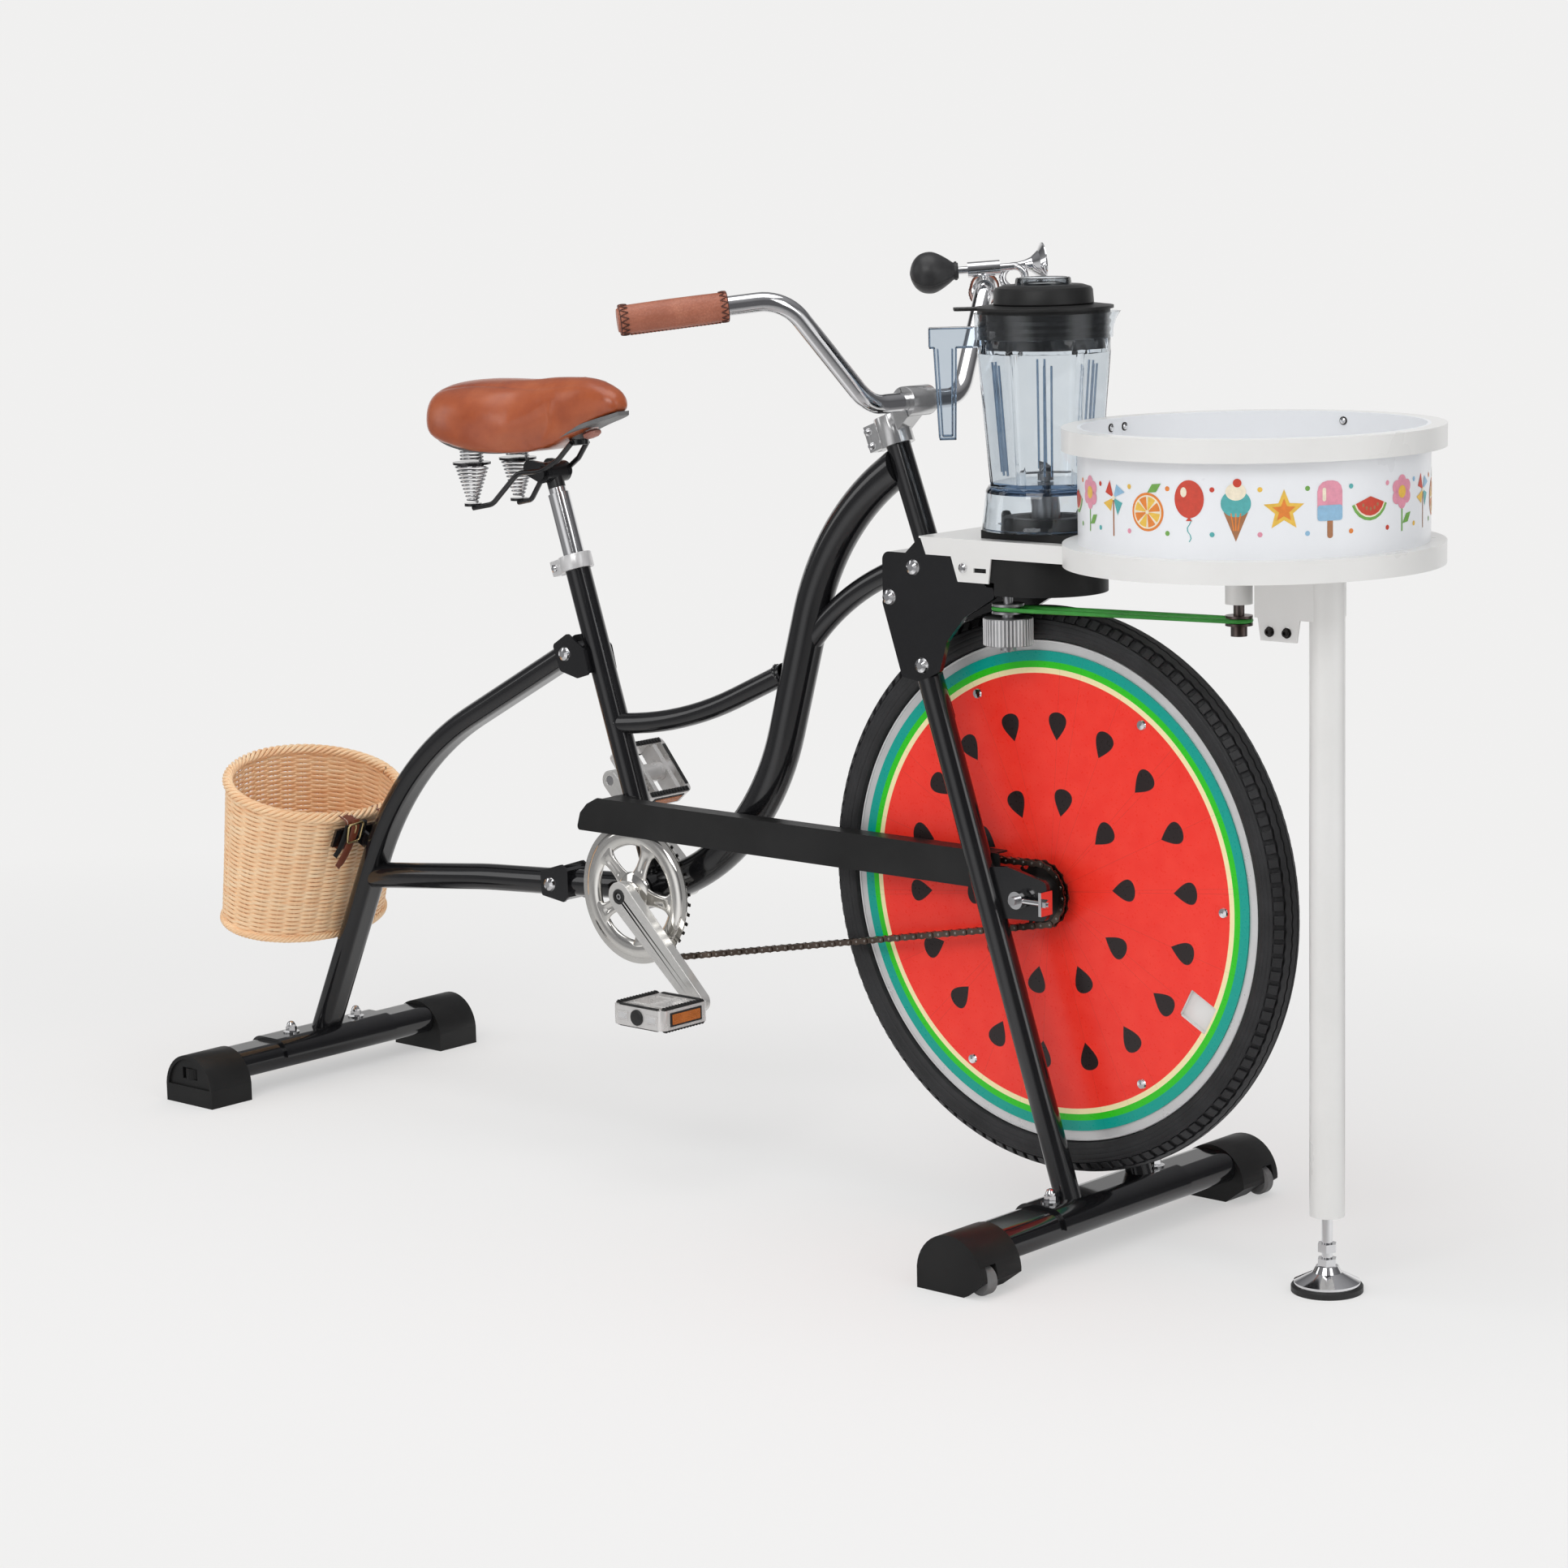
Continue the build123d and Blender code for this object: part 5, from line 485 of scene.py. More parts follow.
# Forms
class Form:
    """Points and faces of a piece while it is put together, in metres."""

    def __init__(self):
        self.points, self.faces, self.marks = [], [], []

    def add_face(self, corners, mark):
        self.faces.append(tuple(corners))
        self.marks.append(mark)

    def skin(self, rings, closed=False, capped=True, mark=0):
        """Faces between rings with the same number of points."""
        first = len(self.points)
        count = len(rings[0])
        for ring in rings:
            self.points.extend(ring)
        rows = len(rings) if closed else len(rings) - 1
        for row in range(rows):
            low = first + row * count
            high = first + (row + 1) % len(rings) * count
            for spot in range(count):
                after = (spot + 1) % count
                self.add_face((low + spot, low + after, high + after, high + spot), mark)
        if capped and not closed:
            self.add_face(range(first + count - 1, first - 1, -1), mark)
            self.add_face(range(first + rows * count, first + rows * count + count), mark)

    def tube(self, route, radius, sides, closed=False, guide=None, flat=1.0):
        """Bar along a route, its radius in millimetres, or a function of the share of its length.

        Flat is its thickness across the guide, as a share of that along it.
        """
        count = len(route)
        lift = guide
        rings = []
        for number, spot in enumerate(route):
            before = route[number - 1] if number or closed else spot
            after = route[(number + 1) % count] if number + 1 < count or closed else spot
            way = (after - before).normalized()
            toward = guide or lift or way.orthogonal()
            lift = (toward - way * toward.dot(way)).normalized()
            size = radius(number / max(count - 1, 1)) if callable(radius) else radius
            place = local(spot, lift, way.cross(lift))
            rings.append([place(size * cos(turn), size * flat * sin(turn)) for turn in spaced(sides)])
        self.skin(rings, closed)

    def turned(self, origin, axis, outline, steps, hoop=False, mark=0):
        """Turned shape; the outline's pairs are (radius, distance along the axis) in millimetres."""
        side = axis.orthogonal().normalized()
        place = local(origin, axis, side, axis.cross(side))
        rings = [[place(height, radius * cos(turn), radius * sin(turn)) for turn in spaced(steps)]
                 for radius, height in outline]
        self.skin(rings, closed=hoop, mark=mark)

    def block(self, centre, size, ways, edge, mark=0):
        """Box with bevelled edges; size and edge in millimetres along three directions."""
        place = local(centre, *ways)
        top = size[2] / 2
        rings = []
        for height, inset in ((-top, edge), (edge - top, 0), (top - edge, 0), (top, edge)):
            wide, deep = size[0] / 2 - inset, size[1] / 2 - inset
            corners = [(wide - edge, -deep), (wide, edge - deep), (wide, deep - edge), (wide - edge, deep),
                       (edge - wide, deep), (-wide, deep - edge), (-wide, edge - deep), (edge - wide, -deep)]
            rings.append([place(*corner, height) for corner in corners])
        self.skin(rings, mark=mark)


def add_piece(name, form, looks, body, stands_for=(), crease=38):
    """Makes the mesh object of a form, with one finish or several, and sets it on its body."""
    mesh = bpy.data.meshes.new(name)
    mesh.from_pydata(form.points, [], form.faces)
    for look in looks.split():
        mesh.materials.append(finishes[look])
    mesh.polygons.foreach_set("material_index", form.marks)
    work = bmesh.new()
    work.from_mesh(mesh)
    bmesh.ops.remove_doubles(work, verts=work.verts, dist=1e-6)
    bmesh.ops.recalc_face_normals(work, faces=work.faces)
    work.to_mesh(mesh)
    work.free()
    mesh.shade_smooth()
    mesh.set_sharp_from_angle(angle=math.radians(crease))
    piece = bpy.data.objects.new(name, mesh)
    scene.collection.objects.link(piece)
    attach(piece, body)
    if stands_for:
        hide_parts(*stands_for)
    return piece


def smooth_line(corners, steps):
    """Points of a smooth curve through the corners."""
    ends = [corners[0] * 2 - corners[1]] + list(corners) + [corners[-1] * 2 - corners[-2]]
    line = []
    for number in range(len(corners) - 1):
        first, second, third, fourth = ends[number:number + 4]
        for step in range(steps):
            t = step / steps
            line.append(0.5 * (2 * second + (third - first) * t + (2 * first - 5 * second + 4 * third - fourth) * t * t
                               + (3 * second - first - 3 * third + fourth) * t ** 3))
    line.append(corners[-1])
    return line


def neighbours(loop):
    """Each point of a closed loop with the one after it."""
    return zip(loop, loop[1:] + loop[:1])


# Wheel
TYRE_MIDDLE = 301.25
TYRE_DEEP = 22.25
TYRE_WIDE = 24.0
BEAD_RADIUS = 286.2
BEAD_HALF = 12.0
TREAD_PITCHES = 127
TREAD_DEEP = 3.8
TREAD_EDGES = (62, 68)
WALL_RIDGES = (78, 93, 108)
BEAD_SECTION = 126
TREAD_ROOT = TREAD_DEEP + 0.3
TREAD_RIBS = ((-32, -13), (-10, 10), (13, 32))
RIB_SWAY = 1.7
BLOCK_SHARE = 0.64
BLOCK_EDGES = (37, 51, 65)
RIM_EDGE = ((285.2, 13.9), (285.9, 14.6), (285.2, 15.2), (283.9, 14.9), (283.4, 14.1))
VALVE_TURN = -28.4
POCKET_RADIUS = 233
POCKET_FLOOR, POCKET_WALL = 9.5, 12
VALVE_RADIUS = 261.5


def tyre_spot(section, drop, turn):
    """Point of the tyre by its angle round the section, its depth below the tread, and its angle round the wheel."""
    radius = TYRE_MIDDLE + (TYRE_DEEP - drop) * cos(section)
    return axle + (along(turn) * radius + LEFT * ((TYRE_WIDE - drop) * sin(section))) * MM


def tyre_wall_drop(section):
    """Depth of the plain carcass: sunk under the tread, with fine ridges on the walls."""
    reach = abs(section)
    near, far = TREAD_EDGES
    if reach < far:
        return TREAD_DEEP * min(1, (far - reach) / (far - near))
    return 0.45 if reach in WALL_RIDGES else 0.0


def add_tyre():
    """Tyre with zigzag ribs along the middle and square blocks on both shoulders."""
    form = Form()
    turns = spaced(2 * TREAD_PITCHES)
    sections = range(-BEAD_SECTION, BEAD_SECTION + 1, 3)
    rings = []
    for turn in turns:
        ring = [tyre_spot(section, tyre_wall_drop(section), turn) for section in sections]
        ring += [axle + (along(turn) * BEAD_RADIUS + LEFT * half) * MM for half in (BEAD_HALF, -BEAD_HALF)]
        rings.append(ring)
    form.skin(rings, closed=True)
    for low, high in TREAD_RIBS:
        outline = [(low, TREAD_ROOT), (low + 1, 0), ((low + high) / 2, 0), (high - 1, 0), (high, TREAD_ROOT)]
        rings = []
        for step, turn in enumerate(turns):
            sway = RIB_SWAY if step % 2 else -RIB_SWAY
            rings.append([tyre_spot(section + sway, drop, turn) for section, drop in outline])
        form.skin(rings, closed=True)
    pitch = 360 / TREAD_PITCHES
    for number in range(TREAD_PITCHES):
        for side in (1, -1):
            start = (number + (0.5 if side > 0 else 0)) * pitch
            rings = []
            for drop, inset in ((TREAD_ROOT, 0), (0.5, 0), (0, 0.05)):
                near, middle, far = BLOCK_EDGES
                near, far = near + 20 * inset, far - 20 * inset
                first, last = start + inset * pitch, start + (BLOCK_SHARE - inset) * pitch
                outline = [(near, first), (middle, first), (far, first), (far, last), (middle, last), (near, last)]
                rings.append([tyre_spot(side * section, drop, turn) for section, turn in outline])
            form.skin(rings)
    add_piece("tyre_with_tread", form, "tyre_rubber", "wheel", ["tyre"], 30)


def add_wheel_details():
    """Bright rim edges, white valve pockets and the valve."""
    form = Form()
    for side in (1, -1):
        form.turned(axle, LEFT, [(radius, side * reach) for radius, reach in RIM_EDGE], 180, hoop=True)
    add_piece("rim_edges", form, "satin_silver", "wheel")
    out = along(VALVE_TURN)
    ways = (out, LEFT.cross(out), LEFT)
    pocket = local(axle + out * (POCKET_RADIUS * MM), *ways)
    form = Form()
    for side in (1, -1):
        form.block(pocket(0, 0, side * POCKET_FLOOR), (46, 43, 1.5), ways, 0.4)
        for edge in (1, -1):
            form.block(pocket(edge * 19.5, 0, side * POCKET_WALL), (1.2, 37, 6), ways, 0.2)
            form.block(pocket(0, edge * 18, side * POCKET_WALL), (38, 1.2, 6), ways, 0.2)
    add_piece("valve_pockets", form, "white_paint", "wheel")
    form = Form()
    outline = [(0, 0), (3.2, 0), (3.2, 4), (2.6, 5), (2.6, 12), (4.0, 12.5), (4.2, 20), (3.4, 22), (0, 22)]
    form.turned(axle + out * (VALVE_RADIUS * MM), -out, outline, 20)
    add_piece("valve_stem", form, "black_rubber", "wheel")


# Chain drive
CHAIN_PITCH = 12.7
RING_TEETH = 42
SPROCKET_TEETH = 18
CHAIN_SIDE = -36.0
TOOTH_REACH = 9.0
PLATE_END = 4.1
PLATE_WAIST = 2.9
PLATE_DEPTHS = ((2.6, 3.6), (3.7, 4.6))


def chain_rollers():
    """Roller places round the whole loop, forward and up from the axle in millimetres, and whether teeth reach each."""
    ring = Vector((bracket.x - axle.x, bracket.z - axle.z)) / MM
    ring_radius, cog_radius = [CHAIN_PITCH / (2 * sin(180 / teeth)) for teeth in (RING_TEETH, SPROCKET_TEETH)]
    heading = math.degrees(math.atan2(-ring.y, -ring.x))
    dip = math.degrees(math.asin((ring_radius - cog_radius) / ring.length))

    def behind(turn):
        return 90 - dip < (turn - heading) % 360 < 270 + dip

    def run(first, last):
        count = round((last - first).length / CHAIN_PITCH)
        return [first.lerp(last, number / count) for number in range(1, count)]

    ring_turns = [turn for turn in spaced(RING_TEETH) if behind(turn)]
    ring_turns.sort(key=lambda turn: (turn - heading) % 360)
    cog_turns = [turn for turn in spaced(SPROCKET_TEETH) if not behind(turn)]
    cog_turns.sort(key=lambda turn: (turn - heading + 180) % 360)
    on_ring = [ring + polar(ring_radius, turn) for turn in ring_turns]
    on_cog = [polar(cog_radius, turn) for turn in cog_turns]
    rollers = on_ring + run(on_ring[-1], on_cog[0]) + on_cog + run(on_cog[-1], on_ring[0])
    gaps = [min((spot - ring).length - ring_radius, spot.length - cog_radius) for spot in rollers]
    return [(spot, gap < TOOTH_REACH) for spot, gap in zip(rollers, gaps)]


def add_chain():
    """Roller chain: pinned pairs of waisted plates, wide and narrow in turn; the teeth's paths are left free."""
    form = Form()
    rollers = [(at(spot.x, CHAIN_SIDE, spot.y), toothed) for spot, toothed in chain_rollers()]
    for number, ((spot, toothed), (after, _)) in enumerate(neighbours(rollers)):
        way = (after - spot).normalized()
        link = local(spot, way, way.cross(LEFT), LEFT)
        length = (after - spot).length / MM
        outline = [Vector((length, 0)) + polar(PLATE_END, turn) for turn in range(-75, 76, 25)]
        outline.append((length / 2, PLATE_WAIST))
        outline += [polar(PLATE_END, turn) for turn in range(105, 256, 25)]
        outline.append((length / 2, -PLATE_WAIST))
        for side in (1, -1):
            form.skin([[link(*corner, side * depth) for corner in outline] for depth in PLATE_DEPTHS[number % 2]])
            if toothed:
                form.turned(link(0, 0, side * 2.6), LEFT * side, [(1.8, 0), (1.8, 1.8), (1.2, 2.2)], 10, mark=1)
        if not toothed:
            form.turned(link(0, 0, -2.5), LEFT, [(3.9, 0), (3.9, 5)], 14, mark=1)
            form.turned(link(0, 0, -4.8), LEFT, [(1.2, 0), (1.8, 0.4), (1.8, 9.2), (1.2, 9.6)], 10, mark=1)
    add_piece("roller_chain", form, "chain_plates chain_pins", "stand", ["chain"], 30)


CRANK_ANGLE = -43.0
CRANK_LENGTH = 170
CRANK_FACES = ((1, 57.0), (-1, 72.0))
GUARD_FACE = 42.1
GUARD_RING = [(59.6, 0.2), (88.0, 0.2), (88.4, 1.0), (88.0, 2.2), (81.6, 2.4), (80.8, 3.2), (78.0, 5.0), (73.0, 6.2),
              (67.0, 6.0), (62.4, 4.4), (60.2, 2.6)]
GUARD_BOSS = [(8.6, 42.2), (27, 42.2), (27, 46.0), (24, 48.6), (16.4, 49.4), (15, 50.4), (15, 57.9), (8.6, 57.9)]
# Reach, half width and depth of the groove along one arm of the guard
GUARD_ARM = ((16, 14, 0), (24, 11.6, 0), (29, 10.2, 0), (32, 9.5, 1.6), (36, 8.9, 2.2), (44, 8.6, 2.2), (50, 9.0, 2.2),
             (54, 9.8, 1.8), (57, 11.4, 0), (61, 15, 0), (65, 21, 0))
PEDAL_LENGTH = 84.0
PEDAL_WIDTH = 80.0
PEDAL_HEIGHT = 24.0
STRIP_INSET = 4.5
TOOTH_PITCH = 5.2
REFLECTOR_FACE = PEDAL_LENGTH / 2 + 0.15
PANEL_REACH = 24


def add_crank_details():
    """Bolt caps in the crank ends, and the rounded chrome guard over the chainring."""
    form = Form()
    for side, face in CRANK_FACES:
        cap = bracket + LEFT * (side * (face - 1.9) * MM)
        form.turned(cap, LEFT * side, [(9.5, 0), (9.5, 2.4), (8.6, 3.0), (6.2, 2.8), (5.6, 1.4), (0, 1.4)], 28)
        form.turned(cap, LEFT * side, [(4.0, 0.5), (4.0, 2.2), (2.2, 2.2), (2.2, 1.2), (0, 1.2)], 6, mark=1)
    add_piece("crank_bolts", form, "black_rubber chrome", "crank")
    form = Form()
    face = bracket - LEFT * (GUARD_FACE * MM)
    form.turned(face, -LEFT, GUARD_RING, 144, hoop=True)
    for arm in spaced(5):
        out = along(CRANK_ANGLE + 36 + arm)
        place = local(face, out, out.cross(LEFT), -LEFT)
        rings = []
        for reach, wide, dip in GUARD_ARM:
            ring = []
            for turn in spaced(28):
                across, high = cos(turn), sin(turn)
                lift = 3.0 + 2.9 * math.copysign(abs(high) ** 0.7, high)
                if high > 0:
                    lift -= dip * math.exp(-(across / 0.42) ** 4)
                ring.append(place(reach, across * wide, lift))
            rings.append(ring)
        form.skin(rings)
    form.turned(bracket, -LEFT, GUARD_BOSS, 64, hoop=True)
    add_piece("chainring_cover", form, "polished", "crank", ["chainring_guard"], 40)


def add_pedal_trim(name, side, middle_side, tilt):
    """Grip strips, reflectors and axle cap of one pedal, laid on its cage."""
    end = bracket - along(CRANK_ANGLE) * (side * CRANK_LENGTH * MM)
    ways = (along(tilt), LEFT, along(tilt + 90))
    place = local(Vector((end.x, side * middle_side * MM, end.z)), *ways)
    form = Form()
    for level in (1, -1):
        high = level * (PEDAL_HEIGHT / 2 + 0.9)
        for reach in (1, -1):
            strip = reach * (PEDAL_LENGTH / 2 - STRIP_INSET)
            form.block(place(strip, 0, high), (6.5, PEDAL_WIDTH - 12, 1.8), ways, 0.4)
            for number in range(-6, 7):
                form.block(place(strip, number * TOOTH_PITCH, high + level * 1.4), (6.0, 2.8, 1.8), ways, 0.5)
            form.block(place(0, reach * (PEDAL_WIDTH / 2 - 4), high), (PEDAL_LENGTH - 22, 5.0, 1.6), ways, 0.4)
    outer = side * PEDAL_WIDTH / 2
    for reach in (1, -1):
        form.block(place(reach * REFLECTOR_FACE, 0, 0), (1.6, 54, 17), ways, 0.4)
        form.block(place(reach * (REFLECTOR_FACE + 0.7), 0, 0), (1.4, 48, 12.5), ways, 0.4, mark=1)
        for row in range(-2, 3):
            form.block(place(reach * (REFLECTOR_FACE + 1.35), 0, row * 2.4), (0.5, 46, 0.8), ways, 0.15, mark=1)
        form.block(place(reach * PANEL_REACH, outer, 0), (18, 1.2, 11), ways, 0.4, mark=2)
        form.block(place(reach * PANEL_REACH, outer + side * 0.4, 0), (13.5, 1.2, 7), ways, 0.4, mark=3)
    form.turned(place(0, outer, 0), LEFT * side, [(9.6, -1), (9.6, 1.8), (8.6, 2.8), (5.0, 3.2), (0, 3.3)], 32)
    looks = "black_rubber amber pedal_silver satin_silver"
    add_piece(name, form, looks, name.replace("_trim", ""))


# Saddle
# Forward place, half width, underside and top of the cushion, and half its section as shares of those
SADDLE_STATIONS = [(-955, 46, 500, 531), (-950, 63, 490, 541), (-933, 82, 480, 547), (-895, 88, 470, 549.5),
                   (-850, 80, 464, 548.5), (-808, 57, 464, 549.5), (-765, 37.5, 475, 555), (-716, 28, 499, 556.5),
                   (-682, 20, 513.5, 546), (-671, 14, 517, 537), (-667, 9, 520, 531)]
SADDLE_SECTION = [(0, 0), (0.45, 0), (0.84, 0.01), (0.965, 0.12), (0.985, 0.3), (0.95, 0.55), (0.82, 0.77), (0.6, 0.9),
                  (0.3, 0.98), (0, 1)]
CREASE_START = -945
CREASE_LENGTH = 245
SPRING_FORWARD = -897
SPRING_SIDE = 40
# Foot, radii at foot and top, rise, turns and wire of each spring
COILS = ((399, 6.0, 21, 46, 10, 1.35), (450.9, 14, 14, 12.7, 3, 1.3))
PAD_GRID = 0.0045
PAD_PRESSURE, PAD_SWELL = 4, 0.004
SWELL_FRAMES = 20
NOSE_SLOPE = ((-730, 0, 493), (-668, 0, 514))
NOSE_PLATES = ((-690, 15, 508.6), (-712, 19, 500.5))


def saddle_rings():
    """Rings of the cushion from its tail to its nose."""
    half_ring = smooth_line([Vector(spot) for spot in SADDLE_SECTION], 4)
    whole = half_ring + [Vector((-spot.x, spot.y)) for spot in reversed(half_ring[1:-1])]
    return [[at(station, spot.x * half, low + spot.y * (high - low)) for spot in whole]
            for station, half, low, high in smooth_line([Vector(station) for station in SADDLE_STATIONS], 6)]


def modify(item, kind, **settings):
    """New modifier of an object."""
    made = item.modifiers.new(kind.lower(), kind)
    for name, value in settings.items():
        setattr(made, name, value)
    return made


def keep_modifiers(piece):
    """Replaces the mesh by what its modifiers make of it."""
    graph = bpy.context.evaluated_depsgraph_get()
    made = bpy.data.meshes.new_from_object(piece.evaluated_get(graph))
    piece.modifiers.clear()
    piece.data = made


def swell(piece, pressure, reach):
    """Blows a closed pad up a little as its stuffing does, and keeps the result in the mesh."""
    start = [vertex.co.copy() for vertex in piece.data.vertices]
    cloth = modify(piece, "CLOTH")
    cloth.settings.use_pressure = True
    cloth.settings.uniform_pressure_force = pressure
    cloth.settings.effector_weights.gravity = 0
    cloth.settings.quality = 6
    cloth.point_cache.frame_start = 1
    cloth.point_cache.frame_end = SWELL_FRAMES
    for number in range(1, SWELL_FRAMES + 1):
        scene.frame_set(number)
    graph = bpy.context.evaluated_depsgraph_get()
    swollen = [vertex.co.copy() for vertex in piece.evaluated_get(graph).data.vertices]
    piece.modifiers.remove(cloth)
    scene.frame_set(1)
    for vertex, first, last in zip(piece.data.vertices, start, swollen):
        move = last - first
        move *= min(1, reach / max(move.length, 1e-9))
        if vertex.normal.z < -0.6:
            move.z = max(move.z, 0)
        vertex.co = first + move


def add_saddle():
    """Padded leather saddle, swollen by cloth simulation, with two soft creases over its top."""
    form = Form()
    form.skin(saddle_rings())
    pad = add_piece("saddle_pad", form, "brown_leather", "saddle", ["saddle_cushion"], 180)
    modify(pad, "REMESH", mode="VOXEL", voxel_size=PAD_GRID)
    keep_modifiers(pad)
    modify(pad, "SMOOTH", factor=0.5, iterations=6)
    keep_modifiers(pad)
    swell(pad, PAD_PRESSURE, PAD_SWELL)
    modify(pad, "SMOOTH", factor=0.5, iterations=3)
    modify(pad, "SUBSURF", levels=1, render_levels=1)
    keep_modifiers(pad)
    pad.data.materials.clear()
    pad.data.materials.append(finishes["brown_leather"])
    for vertex in pad.data.vertices:
        share = ((vertex.co.x - axle.x) / MM - CREASE_START) / CREASE_LENGTH
        if vertex.normal.z > 0.2 and 0 < share < 1:
            beside = abs(vertex.co.y) / MM - (57 - 66 * share + 24 * share * share)
            fade = math.sin(math.pi * share) ** 0.6
            groove = 1.5 * math.exp(-(beside / 3.2) ** 2)
            lobe = 1.2 * math.exp(-((beside - 15) / 12) ** 2)
            vertex.co.z += (lobe - groove) * fade * MM
    pad.data.shade_smooth()
    low, high = [at(*spot) for spot in NOSE_SLOPE]
    slope = (high - low).normalized()
    ways = (slope, LEFT, LEFT.cross(slope))
    form = Form()
    for forward, wide, low in NOSE_PLATES:
        form.block(at(forward, 0, low), (20, wide, 2.2), ways, 0.9)
    add_piece("saddle_nose_plate", form, "matt_black", "saddle")
    form = Form()
    form.block(at(-722, 0, 488), (22, 16, 9), ways, 3)
    add_piece("saddle_nose_tab", form, "tab_pink", "saddle")


def coil(foot, narrow, wide, rise, turns):
    """Route of a spring that widens upwards."""
    steps = turns * 40
    shares = [step / steps for step in range(steps + 1)]
    return [foot + (around(360 * turns * share) * (narrow + (wide - narrow) * share) + UP * (rise * share)) * MM
            for share in shares]


def add_springs():
    """Wound saddle springs: a cone that widens upwards, and a short one above its plate."""
    form = Form()
    for side in (SPRING_SIDE, -SPRING_SIDE):
        for foot, narrow, wide, rise, turns, wire in COILS:
            form.tube(coil(at(SPRING_FORWARD, side, foot), narrow, wide, rise, turns), wire, 10)
    add_piece("wound_springs", form, "spring_wire", "saddle", ["saddle_springs"])


# Handlebar
GRIP_ROOT, GRIP_END = (-238, 176, 668.56), (-357, 315.5, 650.26)
GRIP_LENGTH = 120
LACED_ENDS = ((0.5, 8.5), (120.6, 111.5))
STITCHES, STITCH_PITCH = 24, 4.3
UNDERSIDE = 180
HORN_TURN, HORN_TILT = 42.4, 3
GRIP_OUTLINE = [(11.5, 0.6), (15.4, 0.0), (16.7, 0.9), (16.9, 2.4), (16.4, 4.2), (16.2, 8), (16.5, 30), (16.6, 60),
                (16.3, 92), (16.0, 111), (16.2, 116), (16.7, 118.6), (16.5, 120.6), (15.2, 121.4), (13.4, 121.2),
                (12.8, 123.2), (0, 123.8)]
LACES = 15
BULB_LENGTH = 56.5
BULB_OUTLINE = [(9.3, 0), (9.9, 3), (10.4, 6), (15.6, 13), (21.6, 23), (24.4, 32), (22.6, 43), (16.2, 51), (7.4, 55.4),
                (0.01, 56.4)]


def add_grips():
    """Leather sleeves, laced at both ends and sewn along the underside."""
    sleeve, lace = Form(), Form()
    for side in (1, -1):
        root, end = [at(forward, side * left, above) for forward, left, above in (GRIP_ROOT, GRIP_END)]
        way = (end - root).normalized()
        start = end - way * (GRIP_LENGTH * MM)
        lift = (UP - way * UP.dot(way)).normalized()
        place = local(start, way, lift, way.cross(lift))
        sleeve.turned(start, way, GRIP_OUTLINE, 72)

        def on_sleeve(reach, turn, radius):
            return place(reach, *polar(radius, turn))

        for rim, inner in LACED_ENDS:
            lace.tube([on_sleeve(rim, turn, 16.3) for turn in spaced(64)], 0.65, 6, closed=True)
            for first in spaced(LACES):
                for lean in (180 / LACES, -180 / LACES):
                    strand = [on_sleeve(rim + (inner - rim) * share, first + lean * share,
                                        17.15 - 0.45 * (2 * share - 1) ** 2) for share in (0, 0.25, 0.5, 0.75, 1)]
                    lace.tube(strand, 0.6, 6)
        for number in range(STITCHES):
            reach = 10 + number * STITCH_PITCH
            lace.tube([on_sleeve(reach + lean * 0.9, UNDERSIDE + lean * 6.3025, 16.7 + 0.7 * (1 - abs(lean)))
                       for lean in (-1, -0.5, 0, 0.5, 1)], 0.7, 6)
        sleeve.tube([on_sleeve(reach, UNDERSIDE, 16.75) for reach in range(9, 112, 3)], 1.0, 8)
    add_piece("leather_grips", sleeve, "tan_leather", "bars", ["grips"])
    add_piece("grip_lacing", lace, "dark_lace", "bars")


def add_horn_bulb():
    """Rubber squeeze bulb with its moulding line and neck ring."""
    way = around(HORN_TURN) * cos(HORN_TILT) + UP * sin(HORN_TILT)
    tip = min((vertex.co for vertex in nodes["horn_bulb"].data.vertices), key=way.dot)
    neck = tip + way * (BULB_LENGTH * MM)
    corners = [Vector(pair) for pair in BULB_OUTLINE]
    form = Form()
    form.turned(neck, -way, [(4.6, 0), *smooth_line(corners, 5)], 56)
    form.turned(neck, -way, [(9.2, 1.0), (10.9, 1.6), (11.2, 3.2), (10.6, 4.6), (9.2, 4.8)], 40, hoop=True)
    place = local(neck, -way, way.orthogonal().normalized())
    profile = smooth_line(corners, 4)[4:]
    line = [place(spot.y, spot.x + 0.05) for spot in profile]
    line += [place(spot.y, -spot.x - 0.05) for spot in reversed(profile)]
    form.tube(line, 0.45, 6)
    add_piece("squeeze_bulb", form, "bulb_rubber", "bars", ["horn_bulb"])


# Basket
BASKET_LEAN = 22.9
BASKET_AXIS = along(90 - BASKET_LEAN)
BASKET_BACK = along(180 - BASKET_LEAN)
BASKET_SIDE = -10
BASKET_TOP = at(-1256.6, BASKET_SIDE, 5.1)
BASKET_HIGH = 183.0
BASE_HALF, BASE_DEEP, BASE_SHIFT = 132.8, 66, 40.6
RIM_HALF, RIM_DEEP = 135, 93.5
WEAVE_INSET, WEAVE_SWING = -2.6, 1.7
WEAVER, STAKE, FLOOR_CANE = 2.5, 1.4, 3.4
FLOOR_SHARE, FLOOR_INSET = 0.03, -4
STAKES = 28
STAKE_STEPS = 8
ROWS = 56
BRAID_STRANDS = 5
STRAP_SIDE = 33
STRAP_HALF, STRAP_FLAT = 11, 0.115
STRAP_BACK, STRAP_LAP = -108.8, 10.5
STRAP_MIDDLE, STRAP_REACH, STRAP_CORNER = -21.5, 16.75, 5
STITCH_LENGTH, STITCH_SIDE = 4.5, 8.2
in_basket = local(BASKET_TOP, BASKET_AXIS, BASKET_BACK, LEFT)


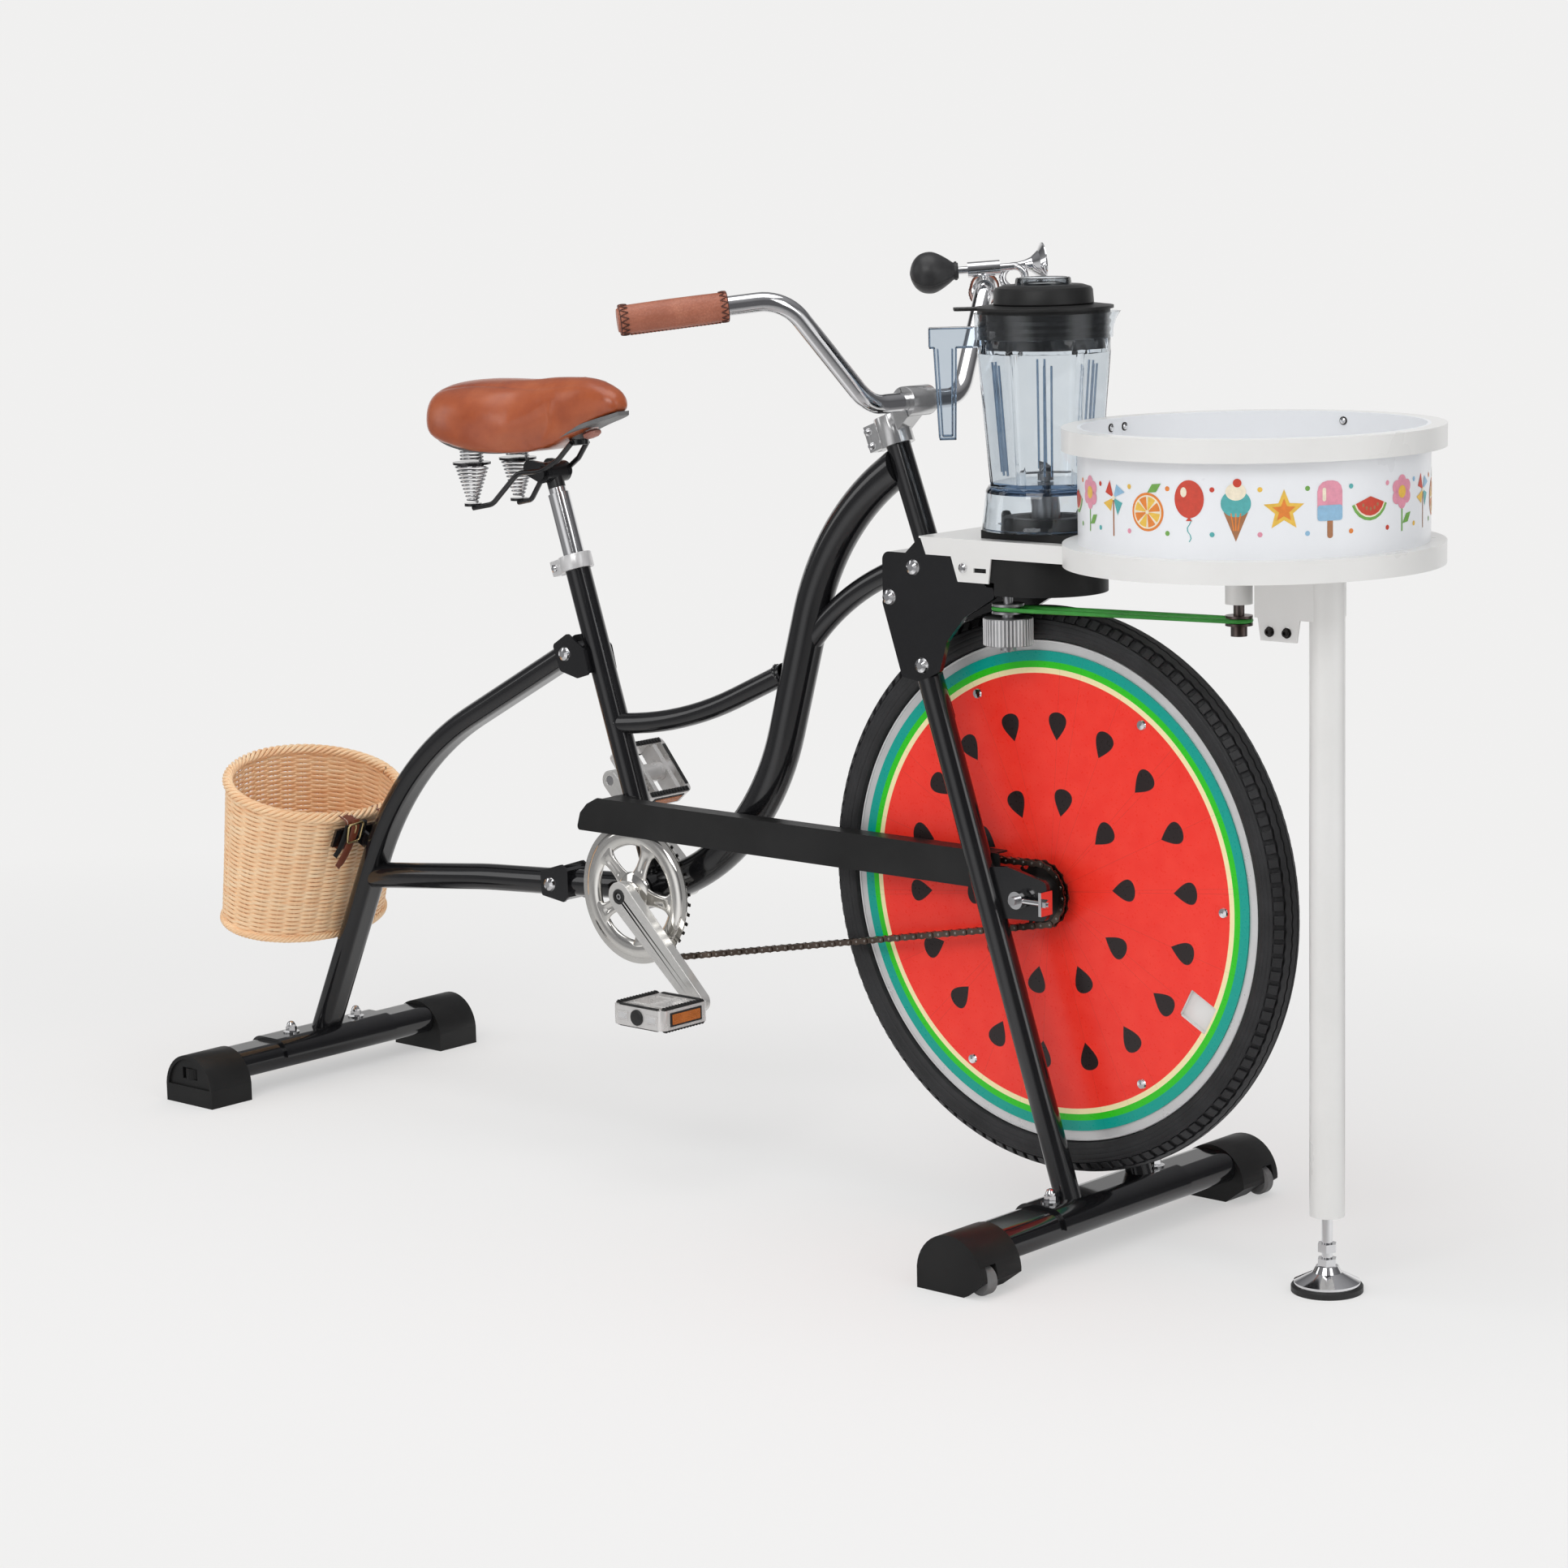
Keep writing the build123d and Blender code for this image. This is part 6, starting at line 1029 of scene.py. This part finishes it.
def basket_spot(share, turn, out=0.0):
    """Point of the basket's wall by its share of the height and its angle, moved outwards in millimetres."""
    rest = 1 - share
    half = BASE_HALF + (RIM_HALF - BASE_HALF) * share + out
    deep = BASE_DEEP + (RIM_DEEP - BASE_DEEP) * share + out
    return in_basket(-BASKET_HIGH * rest, deep * sin(turn) - BASE_SHIFT * rest, half * cos(turn))


def basket_turns():
    """Angles that space the stakes evenly round the oval."""
    fine = spaced(2000)
    lengths = [0.0]
    for first, second in neighbours(fine):
        lengths.append(lengths[-1] + (basket_spot(0.6, second) - basket_spot(0.6, first)).length)
    turns = []
    step = 0
    for number in range(STAKE_STEPS * STAKES):
        while lengths[step + 1] < lengths[-1] * number / (STAKE_STEPS * STAKES):
            step += 1
        turns.append(fine[step])
    return turns


def braid(form, share, out, core, thick, twists, rise):
    """Rope of slanting strands laid round the oval."""
    for first in spaced(BRAID_STRANDS):
        route = []
        for turn in spaced(twists * 24):
            spin = polar(core, twists * turn + first)
            middle = basket_spot(share, turn)
            outward = (basket_spot(share, turn, 1) - middle).normalized()
            route.append(middle + (outward * (out + spin.x) + BASKET_AXIS * (rise + spin.y)) * MM)
        form.tube(route, thick, 7, closed=True)


def add_basket():
    """Woven basket: stakes, weavers over and under them, and braids along the rim and the foot."""
    turns = basket_turns()
    rows = Form()
    for row in range(ROWS):
        share = 0.035 + 0.925 * (row + 0.5) / ROWS
        route = []
        for number, turn in enumerate(turns):
            weave = cos(180 * (number / STAKE_STEPS + row))
            weave = math.copysign(abs(weave) ** 0.75, weave)
            wander = noise.noise(Vector((number * 0.11, row * 3.1, 0))) * 0.9
            route.append(basket_spot(share + wander * 0.0012, turn, WEAVE_INSET + WEAVE_SWING * weave + 0.2 * wander))
        rows.tube(route, WEAVER, 8, closed=True, guide=BASKET_AXIS, flat=0.66)
    add_piece("basket_weave", rows, "wicker", "stand", ["basket"])
    form = Form()
    for turn in turns[::STAKE_STEPS]:
        form.tube([basket_spot(share / 12, turn, WEAVE_INSET) for share in range(13)], STAKE, 7)
    braid(form, 1.0, -3.2, 5.0, 2.45, 15, -4.0)
    braid(form, 0.0, -1.0, 3.4, 1.9, 21, 4.0)
    left, right = [basket_spot(FLOOR_SHARE, turn, FLOOR_INSET) for turn in (0, 180)]
    middle = left.lerp(right, 0.5)
    for level in range(1, 10):
        route = []
        for number, turn in enumerate(turns):
            weave = cos(180 * (number / STAKE_STEPS + level)) * 1.3
            spot = basket_spot(FLOOR_SHARE, turn, FLOOR_INSET)
            route.append(middle.lerp(spot, level / 9.6) + BASKET_AXIS * (weave * MM))
        form.tube(route, FLOOR_CANE, 7, closed=True, guide=BASKET_AXIS, flat=1.6)
    add_piece("basket_braids", form, "wicker", "stand")


def add_stitches(thread, route, heart):
    """Two rows of stitches along a strap's closed loop."""
    for edge in (1, -1):
        for spot, after in neighbours(route):
            count = max(1, int((after - spot).length / MM / STITCH_LENGTH))
            for bit in range(count):
                first, last = [spot.lerp(after, (bit + share) / count) for share in (0.15, 0.75)]
                outward = first.lerp(last, 0.5) - heart
                outward = (outward - LEFT * outward.dot(LEFT)).normalized()
                lift = (outward * 1.05 + LEFT * (edge * STITCH_SIDE)) * MM
                thread.tube([first + lift, first.lerp(last, 0.5) + lift * 1.03, last + lift], 0.45, 5)


def add_straps():
    """Stitched leather straps with brass buckles that hold the basket to the stay."""
    strap, thread, brass, black = Form(), Form(), Form(), Form()
    for side in (1, -1):
        wide = (side * STRAP_SIDE - BASKET_SIDE) / RIM_HALF
        near, far = STRAP_BACK, STRAP_LAP - RIM_DEEP * math.sqrt(1 - wide ** 2)
        middle = Vector((BASKET_TOP.x, side * STRAP_SIDE * MM, BASKET_TOP.z))
        place = local(middle, BASKET_BACK, BASKET_AXIS)
        centre = Vector(((near + far) / 2, STRAP_MIDDLE))
        reach = Vector(((far - near) / 2 - STRAP_CORNER - 1.25, STRAP_REACH))
        route = []
        for back, up, start in ((1, 1, 0), (-1, 1, 90), (-1, -1, 180), (1, -1, 270)):
            corner = centre + Vector((back * reach.x, up * reach.y))
            route += [place(*(corner + polar(STRAP_CORNER, turn))) for turn in range(start, start + 91, 18)]
        strap.tube(route, STRAP_HALF, 16, closed=True, guide=LEFT, flat=STRAP_FLAT)
        add_stitches(thread, route, place(*centre))
        hung = local(place(near - 2.6, 0), LEFT, -BASKET_BACK, -BASKET_AXIS)
        buckle = []
        for corner, after in neighbours([hung(-12, 3, 1), hung(13, 3, -2), hung(11, 5, 25), hung(-9.5, 5, 27)]):
            buckle += [corner.lerp(after, share) for share in (0.1, 0.5, 0.9)]
        brass.tube(buckle, 1.6, 10, closed=True)
        brass.tube([hung(0, 2.2, 0), hung(0.5, 4.6, 5), hung(0.5, 4.2, 13)], 1.0, 8)
        tail = [hung(*spot) for spot in ((1, -0.5, -5), (1, 1.6, 1), (0.5, 3.4, 12), (-1, 3.2, 24), (-5, 4.2, 38),
                                         (-12, 6.2, 51), (-20, 8.0, 60))]
        strap.tube(smooth_line(tail, 5), lambda share: 1.15 if share < 0.93 else 0.95, 16, guide=BASKET_BACK, flat=6.2)
        spare = [hung(*spot) for spot in ((-11, 0.2, 2), (-12, 0.8, 14), (-14, 1.2, 26), (-18, 2.0, 38),
                                          (-24, 3.2, 46))]
        black.tube(smooth_line(spare, 5), 1.1, 14, guide=BASKET_BACK, flat=4.6)
        black.block(hung(-side * 15, 1, 9), (11, 5, 22), (LEFT, BASKET_BACK, BASKET_AXIS), 1.2)
    add_piece("leather_straps", strap, "strap_leather", "stand", ["basket_straps"])
    add_piece("strap_stitching", thread, "pale_thread", "stand")
    add_piece("strap_buckles", brass, "brass", "stand")
    add_piece("strap_tabs", black, "matt_black", "stand")


# Drum
DRUM_FORWARD = 270.0
DRUM_RADIUS = 187.0
PRINT_MIDDLE = 858.0
MOTIF_COUNT = 24
SCREW_TURNS = (183, 175.5, 93, 3, 273)
SCREW_LEVELS = (922, 812)
SEAM_TURN, SEAM_MIDDLE = 179.5, 860
SCREW_RADIUS, SEAM_RADIUS = 183.2, 182.7
BOLT_PLACES, BOLT_SIDE, BOLT_DROP = (312, 334), -30, 68


class Print:
    """Flat motifs laid on the drum's wall; places in millimetres round the wall and up from the print's middle."""

    def __init__(self, form):
        self.form = form
        self.start = 0.0
        self.lift = 0.0

    def spot(self, across, up, layer):
        turn = math.degrees((self.start + across) / DRUM_RADIUS)
        radius = DRUM_RADIUS + 0.22 + 0.14 * layer
        return ground(DRUM_FORWARD + radius * sin(turn), -radius * cos(turn), PRINT_MIDDLE + self.lift + up)

    def patch(self, outline, mark, layer=0):
        """Filled outline that is seen whole from its centre."""
        outline = [Vector(spot) for spot in outline]
        centre = sum(outline, Vector((0, 0))) / len(outline)
        dense = []
        for spot, after in neighbours(outline):
            count = max(1, int((after - spot).length / 4))
            dense += [spot.lerp(after, bit / count) for bit in range(count)]
        loops = [[self.spot(*centre.lerp(spot, grow), layer) for spot in dense]
                 for grow in (0.001, 0.2, 0.4, 0.6, 0.8, 1)]
        self.form.skin(loops, capped=False, mark=mark)

    def disc(self, across, up, radius, mark, layer=0, tall=1.0):
        self.patch([(across + radius * cos(turn), up + radius * tall * sin(turn)) for turn in spaced(36)], mark, layer)

    def wedge(self, up, outer, start, end, mark, layer=0, inner=0.5):
        heart = Vector((0, up))
        arc = [heart + polar(outer, start + (end - start) * step / 8) for step in range(9)]
        self.patch([heart + polar(inner, start), *arc, heart + polar(inner, end)], mark, layer)

    def bar(self, left, low, right, high, mark, layer, corner):
        outline = []
        for x, y, start in ((right - corner, high - corner, 0), (left + corner, high - corner, 90),
                            (left + corner, low + corner, 180), (right - corner, low + corner, 270)):
            outline += [Vector((x, y)) + polar(corner, turn) for turn in range(start, start + 91, 30)]
        self.patch(outline, mark, layer)


ORANGE, CREAM, RED, YELLOW, GREEN, TURQUOISE, PINK, SKY, TAN = range(9)
DOTS = (ORANGE, RED, YELLOW, GREEN, TURQUOISE, PINK, SKY)
INKS = "orange_ink cream_ink red_ink yellow_ink green_ink turquoise_ink pink_ink sky_ink tan_ink"


def citrus(drawing):
    drawing.disc(0, -3, 20, ORANGE)
    drawing.disc(0, -3, 17.4, CREAM, 1)
    for number, turn in enumerate(spaced(8)):
        drawing.wedge(-3, 15.8, turn + 5, turn + 40, YELLOW if number % 2 else ORANGE, 2, 2.2)
    drawing.patch([(0, 17), (6, 26), (17, 27), (11, 18)], GREEN, 1)


def lolly(drawing):
    drawing.bar(-3.2, -30, 3.2, -8, TAN, 0, 2.8)
    drawing.bar(-14, -12, 14, 29, PINK, 1, 11)
    drawing.bar(-14, -12, 14, 4, SKY, 2, 3)
    drawing.bar(-8.5, 8, -4.5, 22, CREAM, 2, 1.9)


def balloon(drawing):
    for step in range(7):
        sway, after = 2.2 * math.sin(step * 1.3), 2.2 * math.sin((step + 1) * 1.3)
        low, high = -32 + step * 3.6, -32 + (step + 1) * 3.6
        drawing.patch([(sway - 0.6, low), (sway + 0.6, low), (after + 0.6, high), (after - 0.6, high)], TURQUOISE)
    drawing.disc(0, 12, 16, RED, 1, 1.22)
    drawing.patch([(-3.5, -10.5), (3.5, -10.5), (0, -6)], RED, 2)
    drawing.disc(-6, 19, 3.4, CREAM, 2, 1.5)


def cone(drawing):
    drawing.patch([(-12.5, -1), (12.5, -1), (0, -31)], TAN)
    for shift in (-5, 0, 5):
        foot = shift * 0.4
        drawing.patch([(shift - 0.6, -2), (shift + 0.6, -2), (foot + 0.6, -20), (foot - 0.6, -20)], ORANGE, 1)
    drawing.disc(0, 8, 15.5, TURQUOISE, 1, 0.9)
    drawing.disc(0, 20, 10.5, CREAM, 2, 0.85)
    drawing.disc(1.5, 29, 4.4, RED, 3)


def star(drawing):
    for reach, mark, layer in ((22, YELLOW, 0), (12.5, ORANGE, 1)):
        drawing.patch([polar(reach * (0.44 if step % 2 else 1), 90 + 36 * step) for step in range(10)], mark, layer)


def melon(drawing):
    for layer, (radius, mark) in enumerate(((25, GREEN), (21.8, CREAM), (20, RED))):
        drawing.wedge(10, radius, 200, 340, mark, layer)
    for turn in (222, 246, 270, 294, 318):
        across, up = polar(13, turn)
        drawing.disc(across, 10 + up, 1.4, TAN, 3, 1.4)


def flower(drawing):
    drawing.patch([(-1.2, -30), (1.2, -30), (1.2, 4), (-1.2, 4)], GREEN)
    drawing.patch([(1, -22), (8, -12), (17, -11), (11, -21)], GREEN, 1)
    for turn in spaced(6):
        across, up = polar(10.5, 30 + turn)
        drawing.disc(across, 11 + up, 7.2, PINK, 1)
    drawing.disc(0, 11, 6.6, YELLOW, 2)


def windmill(drawing):
    drawing.patch([(-1.1, -31), (1.1, -31), (1.1, 8), (-1.1, 8)], TAN)
    heart = Vector((0, 9))
    for turn, mark in zip(spaced(4), (SKY, RED, YELLOW, TURQUOISE)):
        drawing.patch([heart, heart + polar(19, turn + 20), heart + polar(15, turn + 71.566)], mark, 1)
    drawing.disc(0, 9, 2.6, CREAM, 2)


def add_drum_print():
    """A row of sweets, fruit and toys round the drum, with small dots between them."""
    form = Form()
    drawing = Print(form)
    motifs = [citrus, balloon, cone, star, lolly, melon, flower, windmill]
    gap = 2 * math.pi * DRUM_RADIUS / MOTIF_COUNT
    for number in range(MOTIF_COUNT):
        drawing.start = number * gap
        drawing.lift = 0.0
        motifs[number % len(motifs)](drawing)
        drawing.start += gap / 2
        for drawing.lift, dot in ((22, number), (-24, number + 3)):
            drawing.disc(0, 0, 2.6, DOTS[dot % len(DOTS)])
    add_piece("drum_print", form, INKS, "stand")


def add_drum_details():
    """Screws and the lap seam inside the drum, and the bolts of the post's bracket."""
    form = Form()
    for turn in SCREW_TURNS:
        out = around(turn)
        for level in SCREW_LEVELS:
            spot = ground(DRUM_FORWARD, 0, level) + out * (SCREW_RADIUS * MM)
            form.turned(spot, -out, [(0, 0), (4.7, 0), (4.7, 0.9), (3.7, 1.0), (3.7, 1.6), (0, 1.6)], 24, mark=1)
            form.turned(spot, -out, [(3.6, 1.2), (3.4, 2.2), (2.1, 3.0), (0, 3.2)], 20)
    add_piece("drum_screws", form, "chrome dark_steel", "stand")
    form = Form()
    out = around(SEAM_TURN)
    middle = ground(DRUM_FORWARD, 0, SEAM_MIDDLE) + out * (SEAM_RADIUS * MM)
    form.block(middle, (0.9, 16, 138), (out, UP.cross(out), UP), 0.3)
    add_piece("drum_lap_seam", form, "drum_white", "stand")
    form = Form()
    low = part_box("drum_hoops")[0].z / MM
    outline = [(0, -3), (2.4, -3), (2.4, 0), (5.6, 0), (5.6, 0.9), (4.2, 1.0), (4.2, 4.2), (3.6, 4.8), (2.0, 4.8),
               (1.8, 2.6), (0, 2.6)]
    for forward in BOLT_PLACES:
        form.turned(ground(forward, BOLT_SIDE, low - BOLT_DROP), -LEFT, outline, 24)
    add_piece("bracket_bolts", form, "dark_steel", "stand")


# Jug
JUG_CENTRE = ground(-12, 0, 0)
RIB_FOOT, RIB_TOP = (50.5, 868), (61.0, 990)
PAD_RADIUS, PAD_FOOT = 60.5, 807.5
HANDLE_TURN = 222
HANDLE_HALF = 10.6
HANDLE_OUTER = [(79, -8.6), (97.4, -8.6), (99.4, -109.6), (116.6, -109.6), (121.6, -8.6), (126.6, -8.6), (126.6, 12.6),
                (79, 12.6)]
HANDLE_INNER = [(101.6, -10), (102.8, -106), (113.6, -106), (117.8, -10)]
SPOUT_TURN = 42
SPOUT_HALF = 11.459
SKIRT_RADIUS = 71.5
SKIRT_TAPER = 5.0
SKIRT_HIGH = 0.049
CAP_SHELL = [(55.2, -20.6), (55.8, -19.6), (54.6, -5.4), (52.8, -2.6), (44, 0.3), (33, 0.7), (32.4, -0.2), (32.4, -3.0),
             (52.0, -6.0), (54.0, -20.6)]
COLLAR = ((76.6, 0), (76.8, 10), (77.0, 20), (77.2, 27.8), (75.2, 27.8), (74.6, 20), (74.6, 10), (74.6, 0))


def add_jug_details():
    """Upright ribs in the jug, the rubber pads in its skirt, the cap with its clear measure, and the spouted collar."""
    form = Form()
    for turn in spaced(6):
        out = around(HANDLE_TURN + 30 + turn)
        place = local(JUG_CENTRE, out, UP.cross(out), UP)
        for shift in (-4, 4):
            low, high = [place(reach, shift, height) for reach, height in (RIB_FOOT, RIB_TOP)]
            form.tube([low.lerp(high, share / 6) for share in range(7)], 1.3, 10)
    # Painted shade: the ribs take the dense edge plastic, whose deep blue stands for the dark look of clear ribs
    add_piece("jug_ribs", form, "clear_edge", "jug_body")
    form = Form()
    for turn in spaced(4):
        spot = JUG_CENTRE + (around(HANDLE_TURN + 45 + turn) * PAD_RADIUS + UP * PAD_FOOT) * MM
        form.turned(spot, UP, [(0, 0), (5.6, 0), (6, 3), (5.8, 12), (4.4, 15), (0, 16)], 24)
    add_piece("skirt_pads", form, "black_rubber", "jug_body")
    top = JUG_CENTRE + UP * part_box("filler_cap")[1].z
    form = Form()
    form.turned(top - UP * 0.0012, UP, [(0, 0), (31, 0), (31.6, 1), (30.4, 8.6), (29.2, 9.6), (26.5, 9.6), (26.0, 3.4),
                                        (0, 3.0)], 56)
    add_piece("measure_plug", form, "clear_jug", "lid_cap")
    form = Form()
    form.turned(top, UP, CAP_SHELL, 96, hoop=True)
    add_piece("cap_shell", form, "black_lid", "lid_cap", crease=30)
    low = JUG_CENTRE + UP * (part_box("lid")[0].z + 0.0115)
    rings = []
    for radius, height in COLLAR:
        ring = []
        for turn in spaced(216):
            lean = math.remainder(turn - SPOUT_TURN, 360) / SPOUT_HALF
            lip = 8.5 * math.exp(-lean ** 2) * max(0, (height - 4) / 24) ** 2.2
            ring.append(low + (around(turn) * (radius + lip) + UP * height) * MM)
        rings.append(ring)
    form = Form()
    form.skin(rings, closed=True)
    add_piece("jug_collar", form, "clear_jug", "jug_body")
    add_jug_edges(low)


def add_jug_edges(rim):
    """Painted shade: deep blue lines of dense plastic along the moulded edges of the handle and the skirt, standing in
    for the darkening that clear walls show where they are seen edge-on.
    """
    out = around(HANDLE_TURN)
    on_handle = local(rim, out, UP, UP.cross(out))
    form = Form()
    for side in (HANDLE_HALF, -HANDLE_HALF):
        for corners in (HANDLE_OUTER, HANDLE_INNER):
            for first, last in zip(corners, corners[1:]):
                start, end = on_handle(*first, side), on_handle(*last, side)
                form.tube([start.lerp(end, share / 4) for share in range(5)], 0.8, 8)
    for corner in HANDLE_OUTER[1:-1]:
        form.tube([on_handle(*corner, across) for across in (-HANDLE_HALF, 0, HANDLE_HALF)], 0.8, 8)
    dock_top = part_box("jug_dock")[1].z - 0.014
    for taper, height in ((0, dock_top + 0.0022), (SKIRT_TAPER, dock_top + SKIRT_HIGH - 0.0056)):
        radius = SKIRT_RADIUS - taper - 0.8
        hoop = [JUG_CENTRE + around(turn) * (radius * MM) + UP * height for turn in spaced(96)]
        form.tube(hoop, 0.9, 8, closed=True)
    add_piece("jug_edges", form, "clear_edge", "jug_body")


# Small ribbed parts and welds
ROLLER_PLACE, ROLLER_RIBS = (-26, -51.9, 0), (40, 27.3, (1.6, 2.2, 29.5), 0.4)
LEVELLER_PLACE, LEVELLER_RIBS = (-1271, 224.5, 41.3), (26, 12.35, (0.9, 1.6, 12.6), 0.25)


def ribs(centre, count, radius, size, edge):
    """Upright ribs round a wheel."""
    form = Form()
    for turn in spaced(count):
        out = around(turn)
        form.block(centre + out * (radius * MM), size, (out, UP.cross(out), UP), edge)
    return form


def add_knurls():
    """Ribbed sleeve on the friction roller and ribs on the levelling wheels."""
    middle = ground(*ROLLER_PLACE) + UP * (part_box("friction_roller")[0].z + 0.0235)
    add_piece("roller_knurl", ribs(middle, *ROLLER_RIBS), "satin_silver", "roller")
    for name, side in (("right_leveller", -1), ("left_leveller", 1)):
        forward, left, height = LEVELLER_PLACE
        form = ribs(ground(forward, side * left, height), *LEVELLER_RIBS)
        add_piece(name + "_ribs", form, "matt_black", name)


def weld_ring(form, centre, way, radius, cut_way, cut_slope, thick):
    """Bead round a round tube where it meets another surface."""
    axis = way.normalized()
    side = axis.orthogonal().normalized()
    other = axis.cross(side)
    route = []
    for step, turn in enumerate(spaced(56)):
        out = side * cos(turn) + other * sin(turn)
        ripple = 1 + 0.06 * math.sin(step * 2.6)
        route.append(centre + (out * ripple + axis * (cut_slope * out.dot(cut_way))) * (radius * MM))
    form.tube(route, thick, 6, closed=True)


def add_welds():
    """Weld beads where the frame's tubes join."""
    form = Form()
    weld_ring(form, bracket + seat_way * 0.0255, seat_way, 16.4, LEFT, 0.0, 1.5)
    weld_ring(form, at(-687, 0, 130.5), at(-570, 0, 143) - at(-691, 0, 130), 13.4, seat_way, 0.05, 1.4)
    weld_ring(form, at(-415, 0, 212.5), at(-410, 0, 215) - at(-570, 0, 143), 13.6, UP, -0.3, 1.5)
    weld_ring(form, at(-650, 0, -72), at(-772, 0, -80) - bracket, 17.4, UP, 0, 1.5)
    add_piece("frame_welds", form, "gloss_black", "stand")


# The CAD nodes' own look
SOFT_EDGES = dict(cranks=3.0, stem=2.0, foot_caps=3.0, jug=1.2, jug_dock=2.0, lid=0.8, chain_guard=1.0,
                  bracket_plates=0.8, pedal_right=1.2, pedal_left=1.2, table_arm=1.2, seat_collar=1.0, stay_lugs=1.0)


def finish_nodes():
    """Gives every node the finish of its material slot, or one of its own."""
    look_of = {part["node"]: part["material_slot"] for part in frame["record"]["subparts"]}
    look_of.update(stem="cast", seatpost="post", spinner="pulley", drum_wall="drum_white", cranks="crank_alloy",
                   chain_guard="guard_black", rim="satin_silver", pedal_right="pedal_silver", pedal_left="pedal_silver",
                   friction_roller="steel", seat_collar="satin_silver")
    for name, item in nodes.items():
        item.data.materials.clear()
        item.data.materials.append(finishes[look_of[name]])


def soften_edges():
    """Rounds the sharp edges of the rigid nodes; widths in millimetres."""
    for name, width in SOFT_EDGES.items():
        modify(nodes[name], "WELD", merge_threshold=0.00001)
        modify(nodes[name], "BEVEL", width=width * MM, segments=3, limit_method="ANGLE", angle_limit=math.radians(32),
               harden_normals=True, use_clamp_overlap=True)


scene.view_settings.view_transform = "Standard"
add_camera()
add_stage()
add_lights()
finishes = make_finishes()
finish_nodes()
add_tyre()
add_wheel_details()
add_chain()
add_crank_details()
add_pedal_trim("right_pedal_trim", -1, 132, 0.0)
add_pedal_trim("left_pedal_trim", 1, 117, -50.5)
add_saddle()
add_springs()
add_grips()
add_horn_bulb()
add_basket()
add_straps()
add_drum_print()
add_drum_details()
add_jug_details()
add_knurls()
add_welds()
soften_edges()
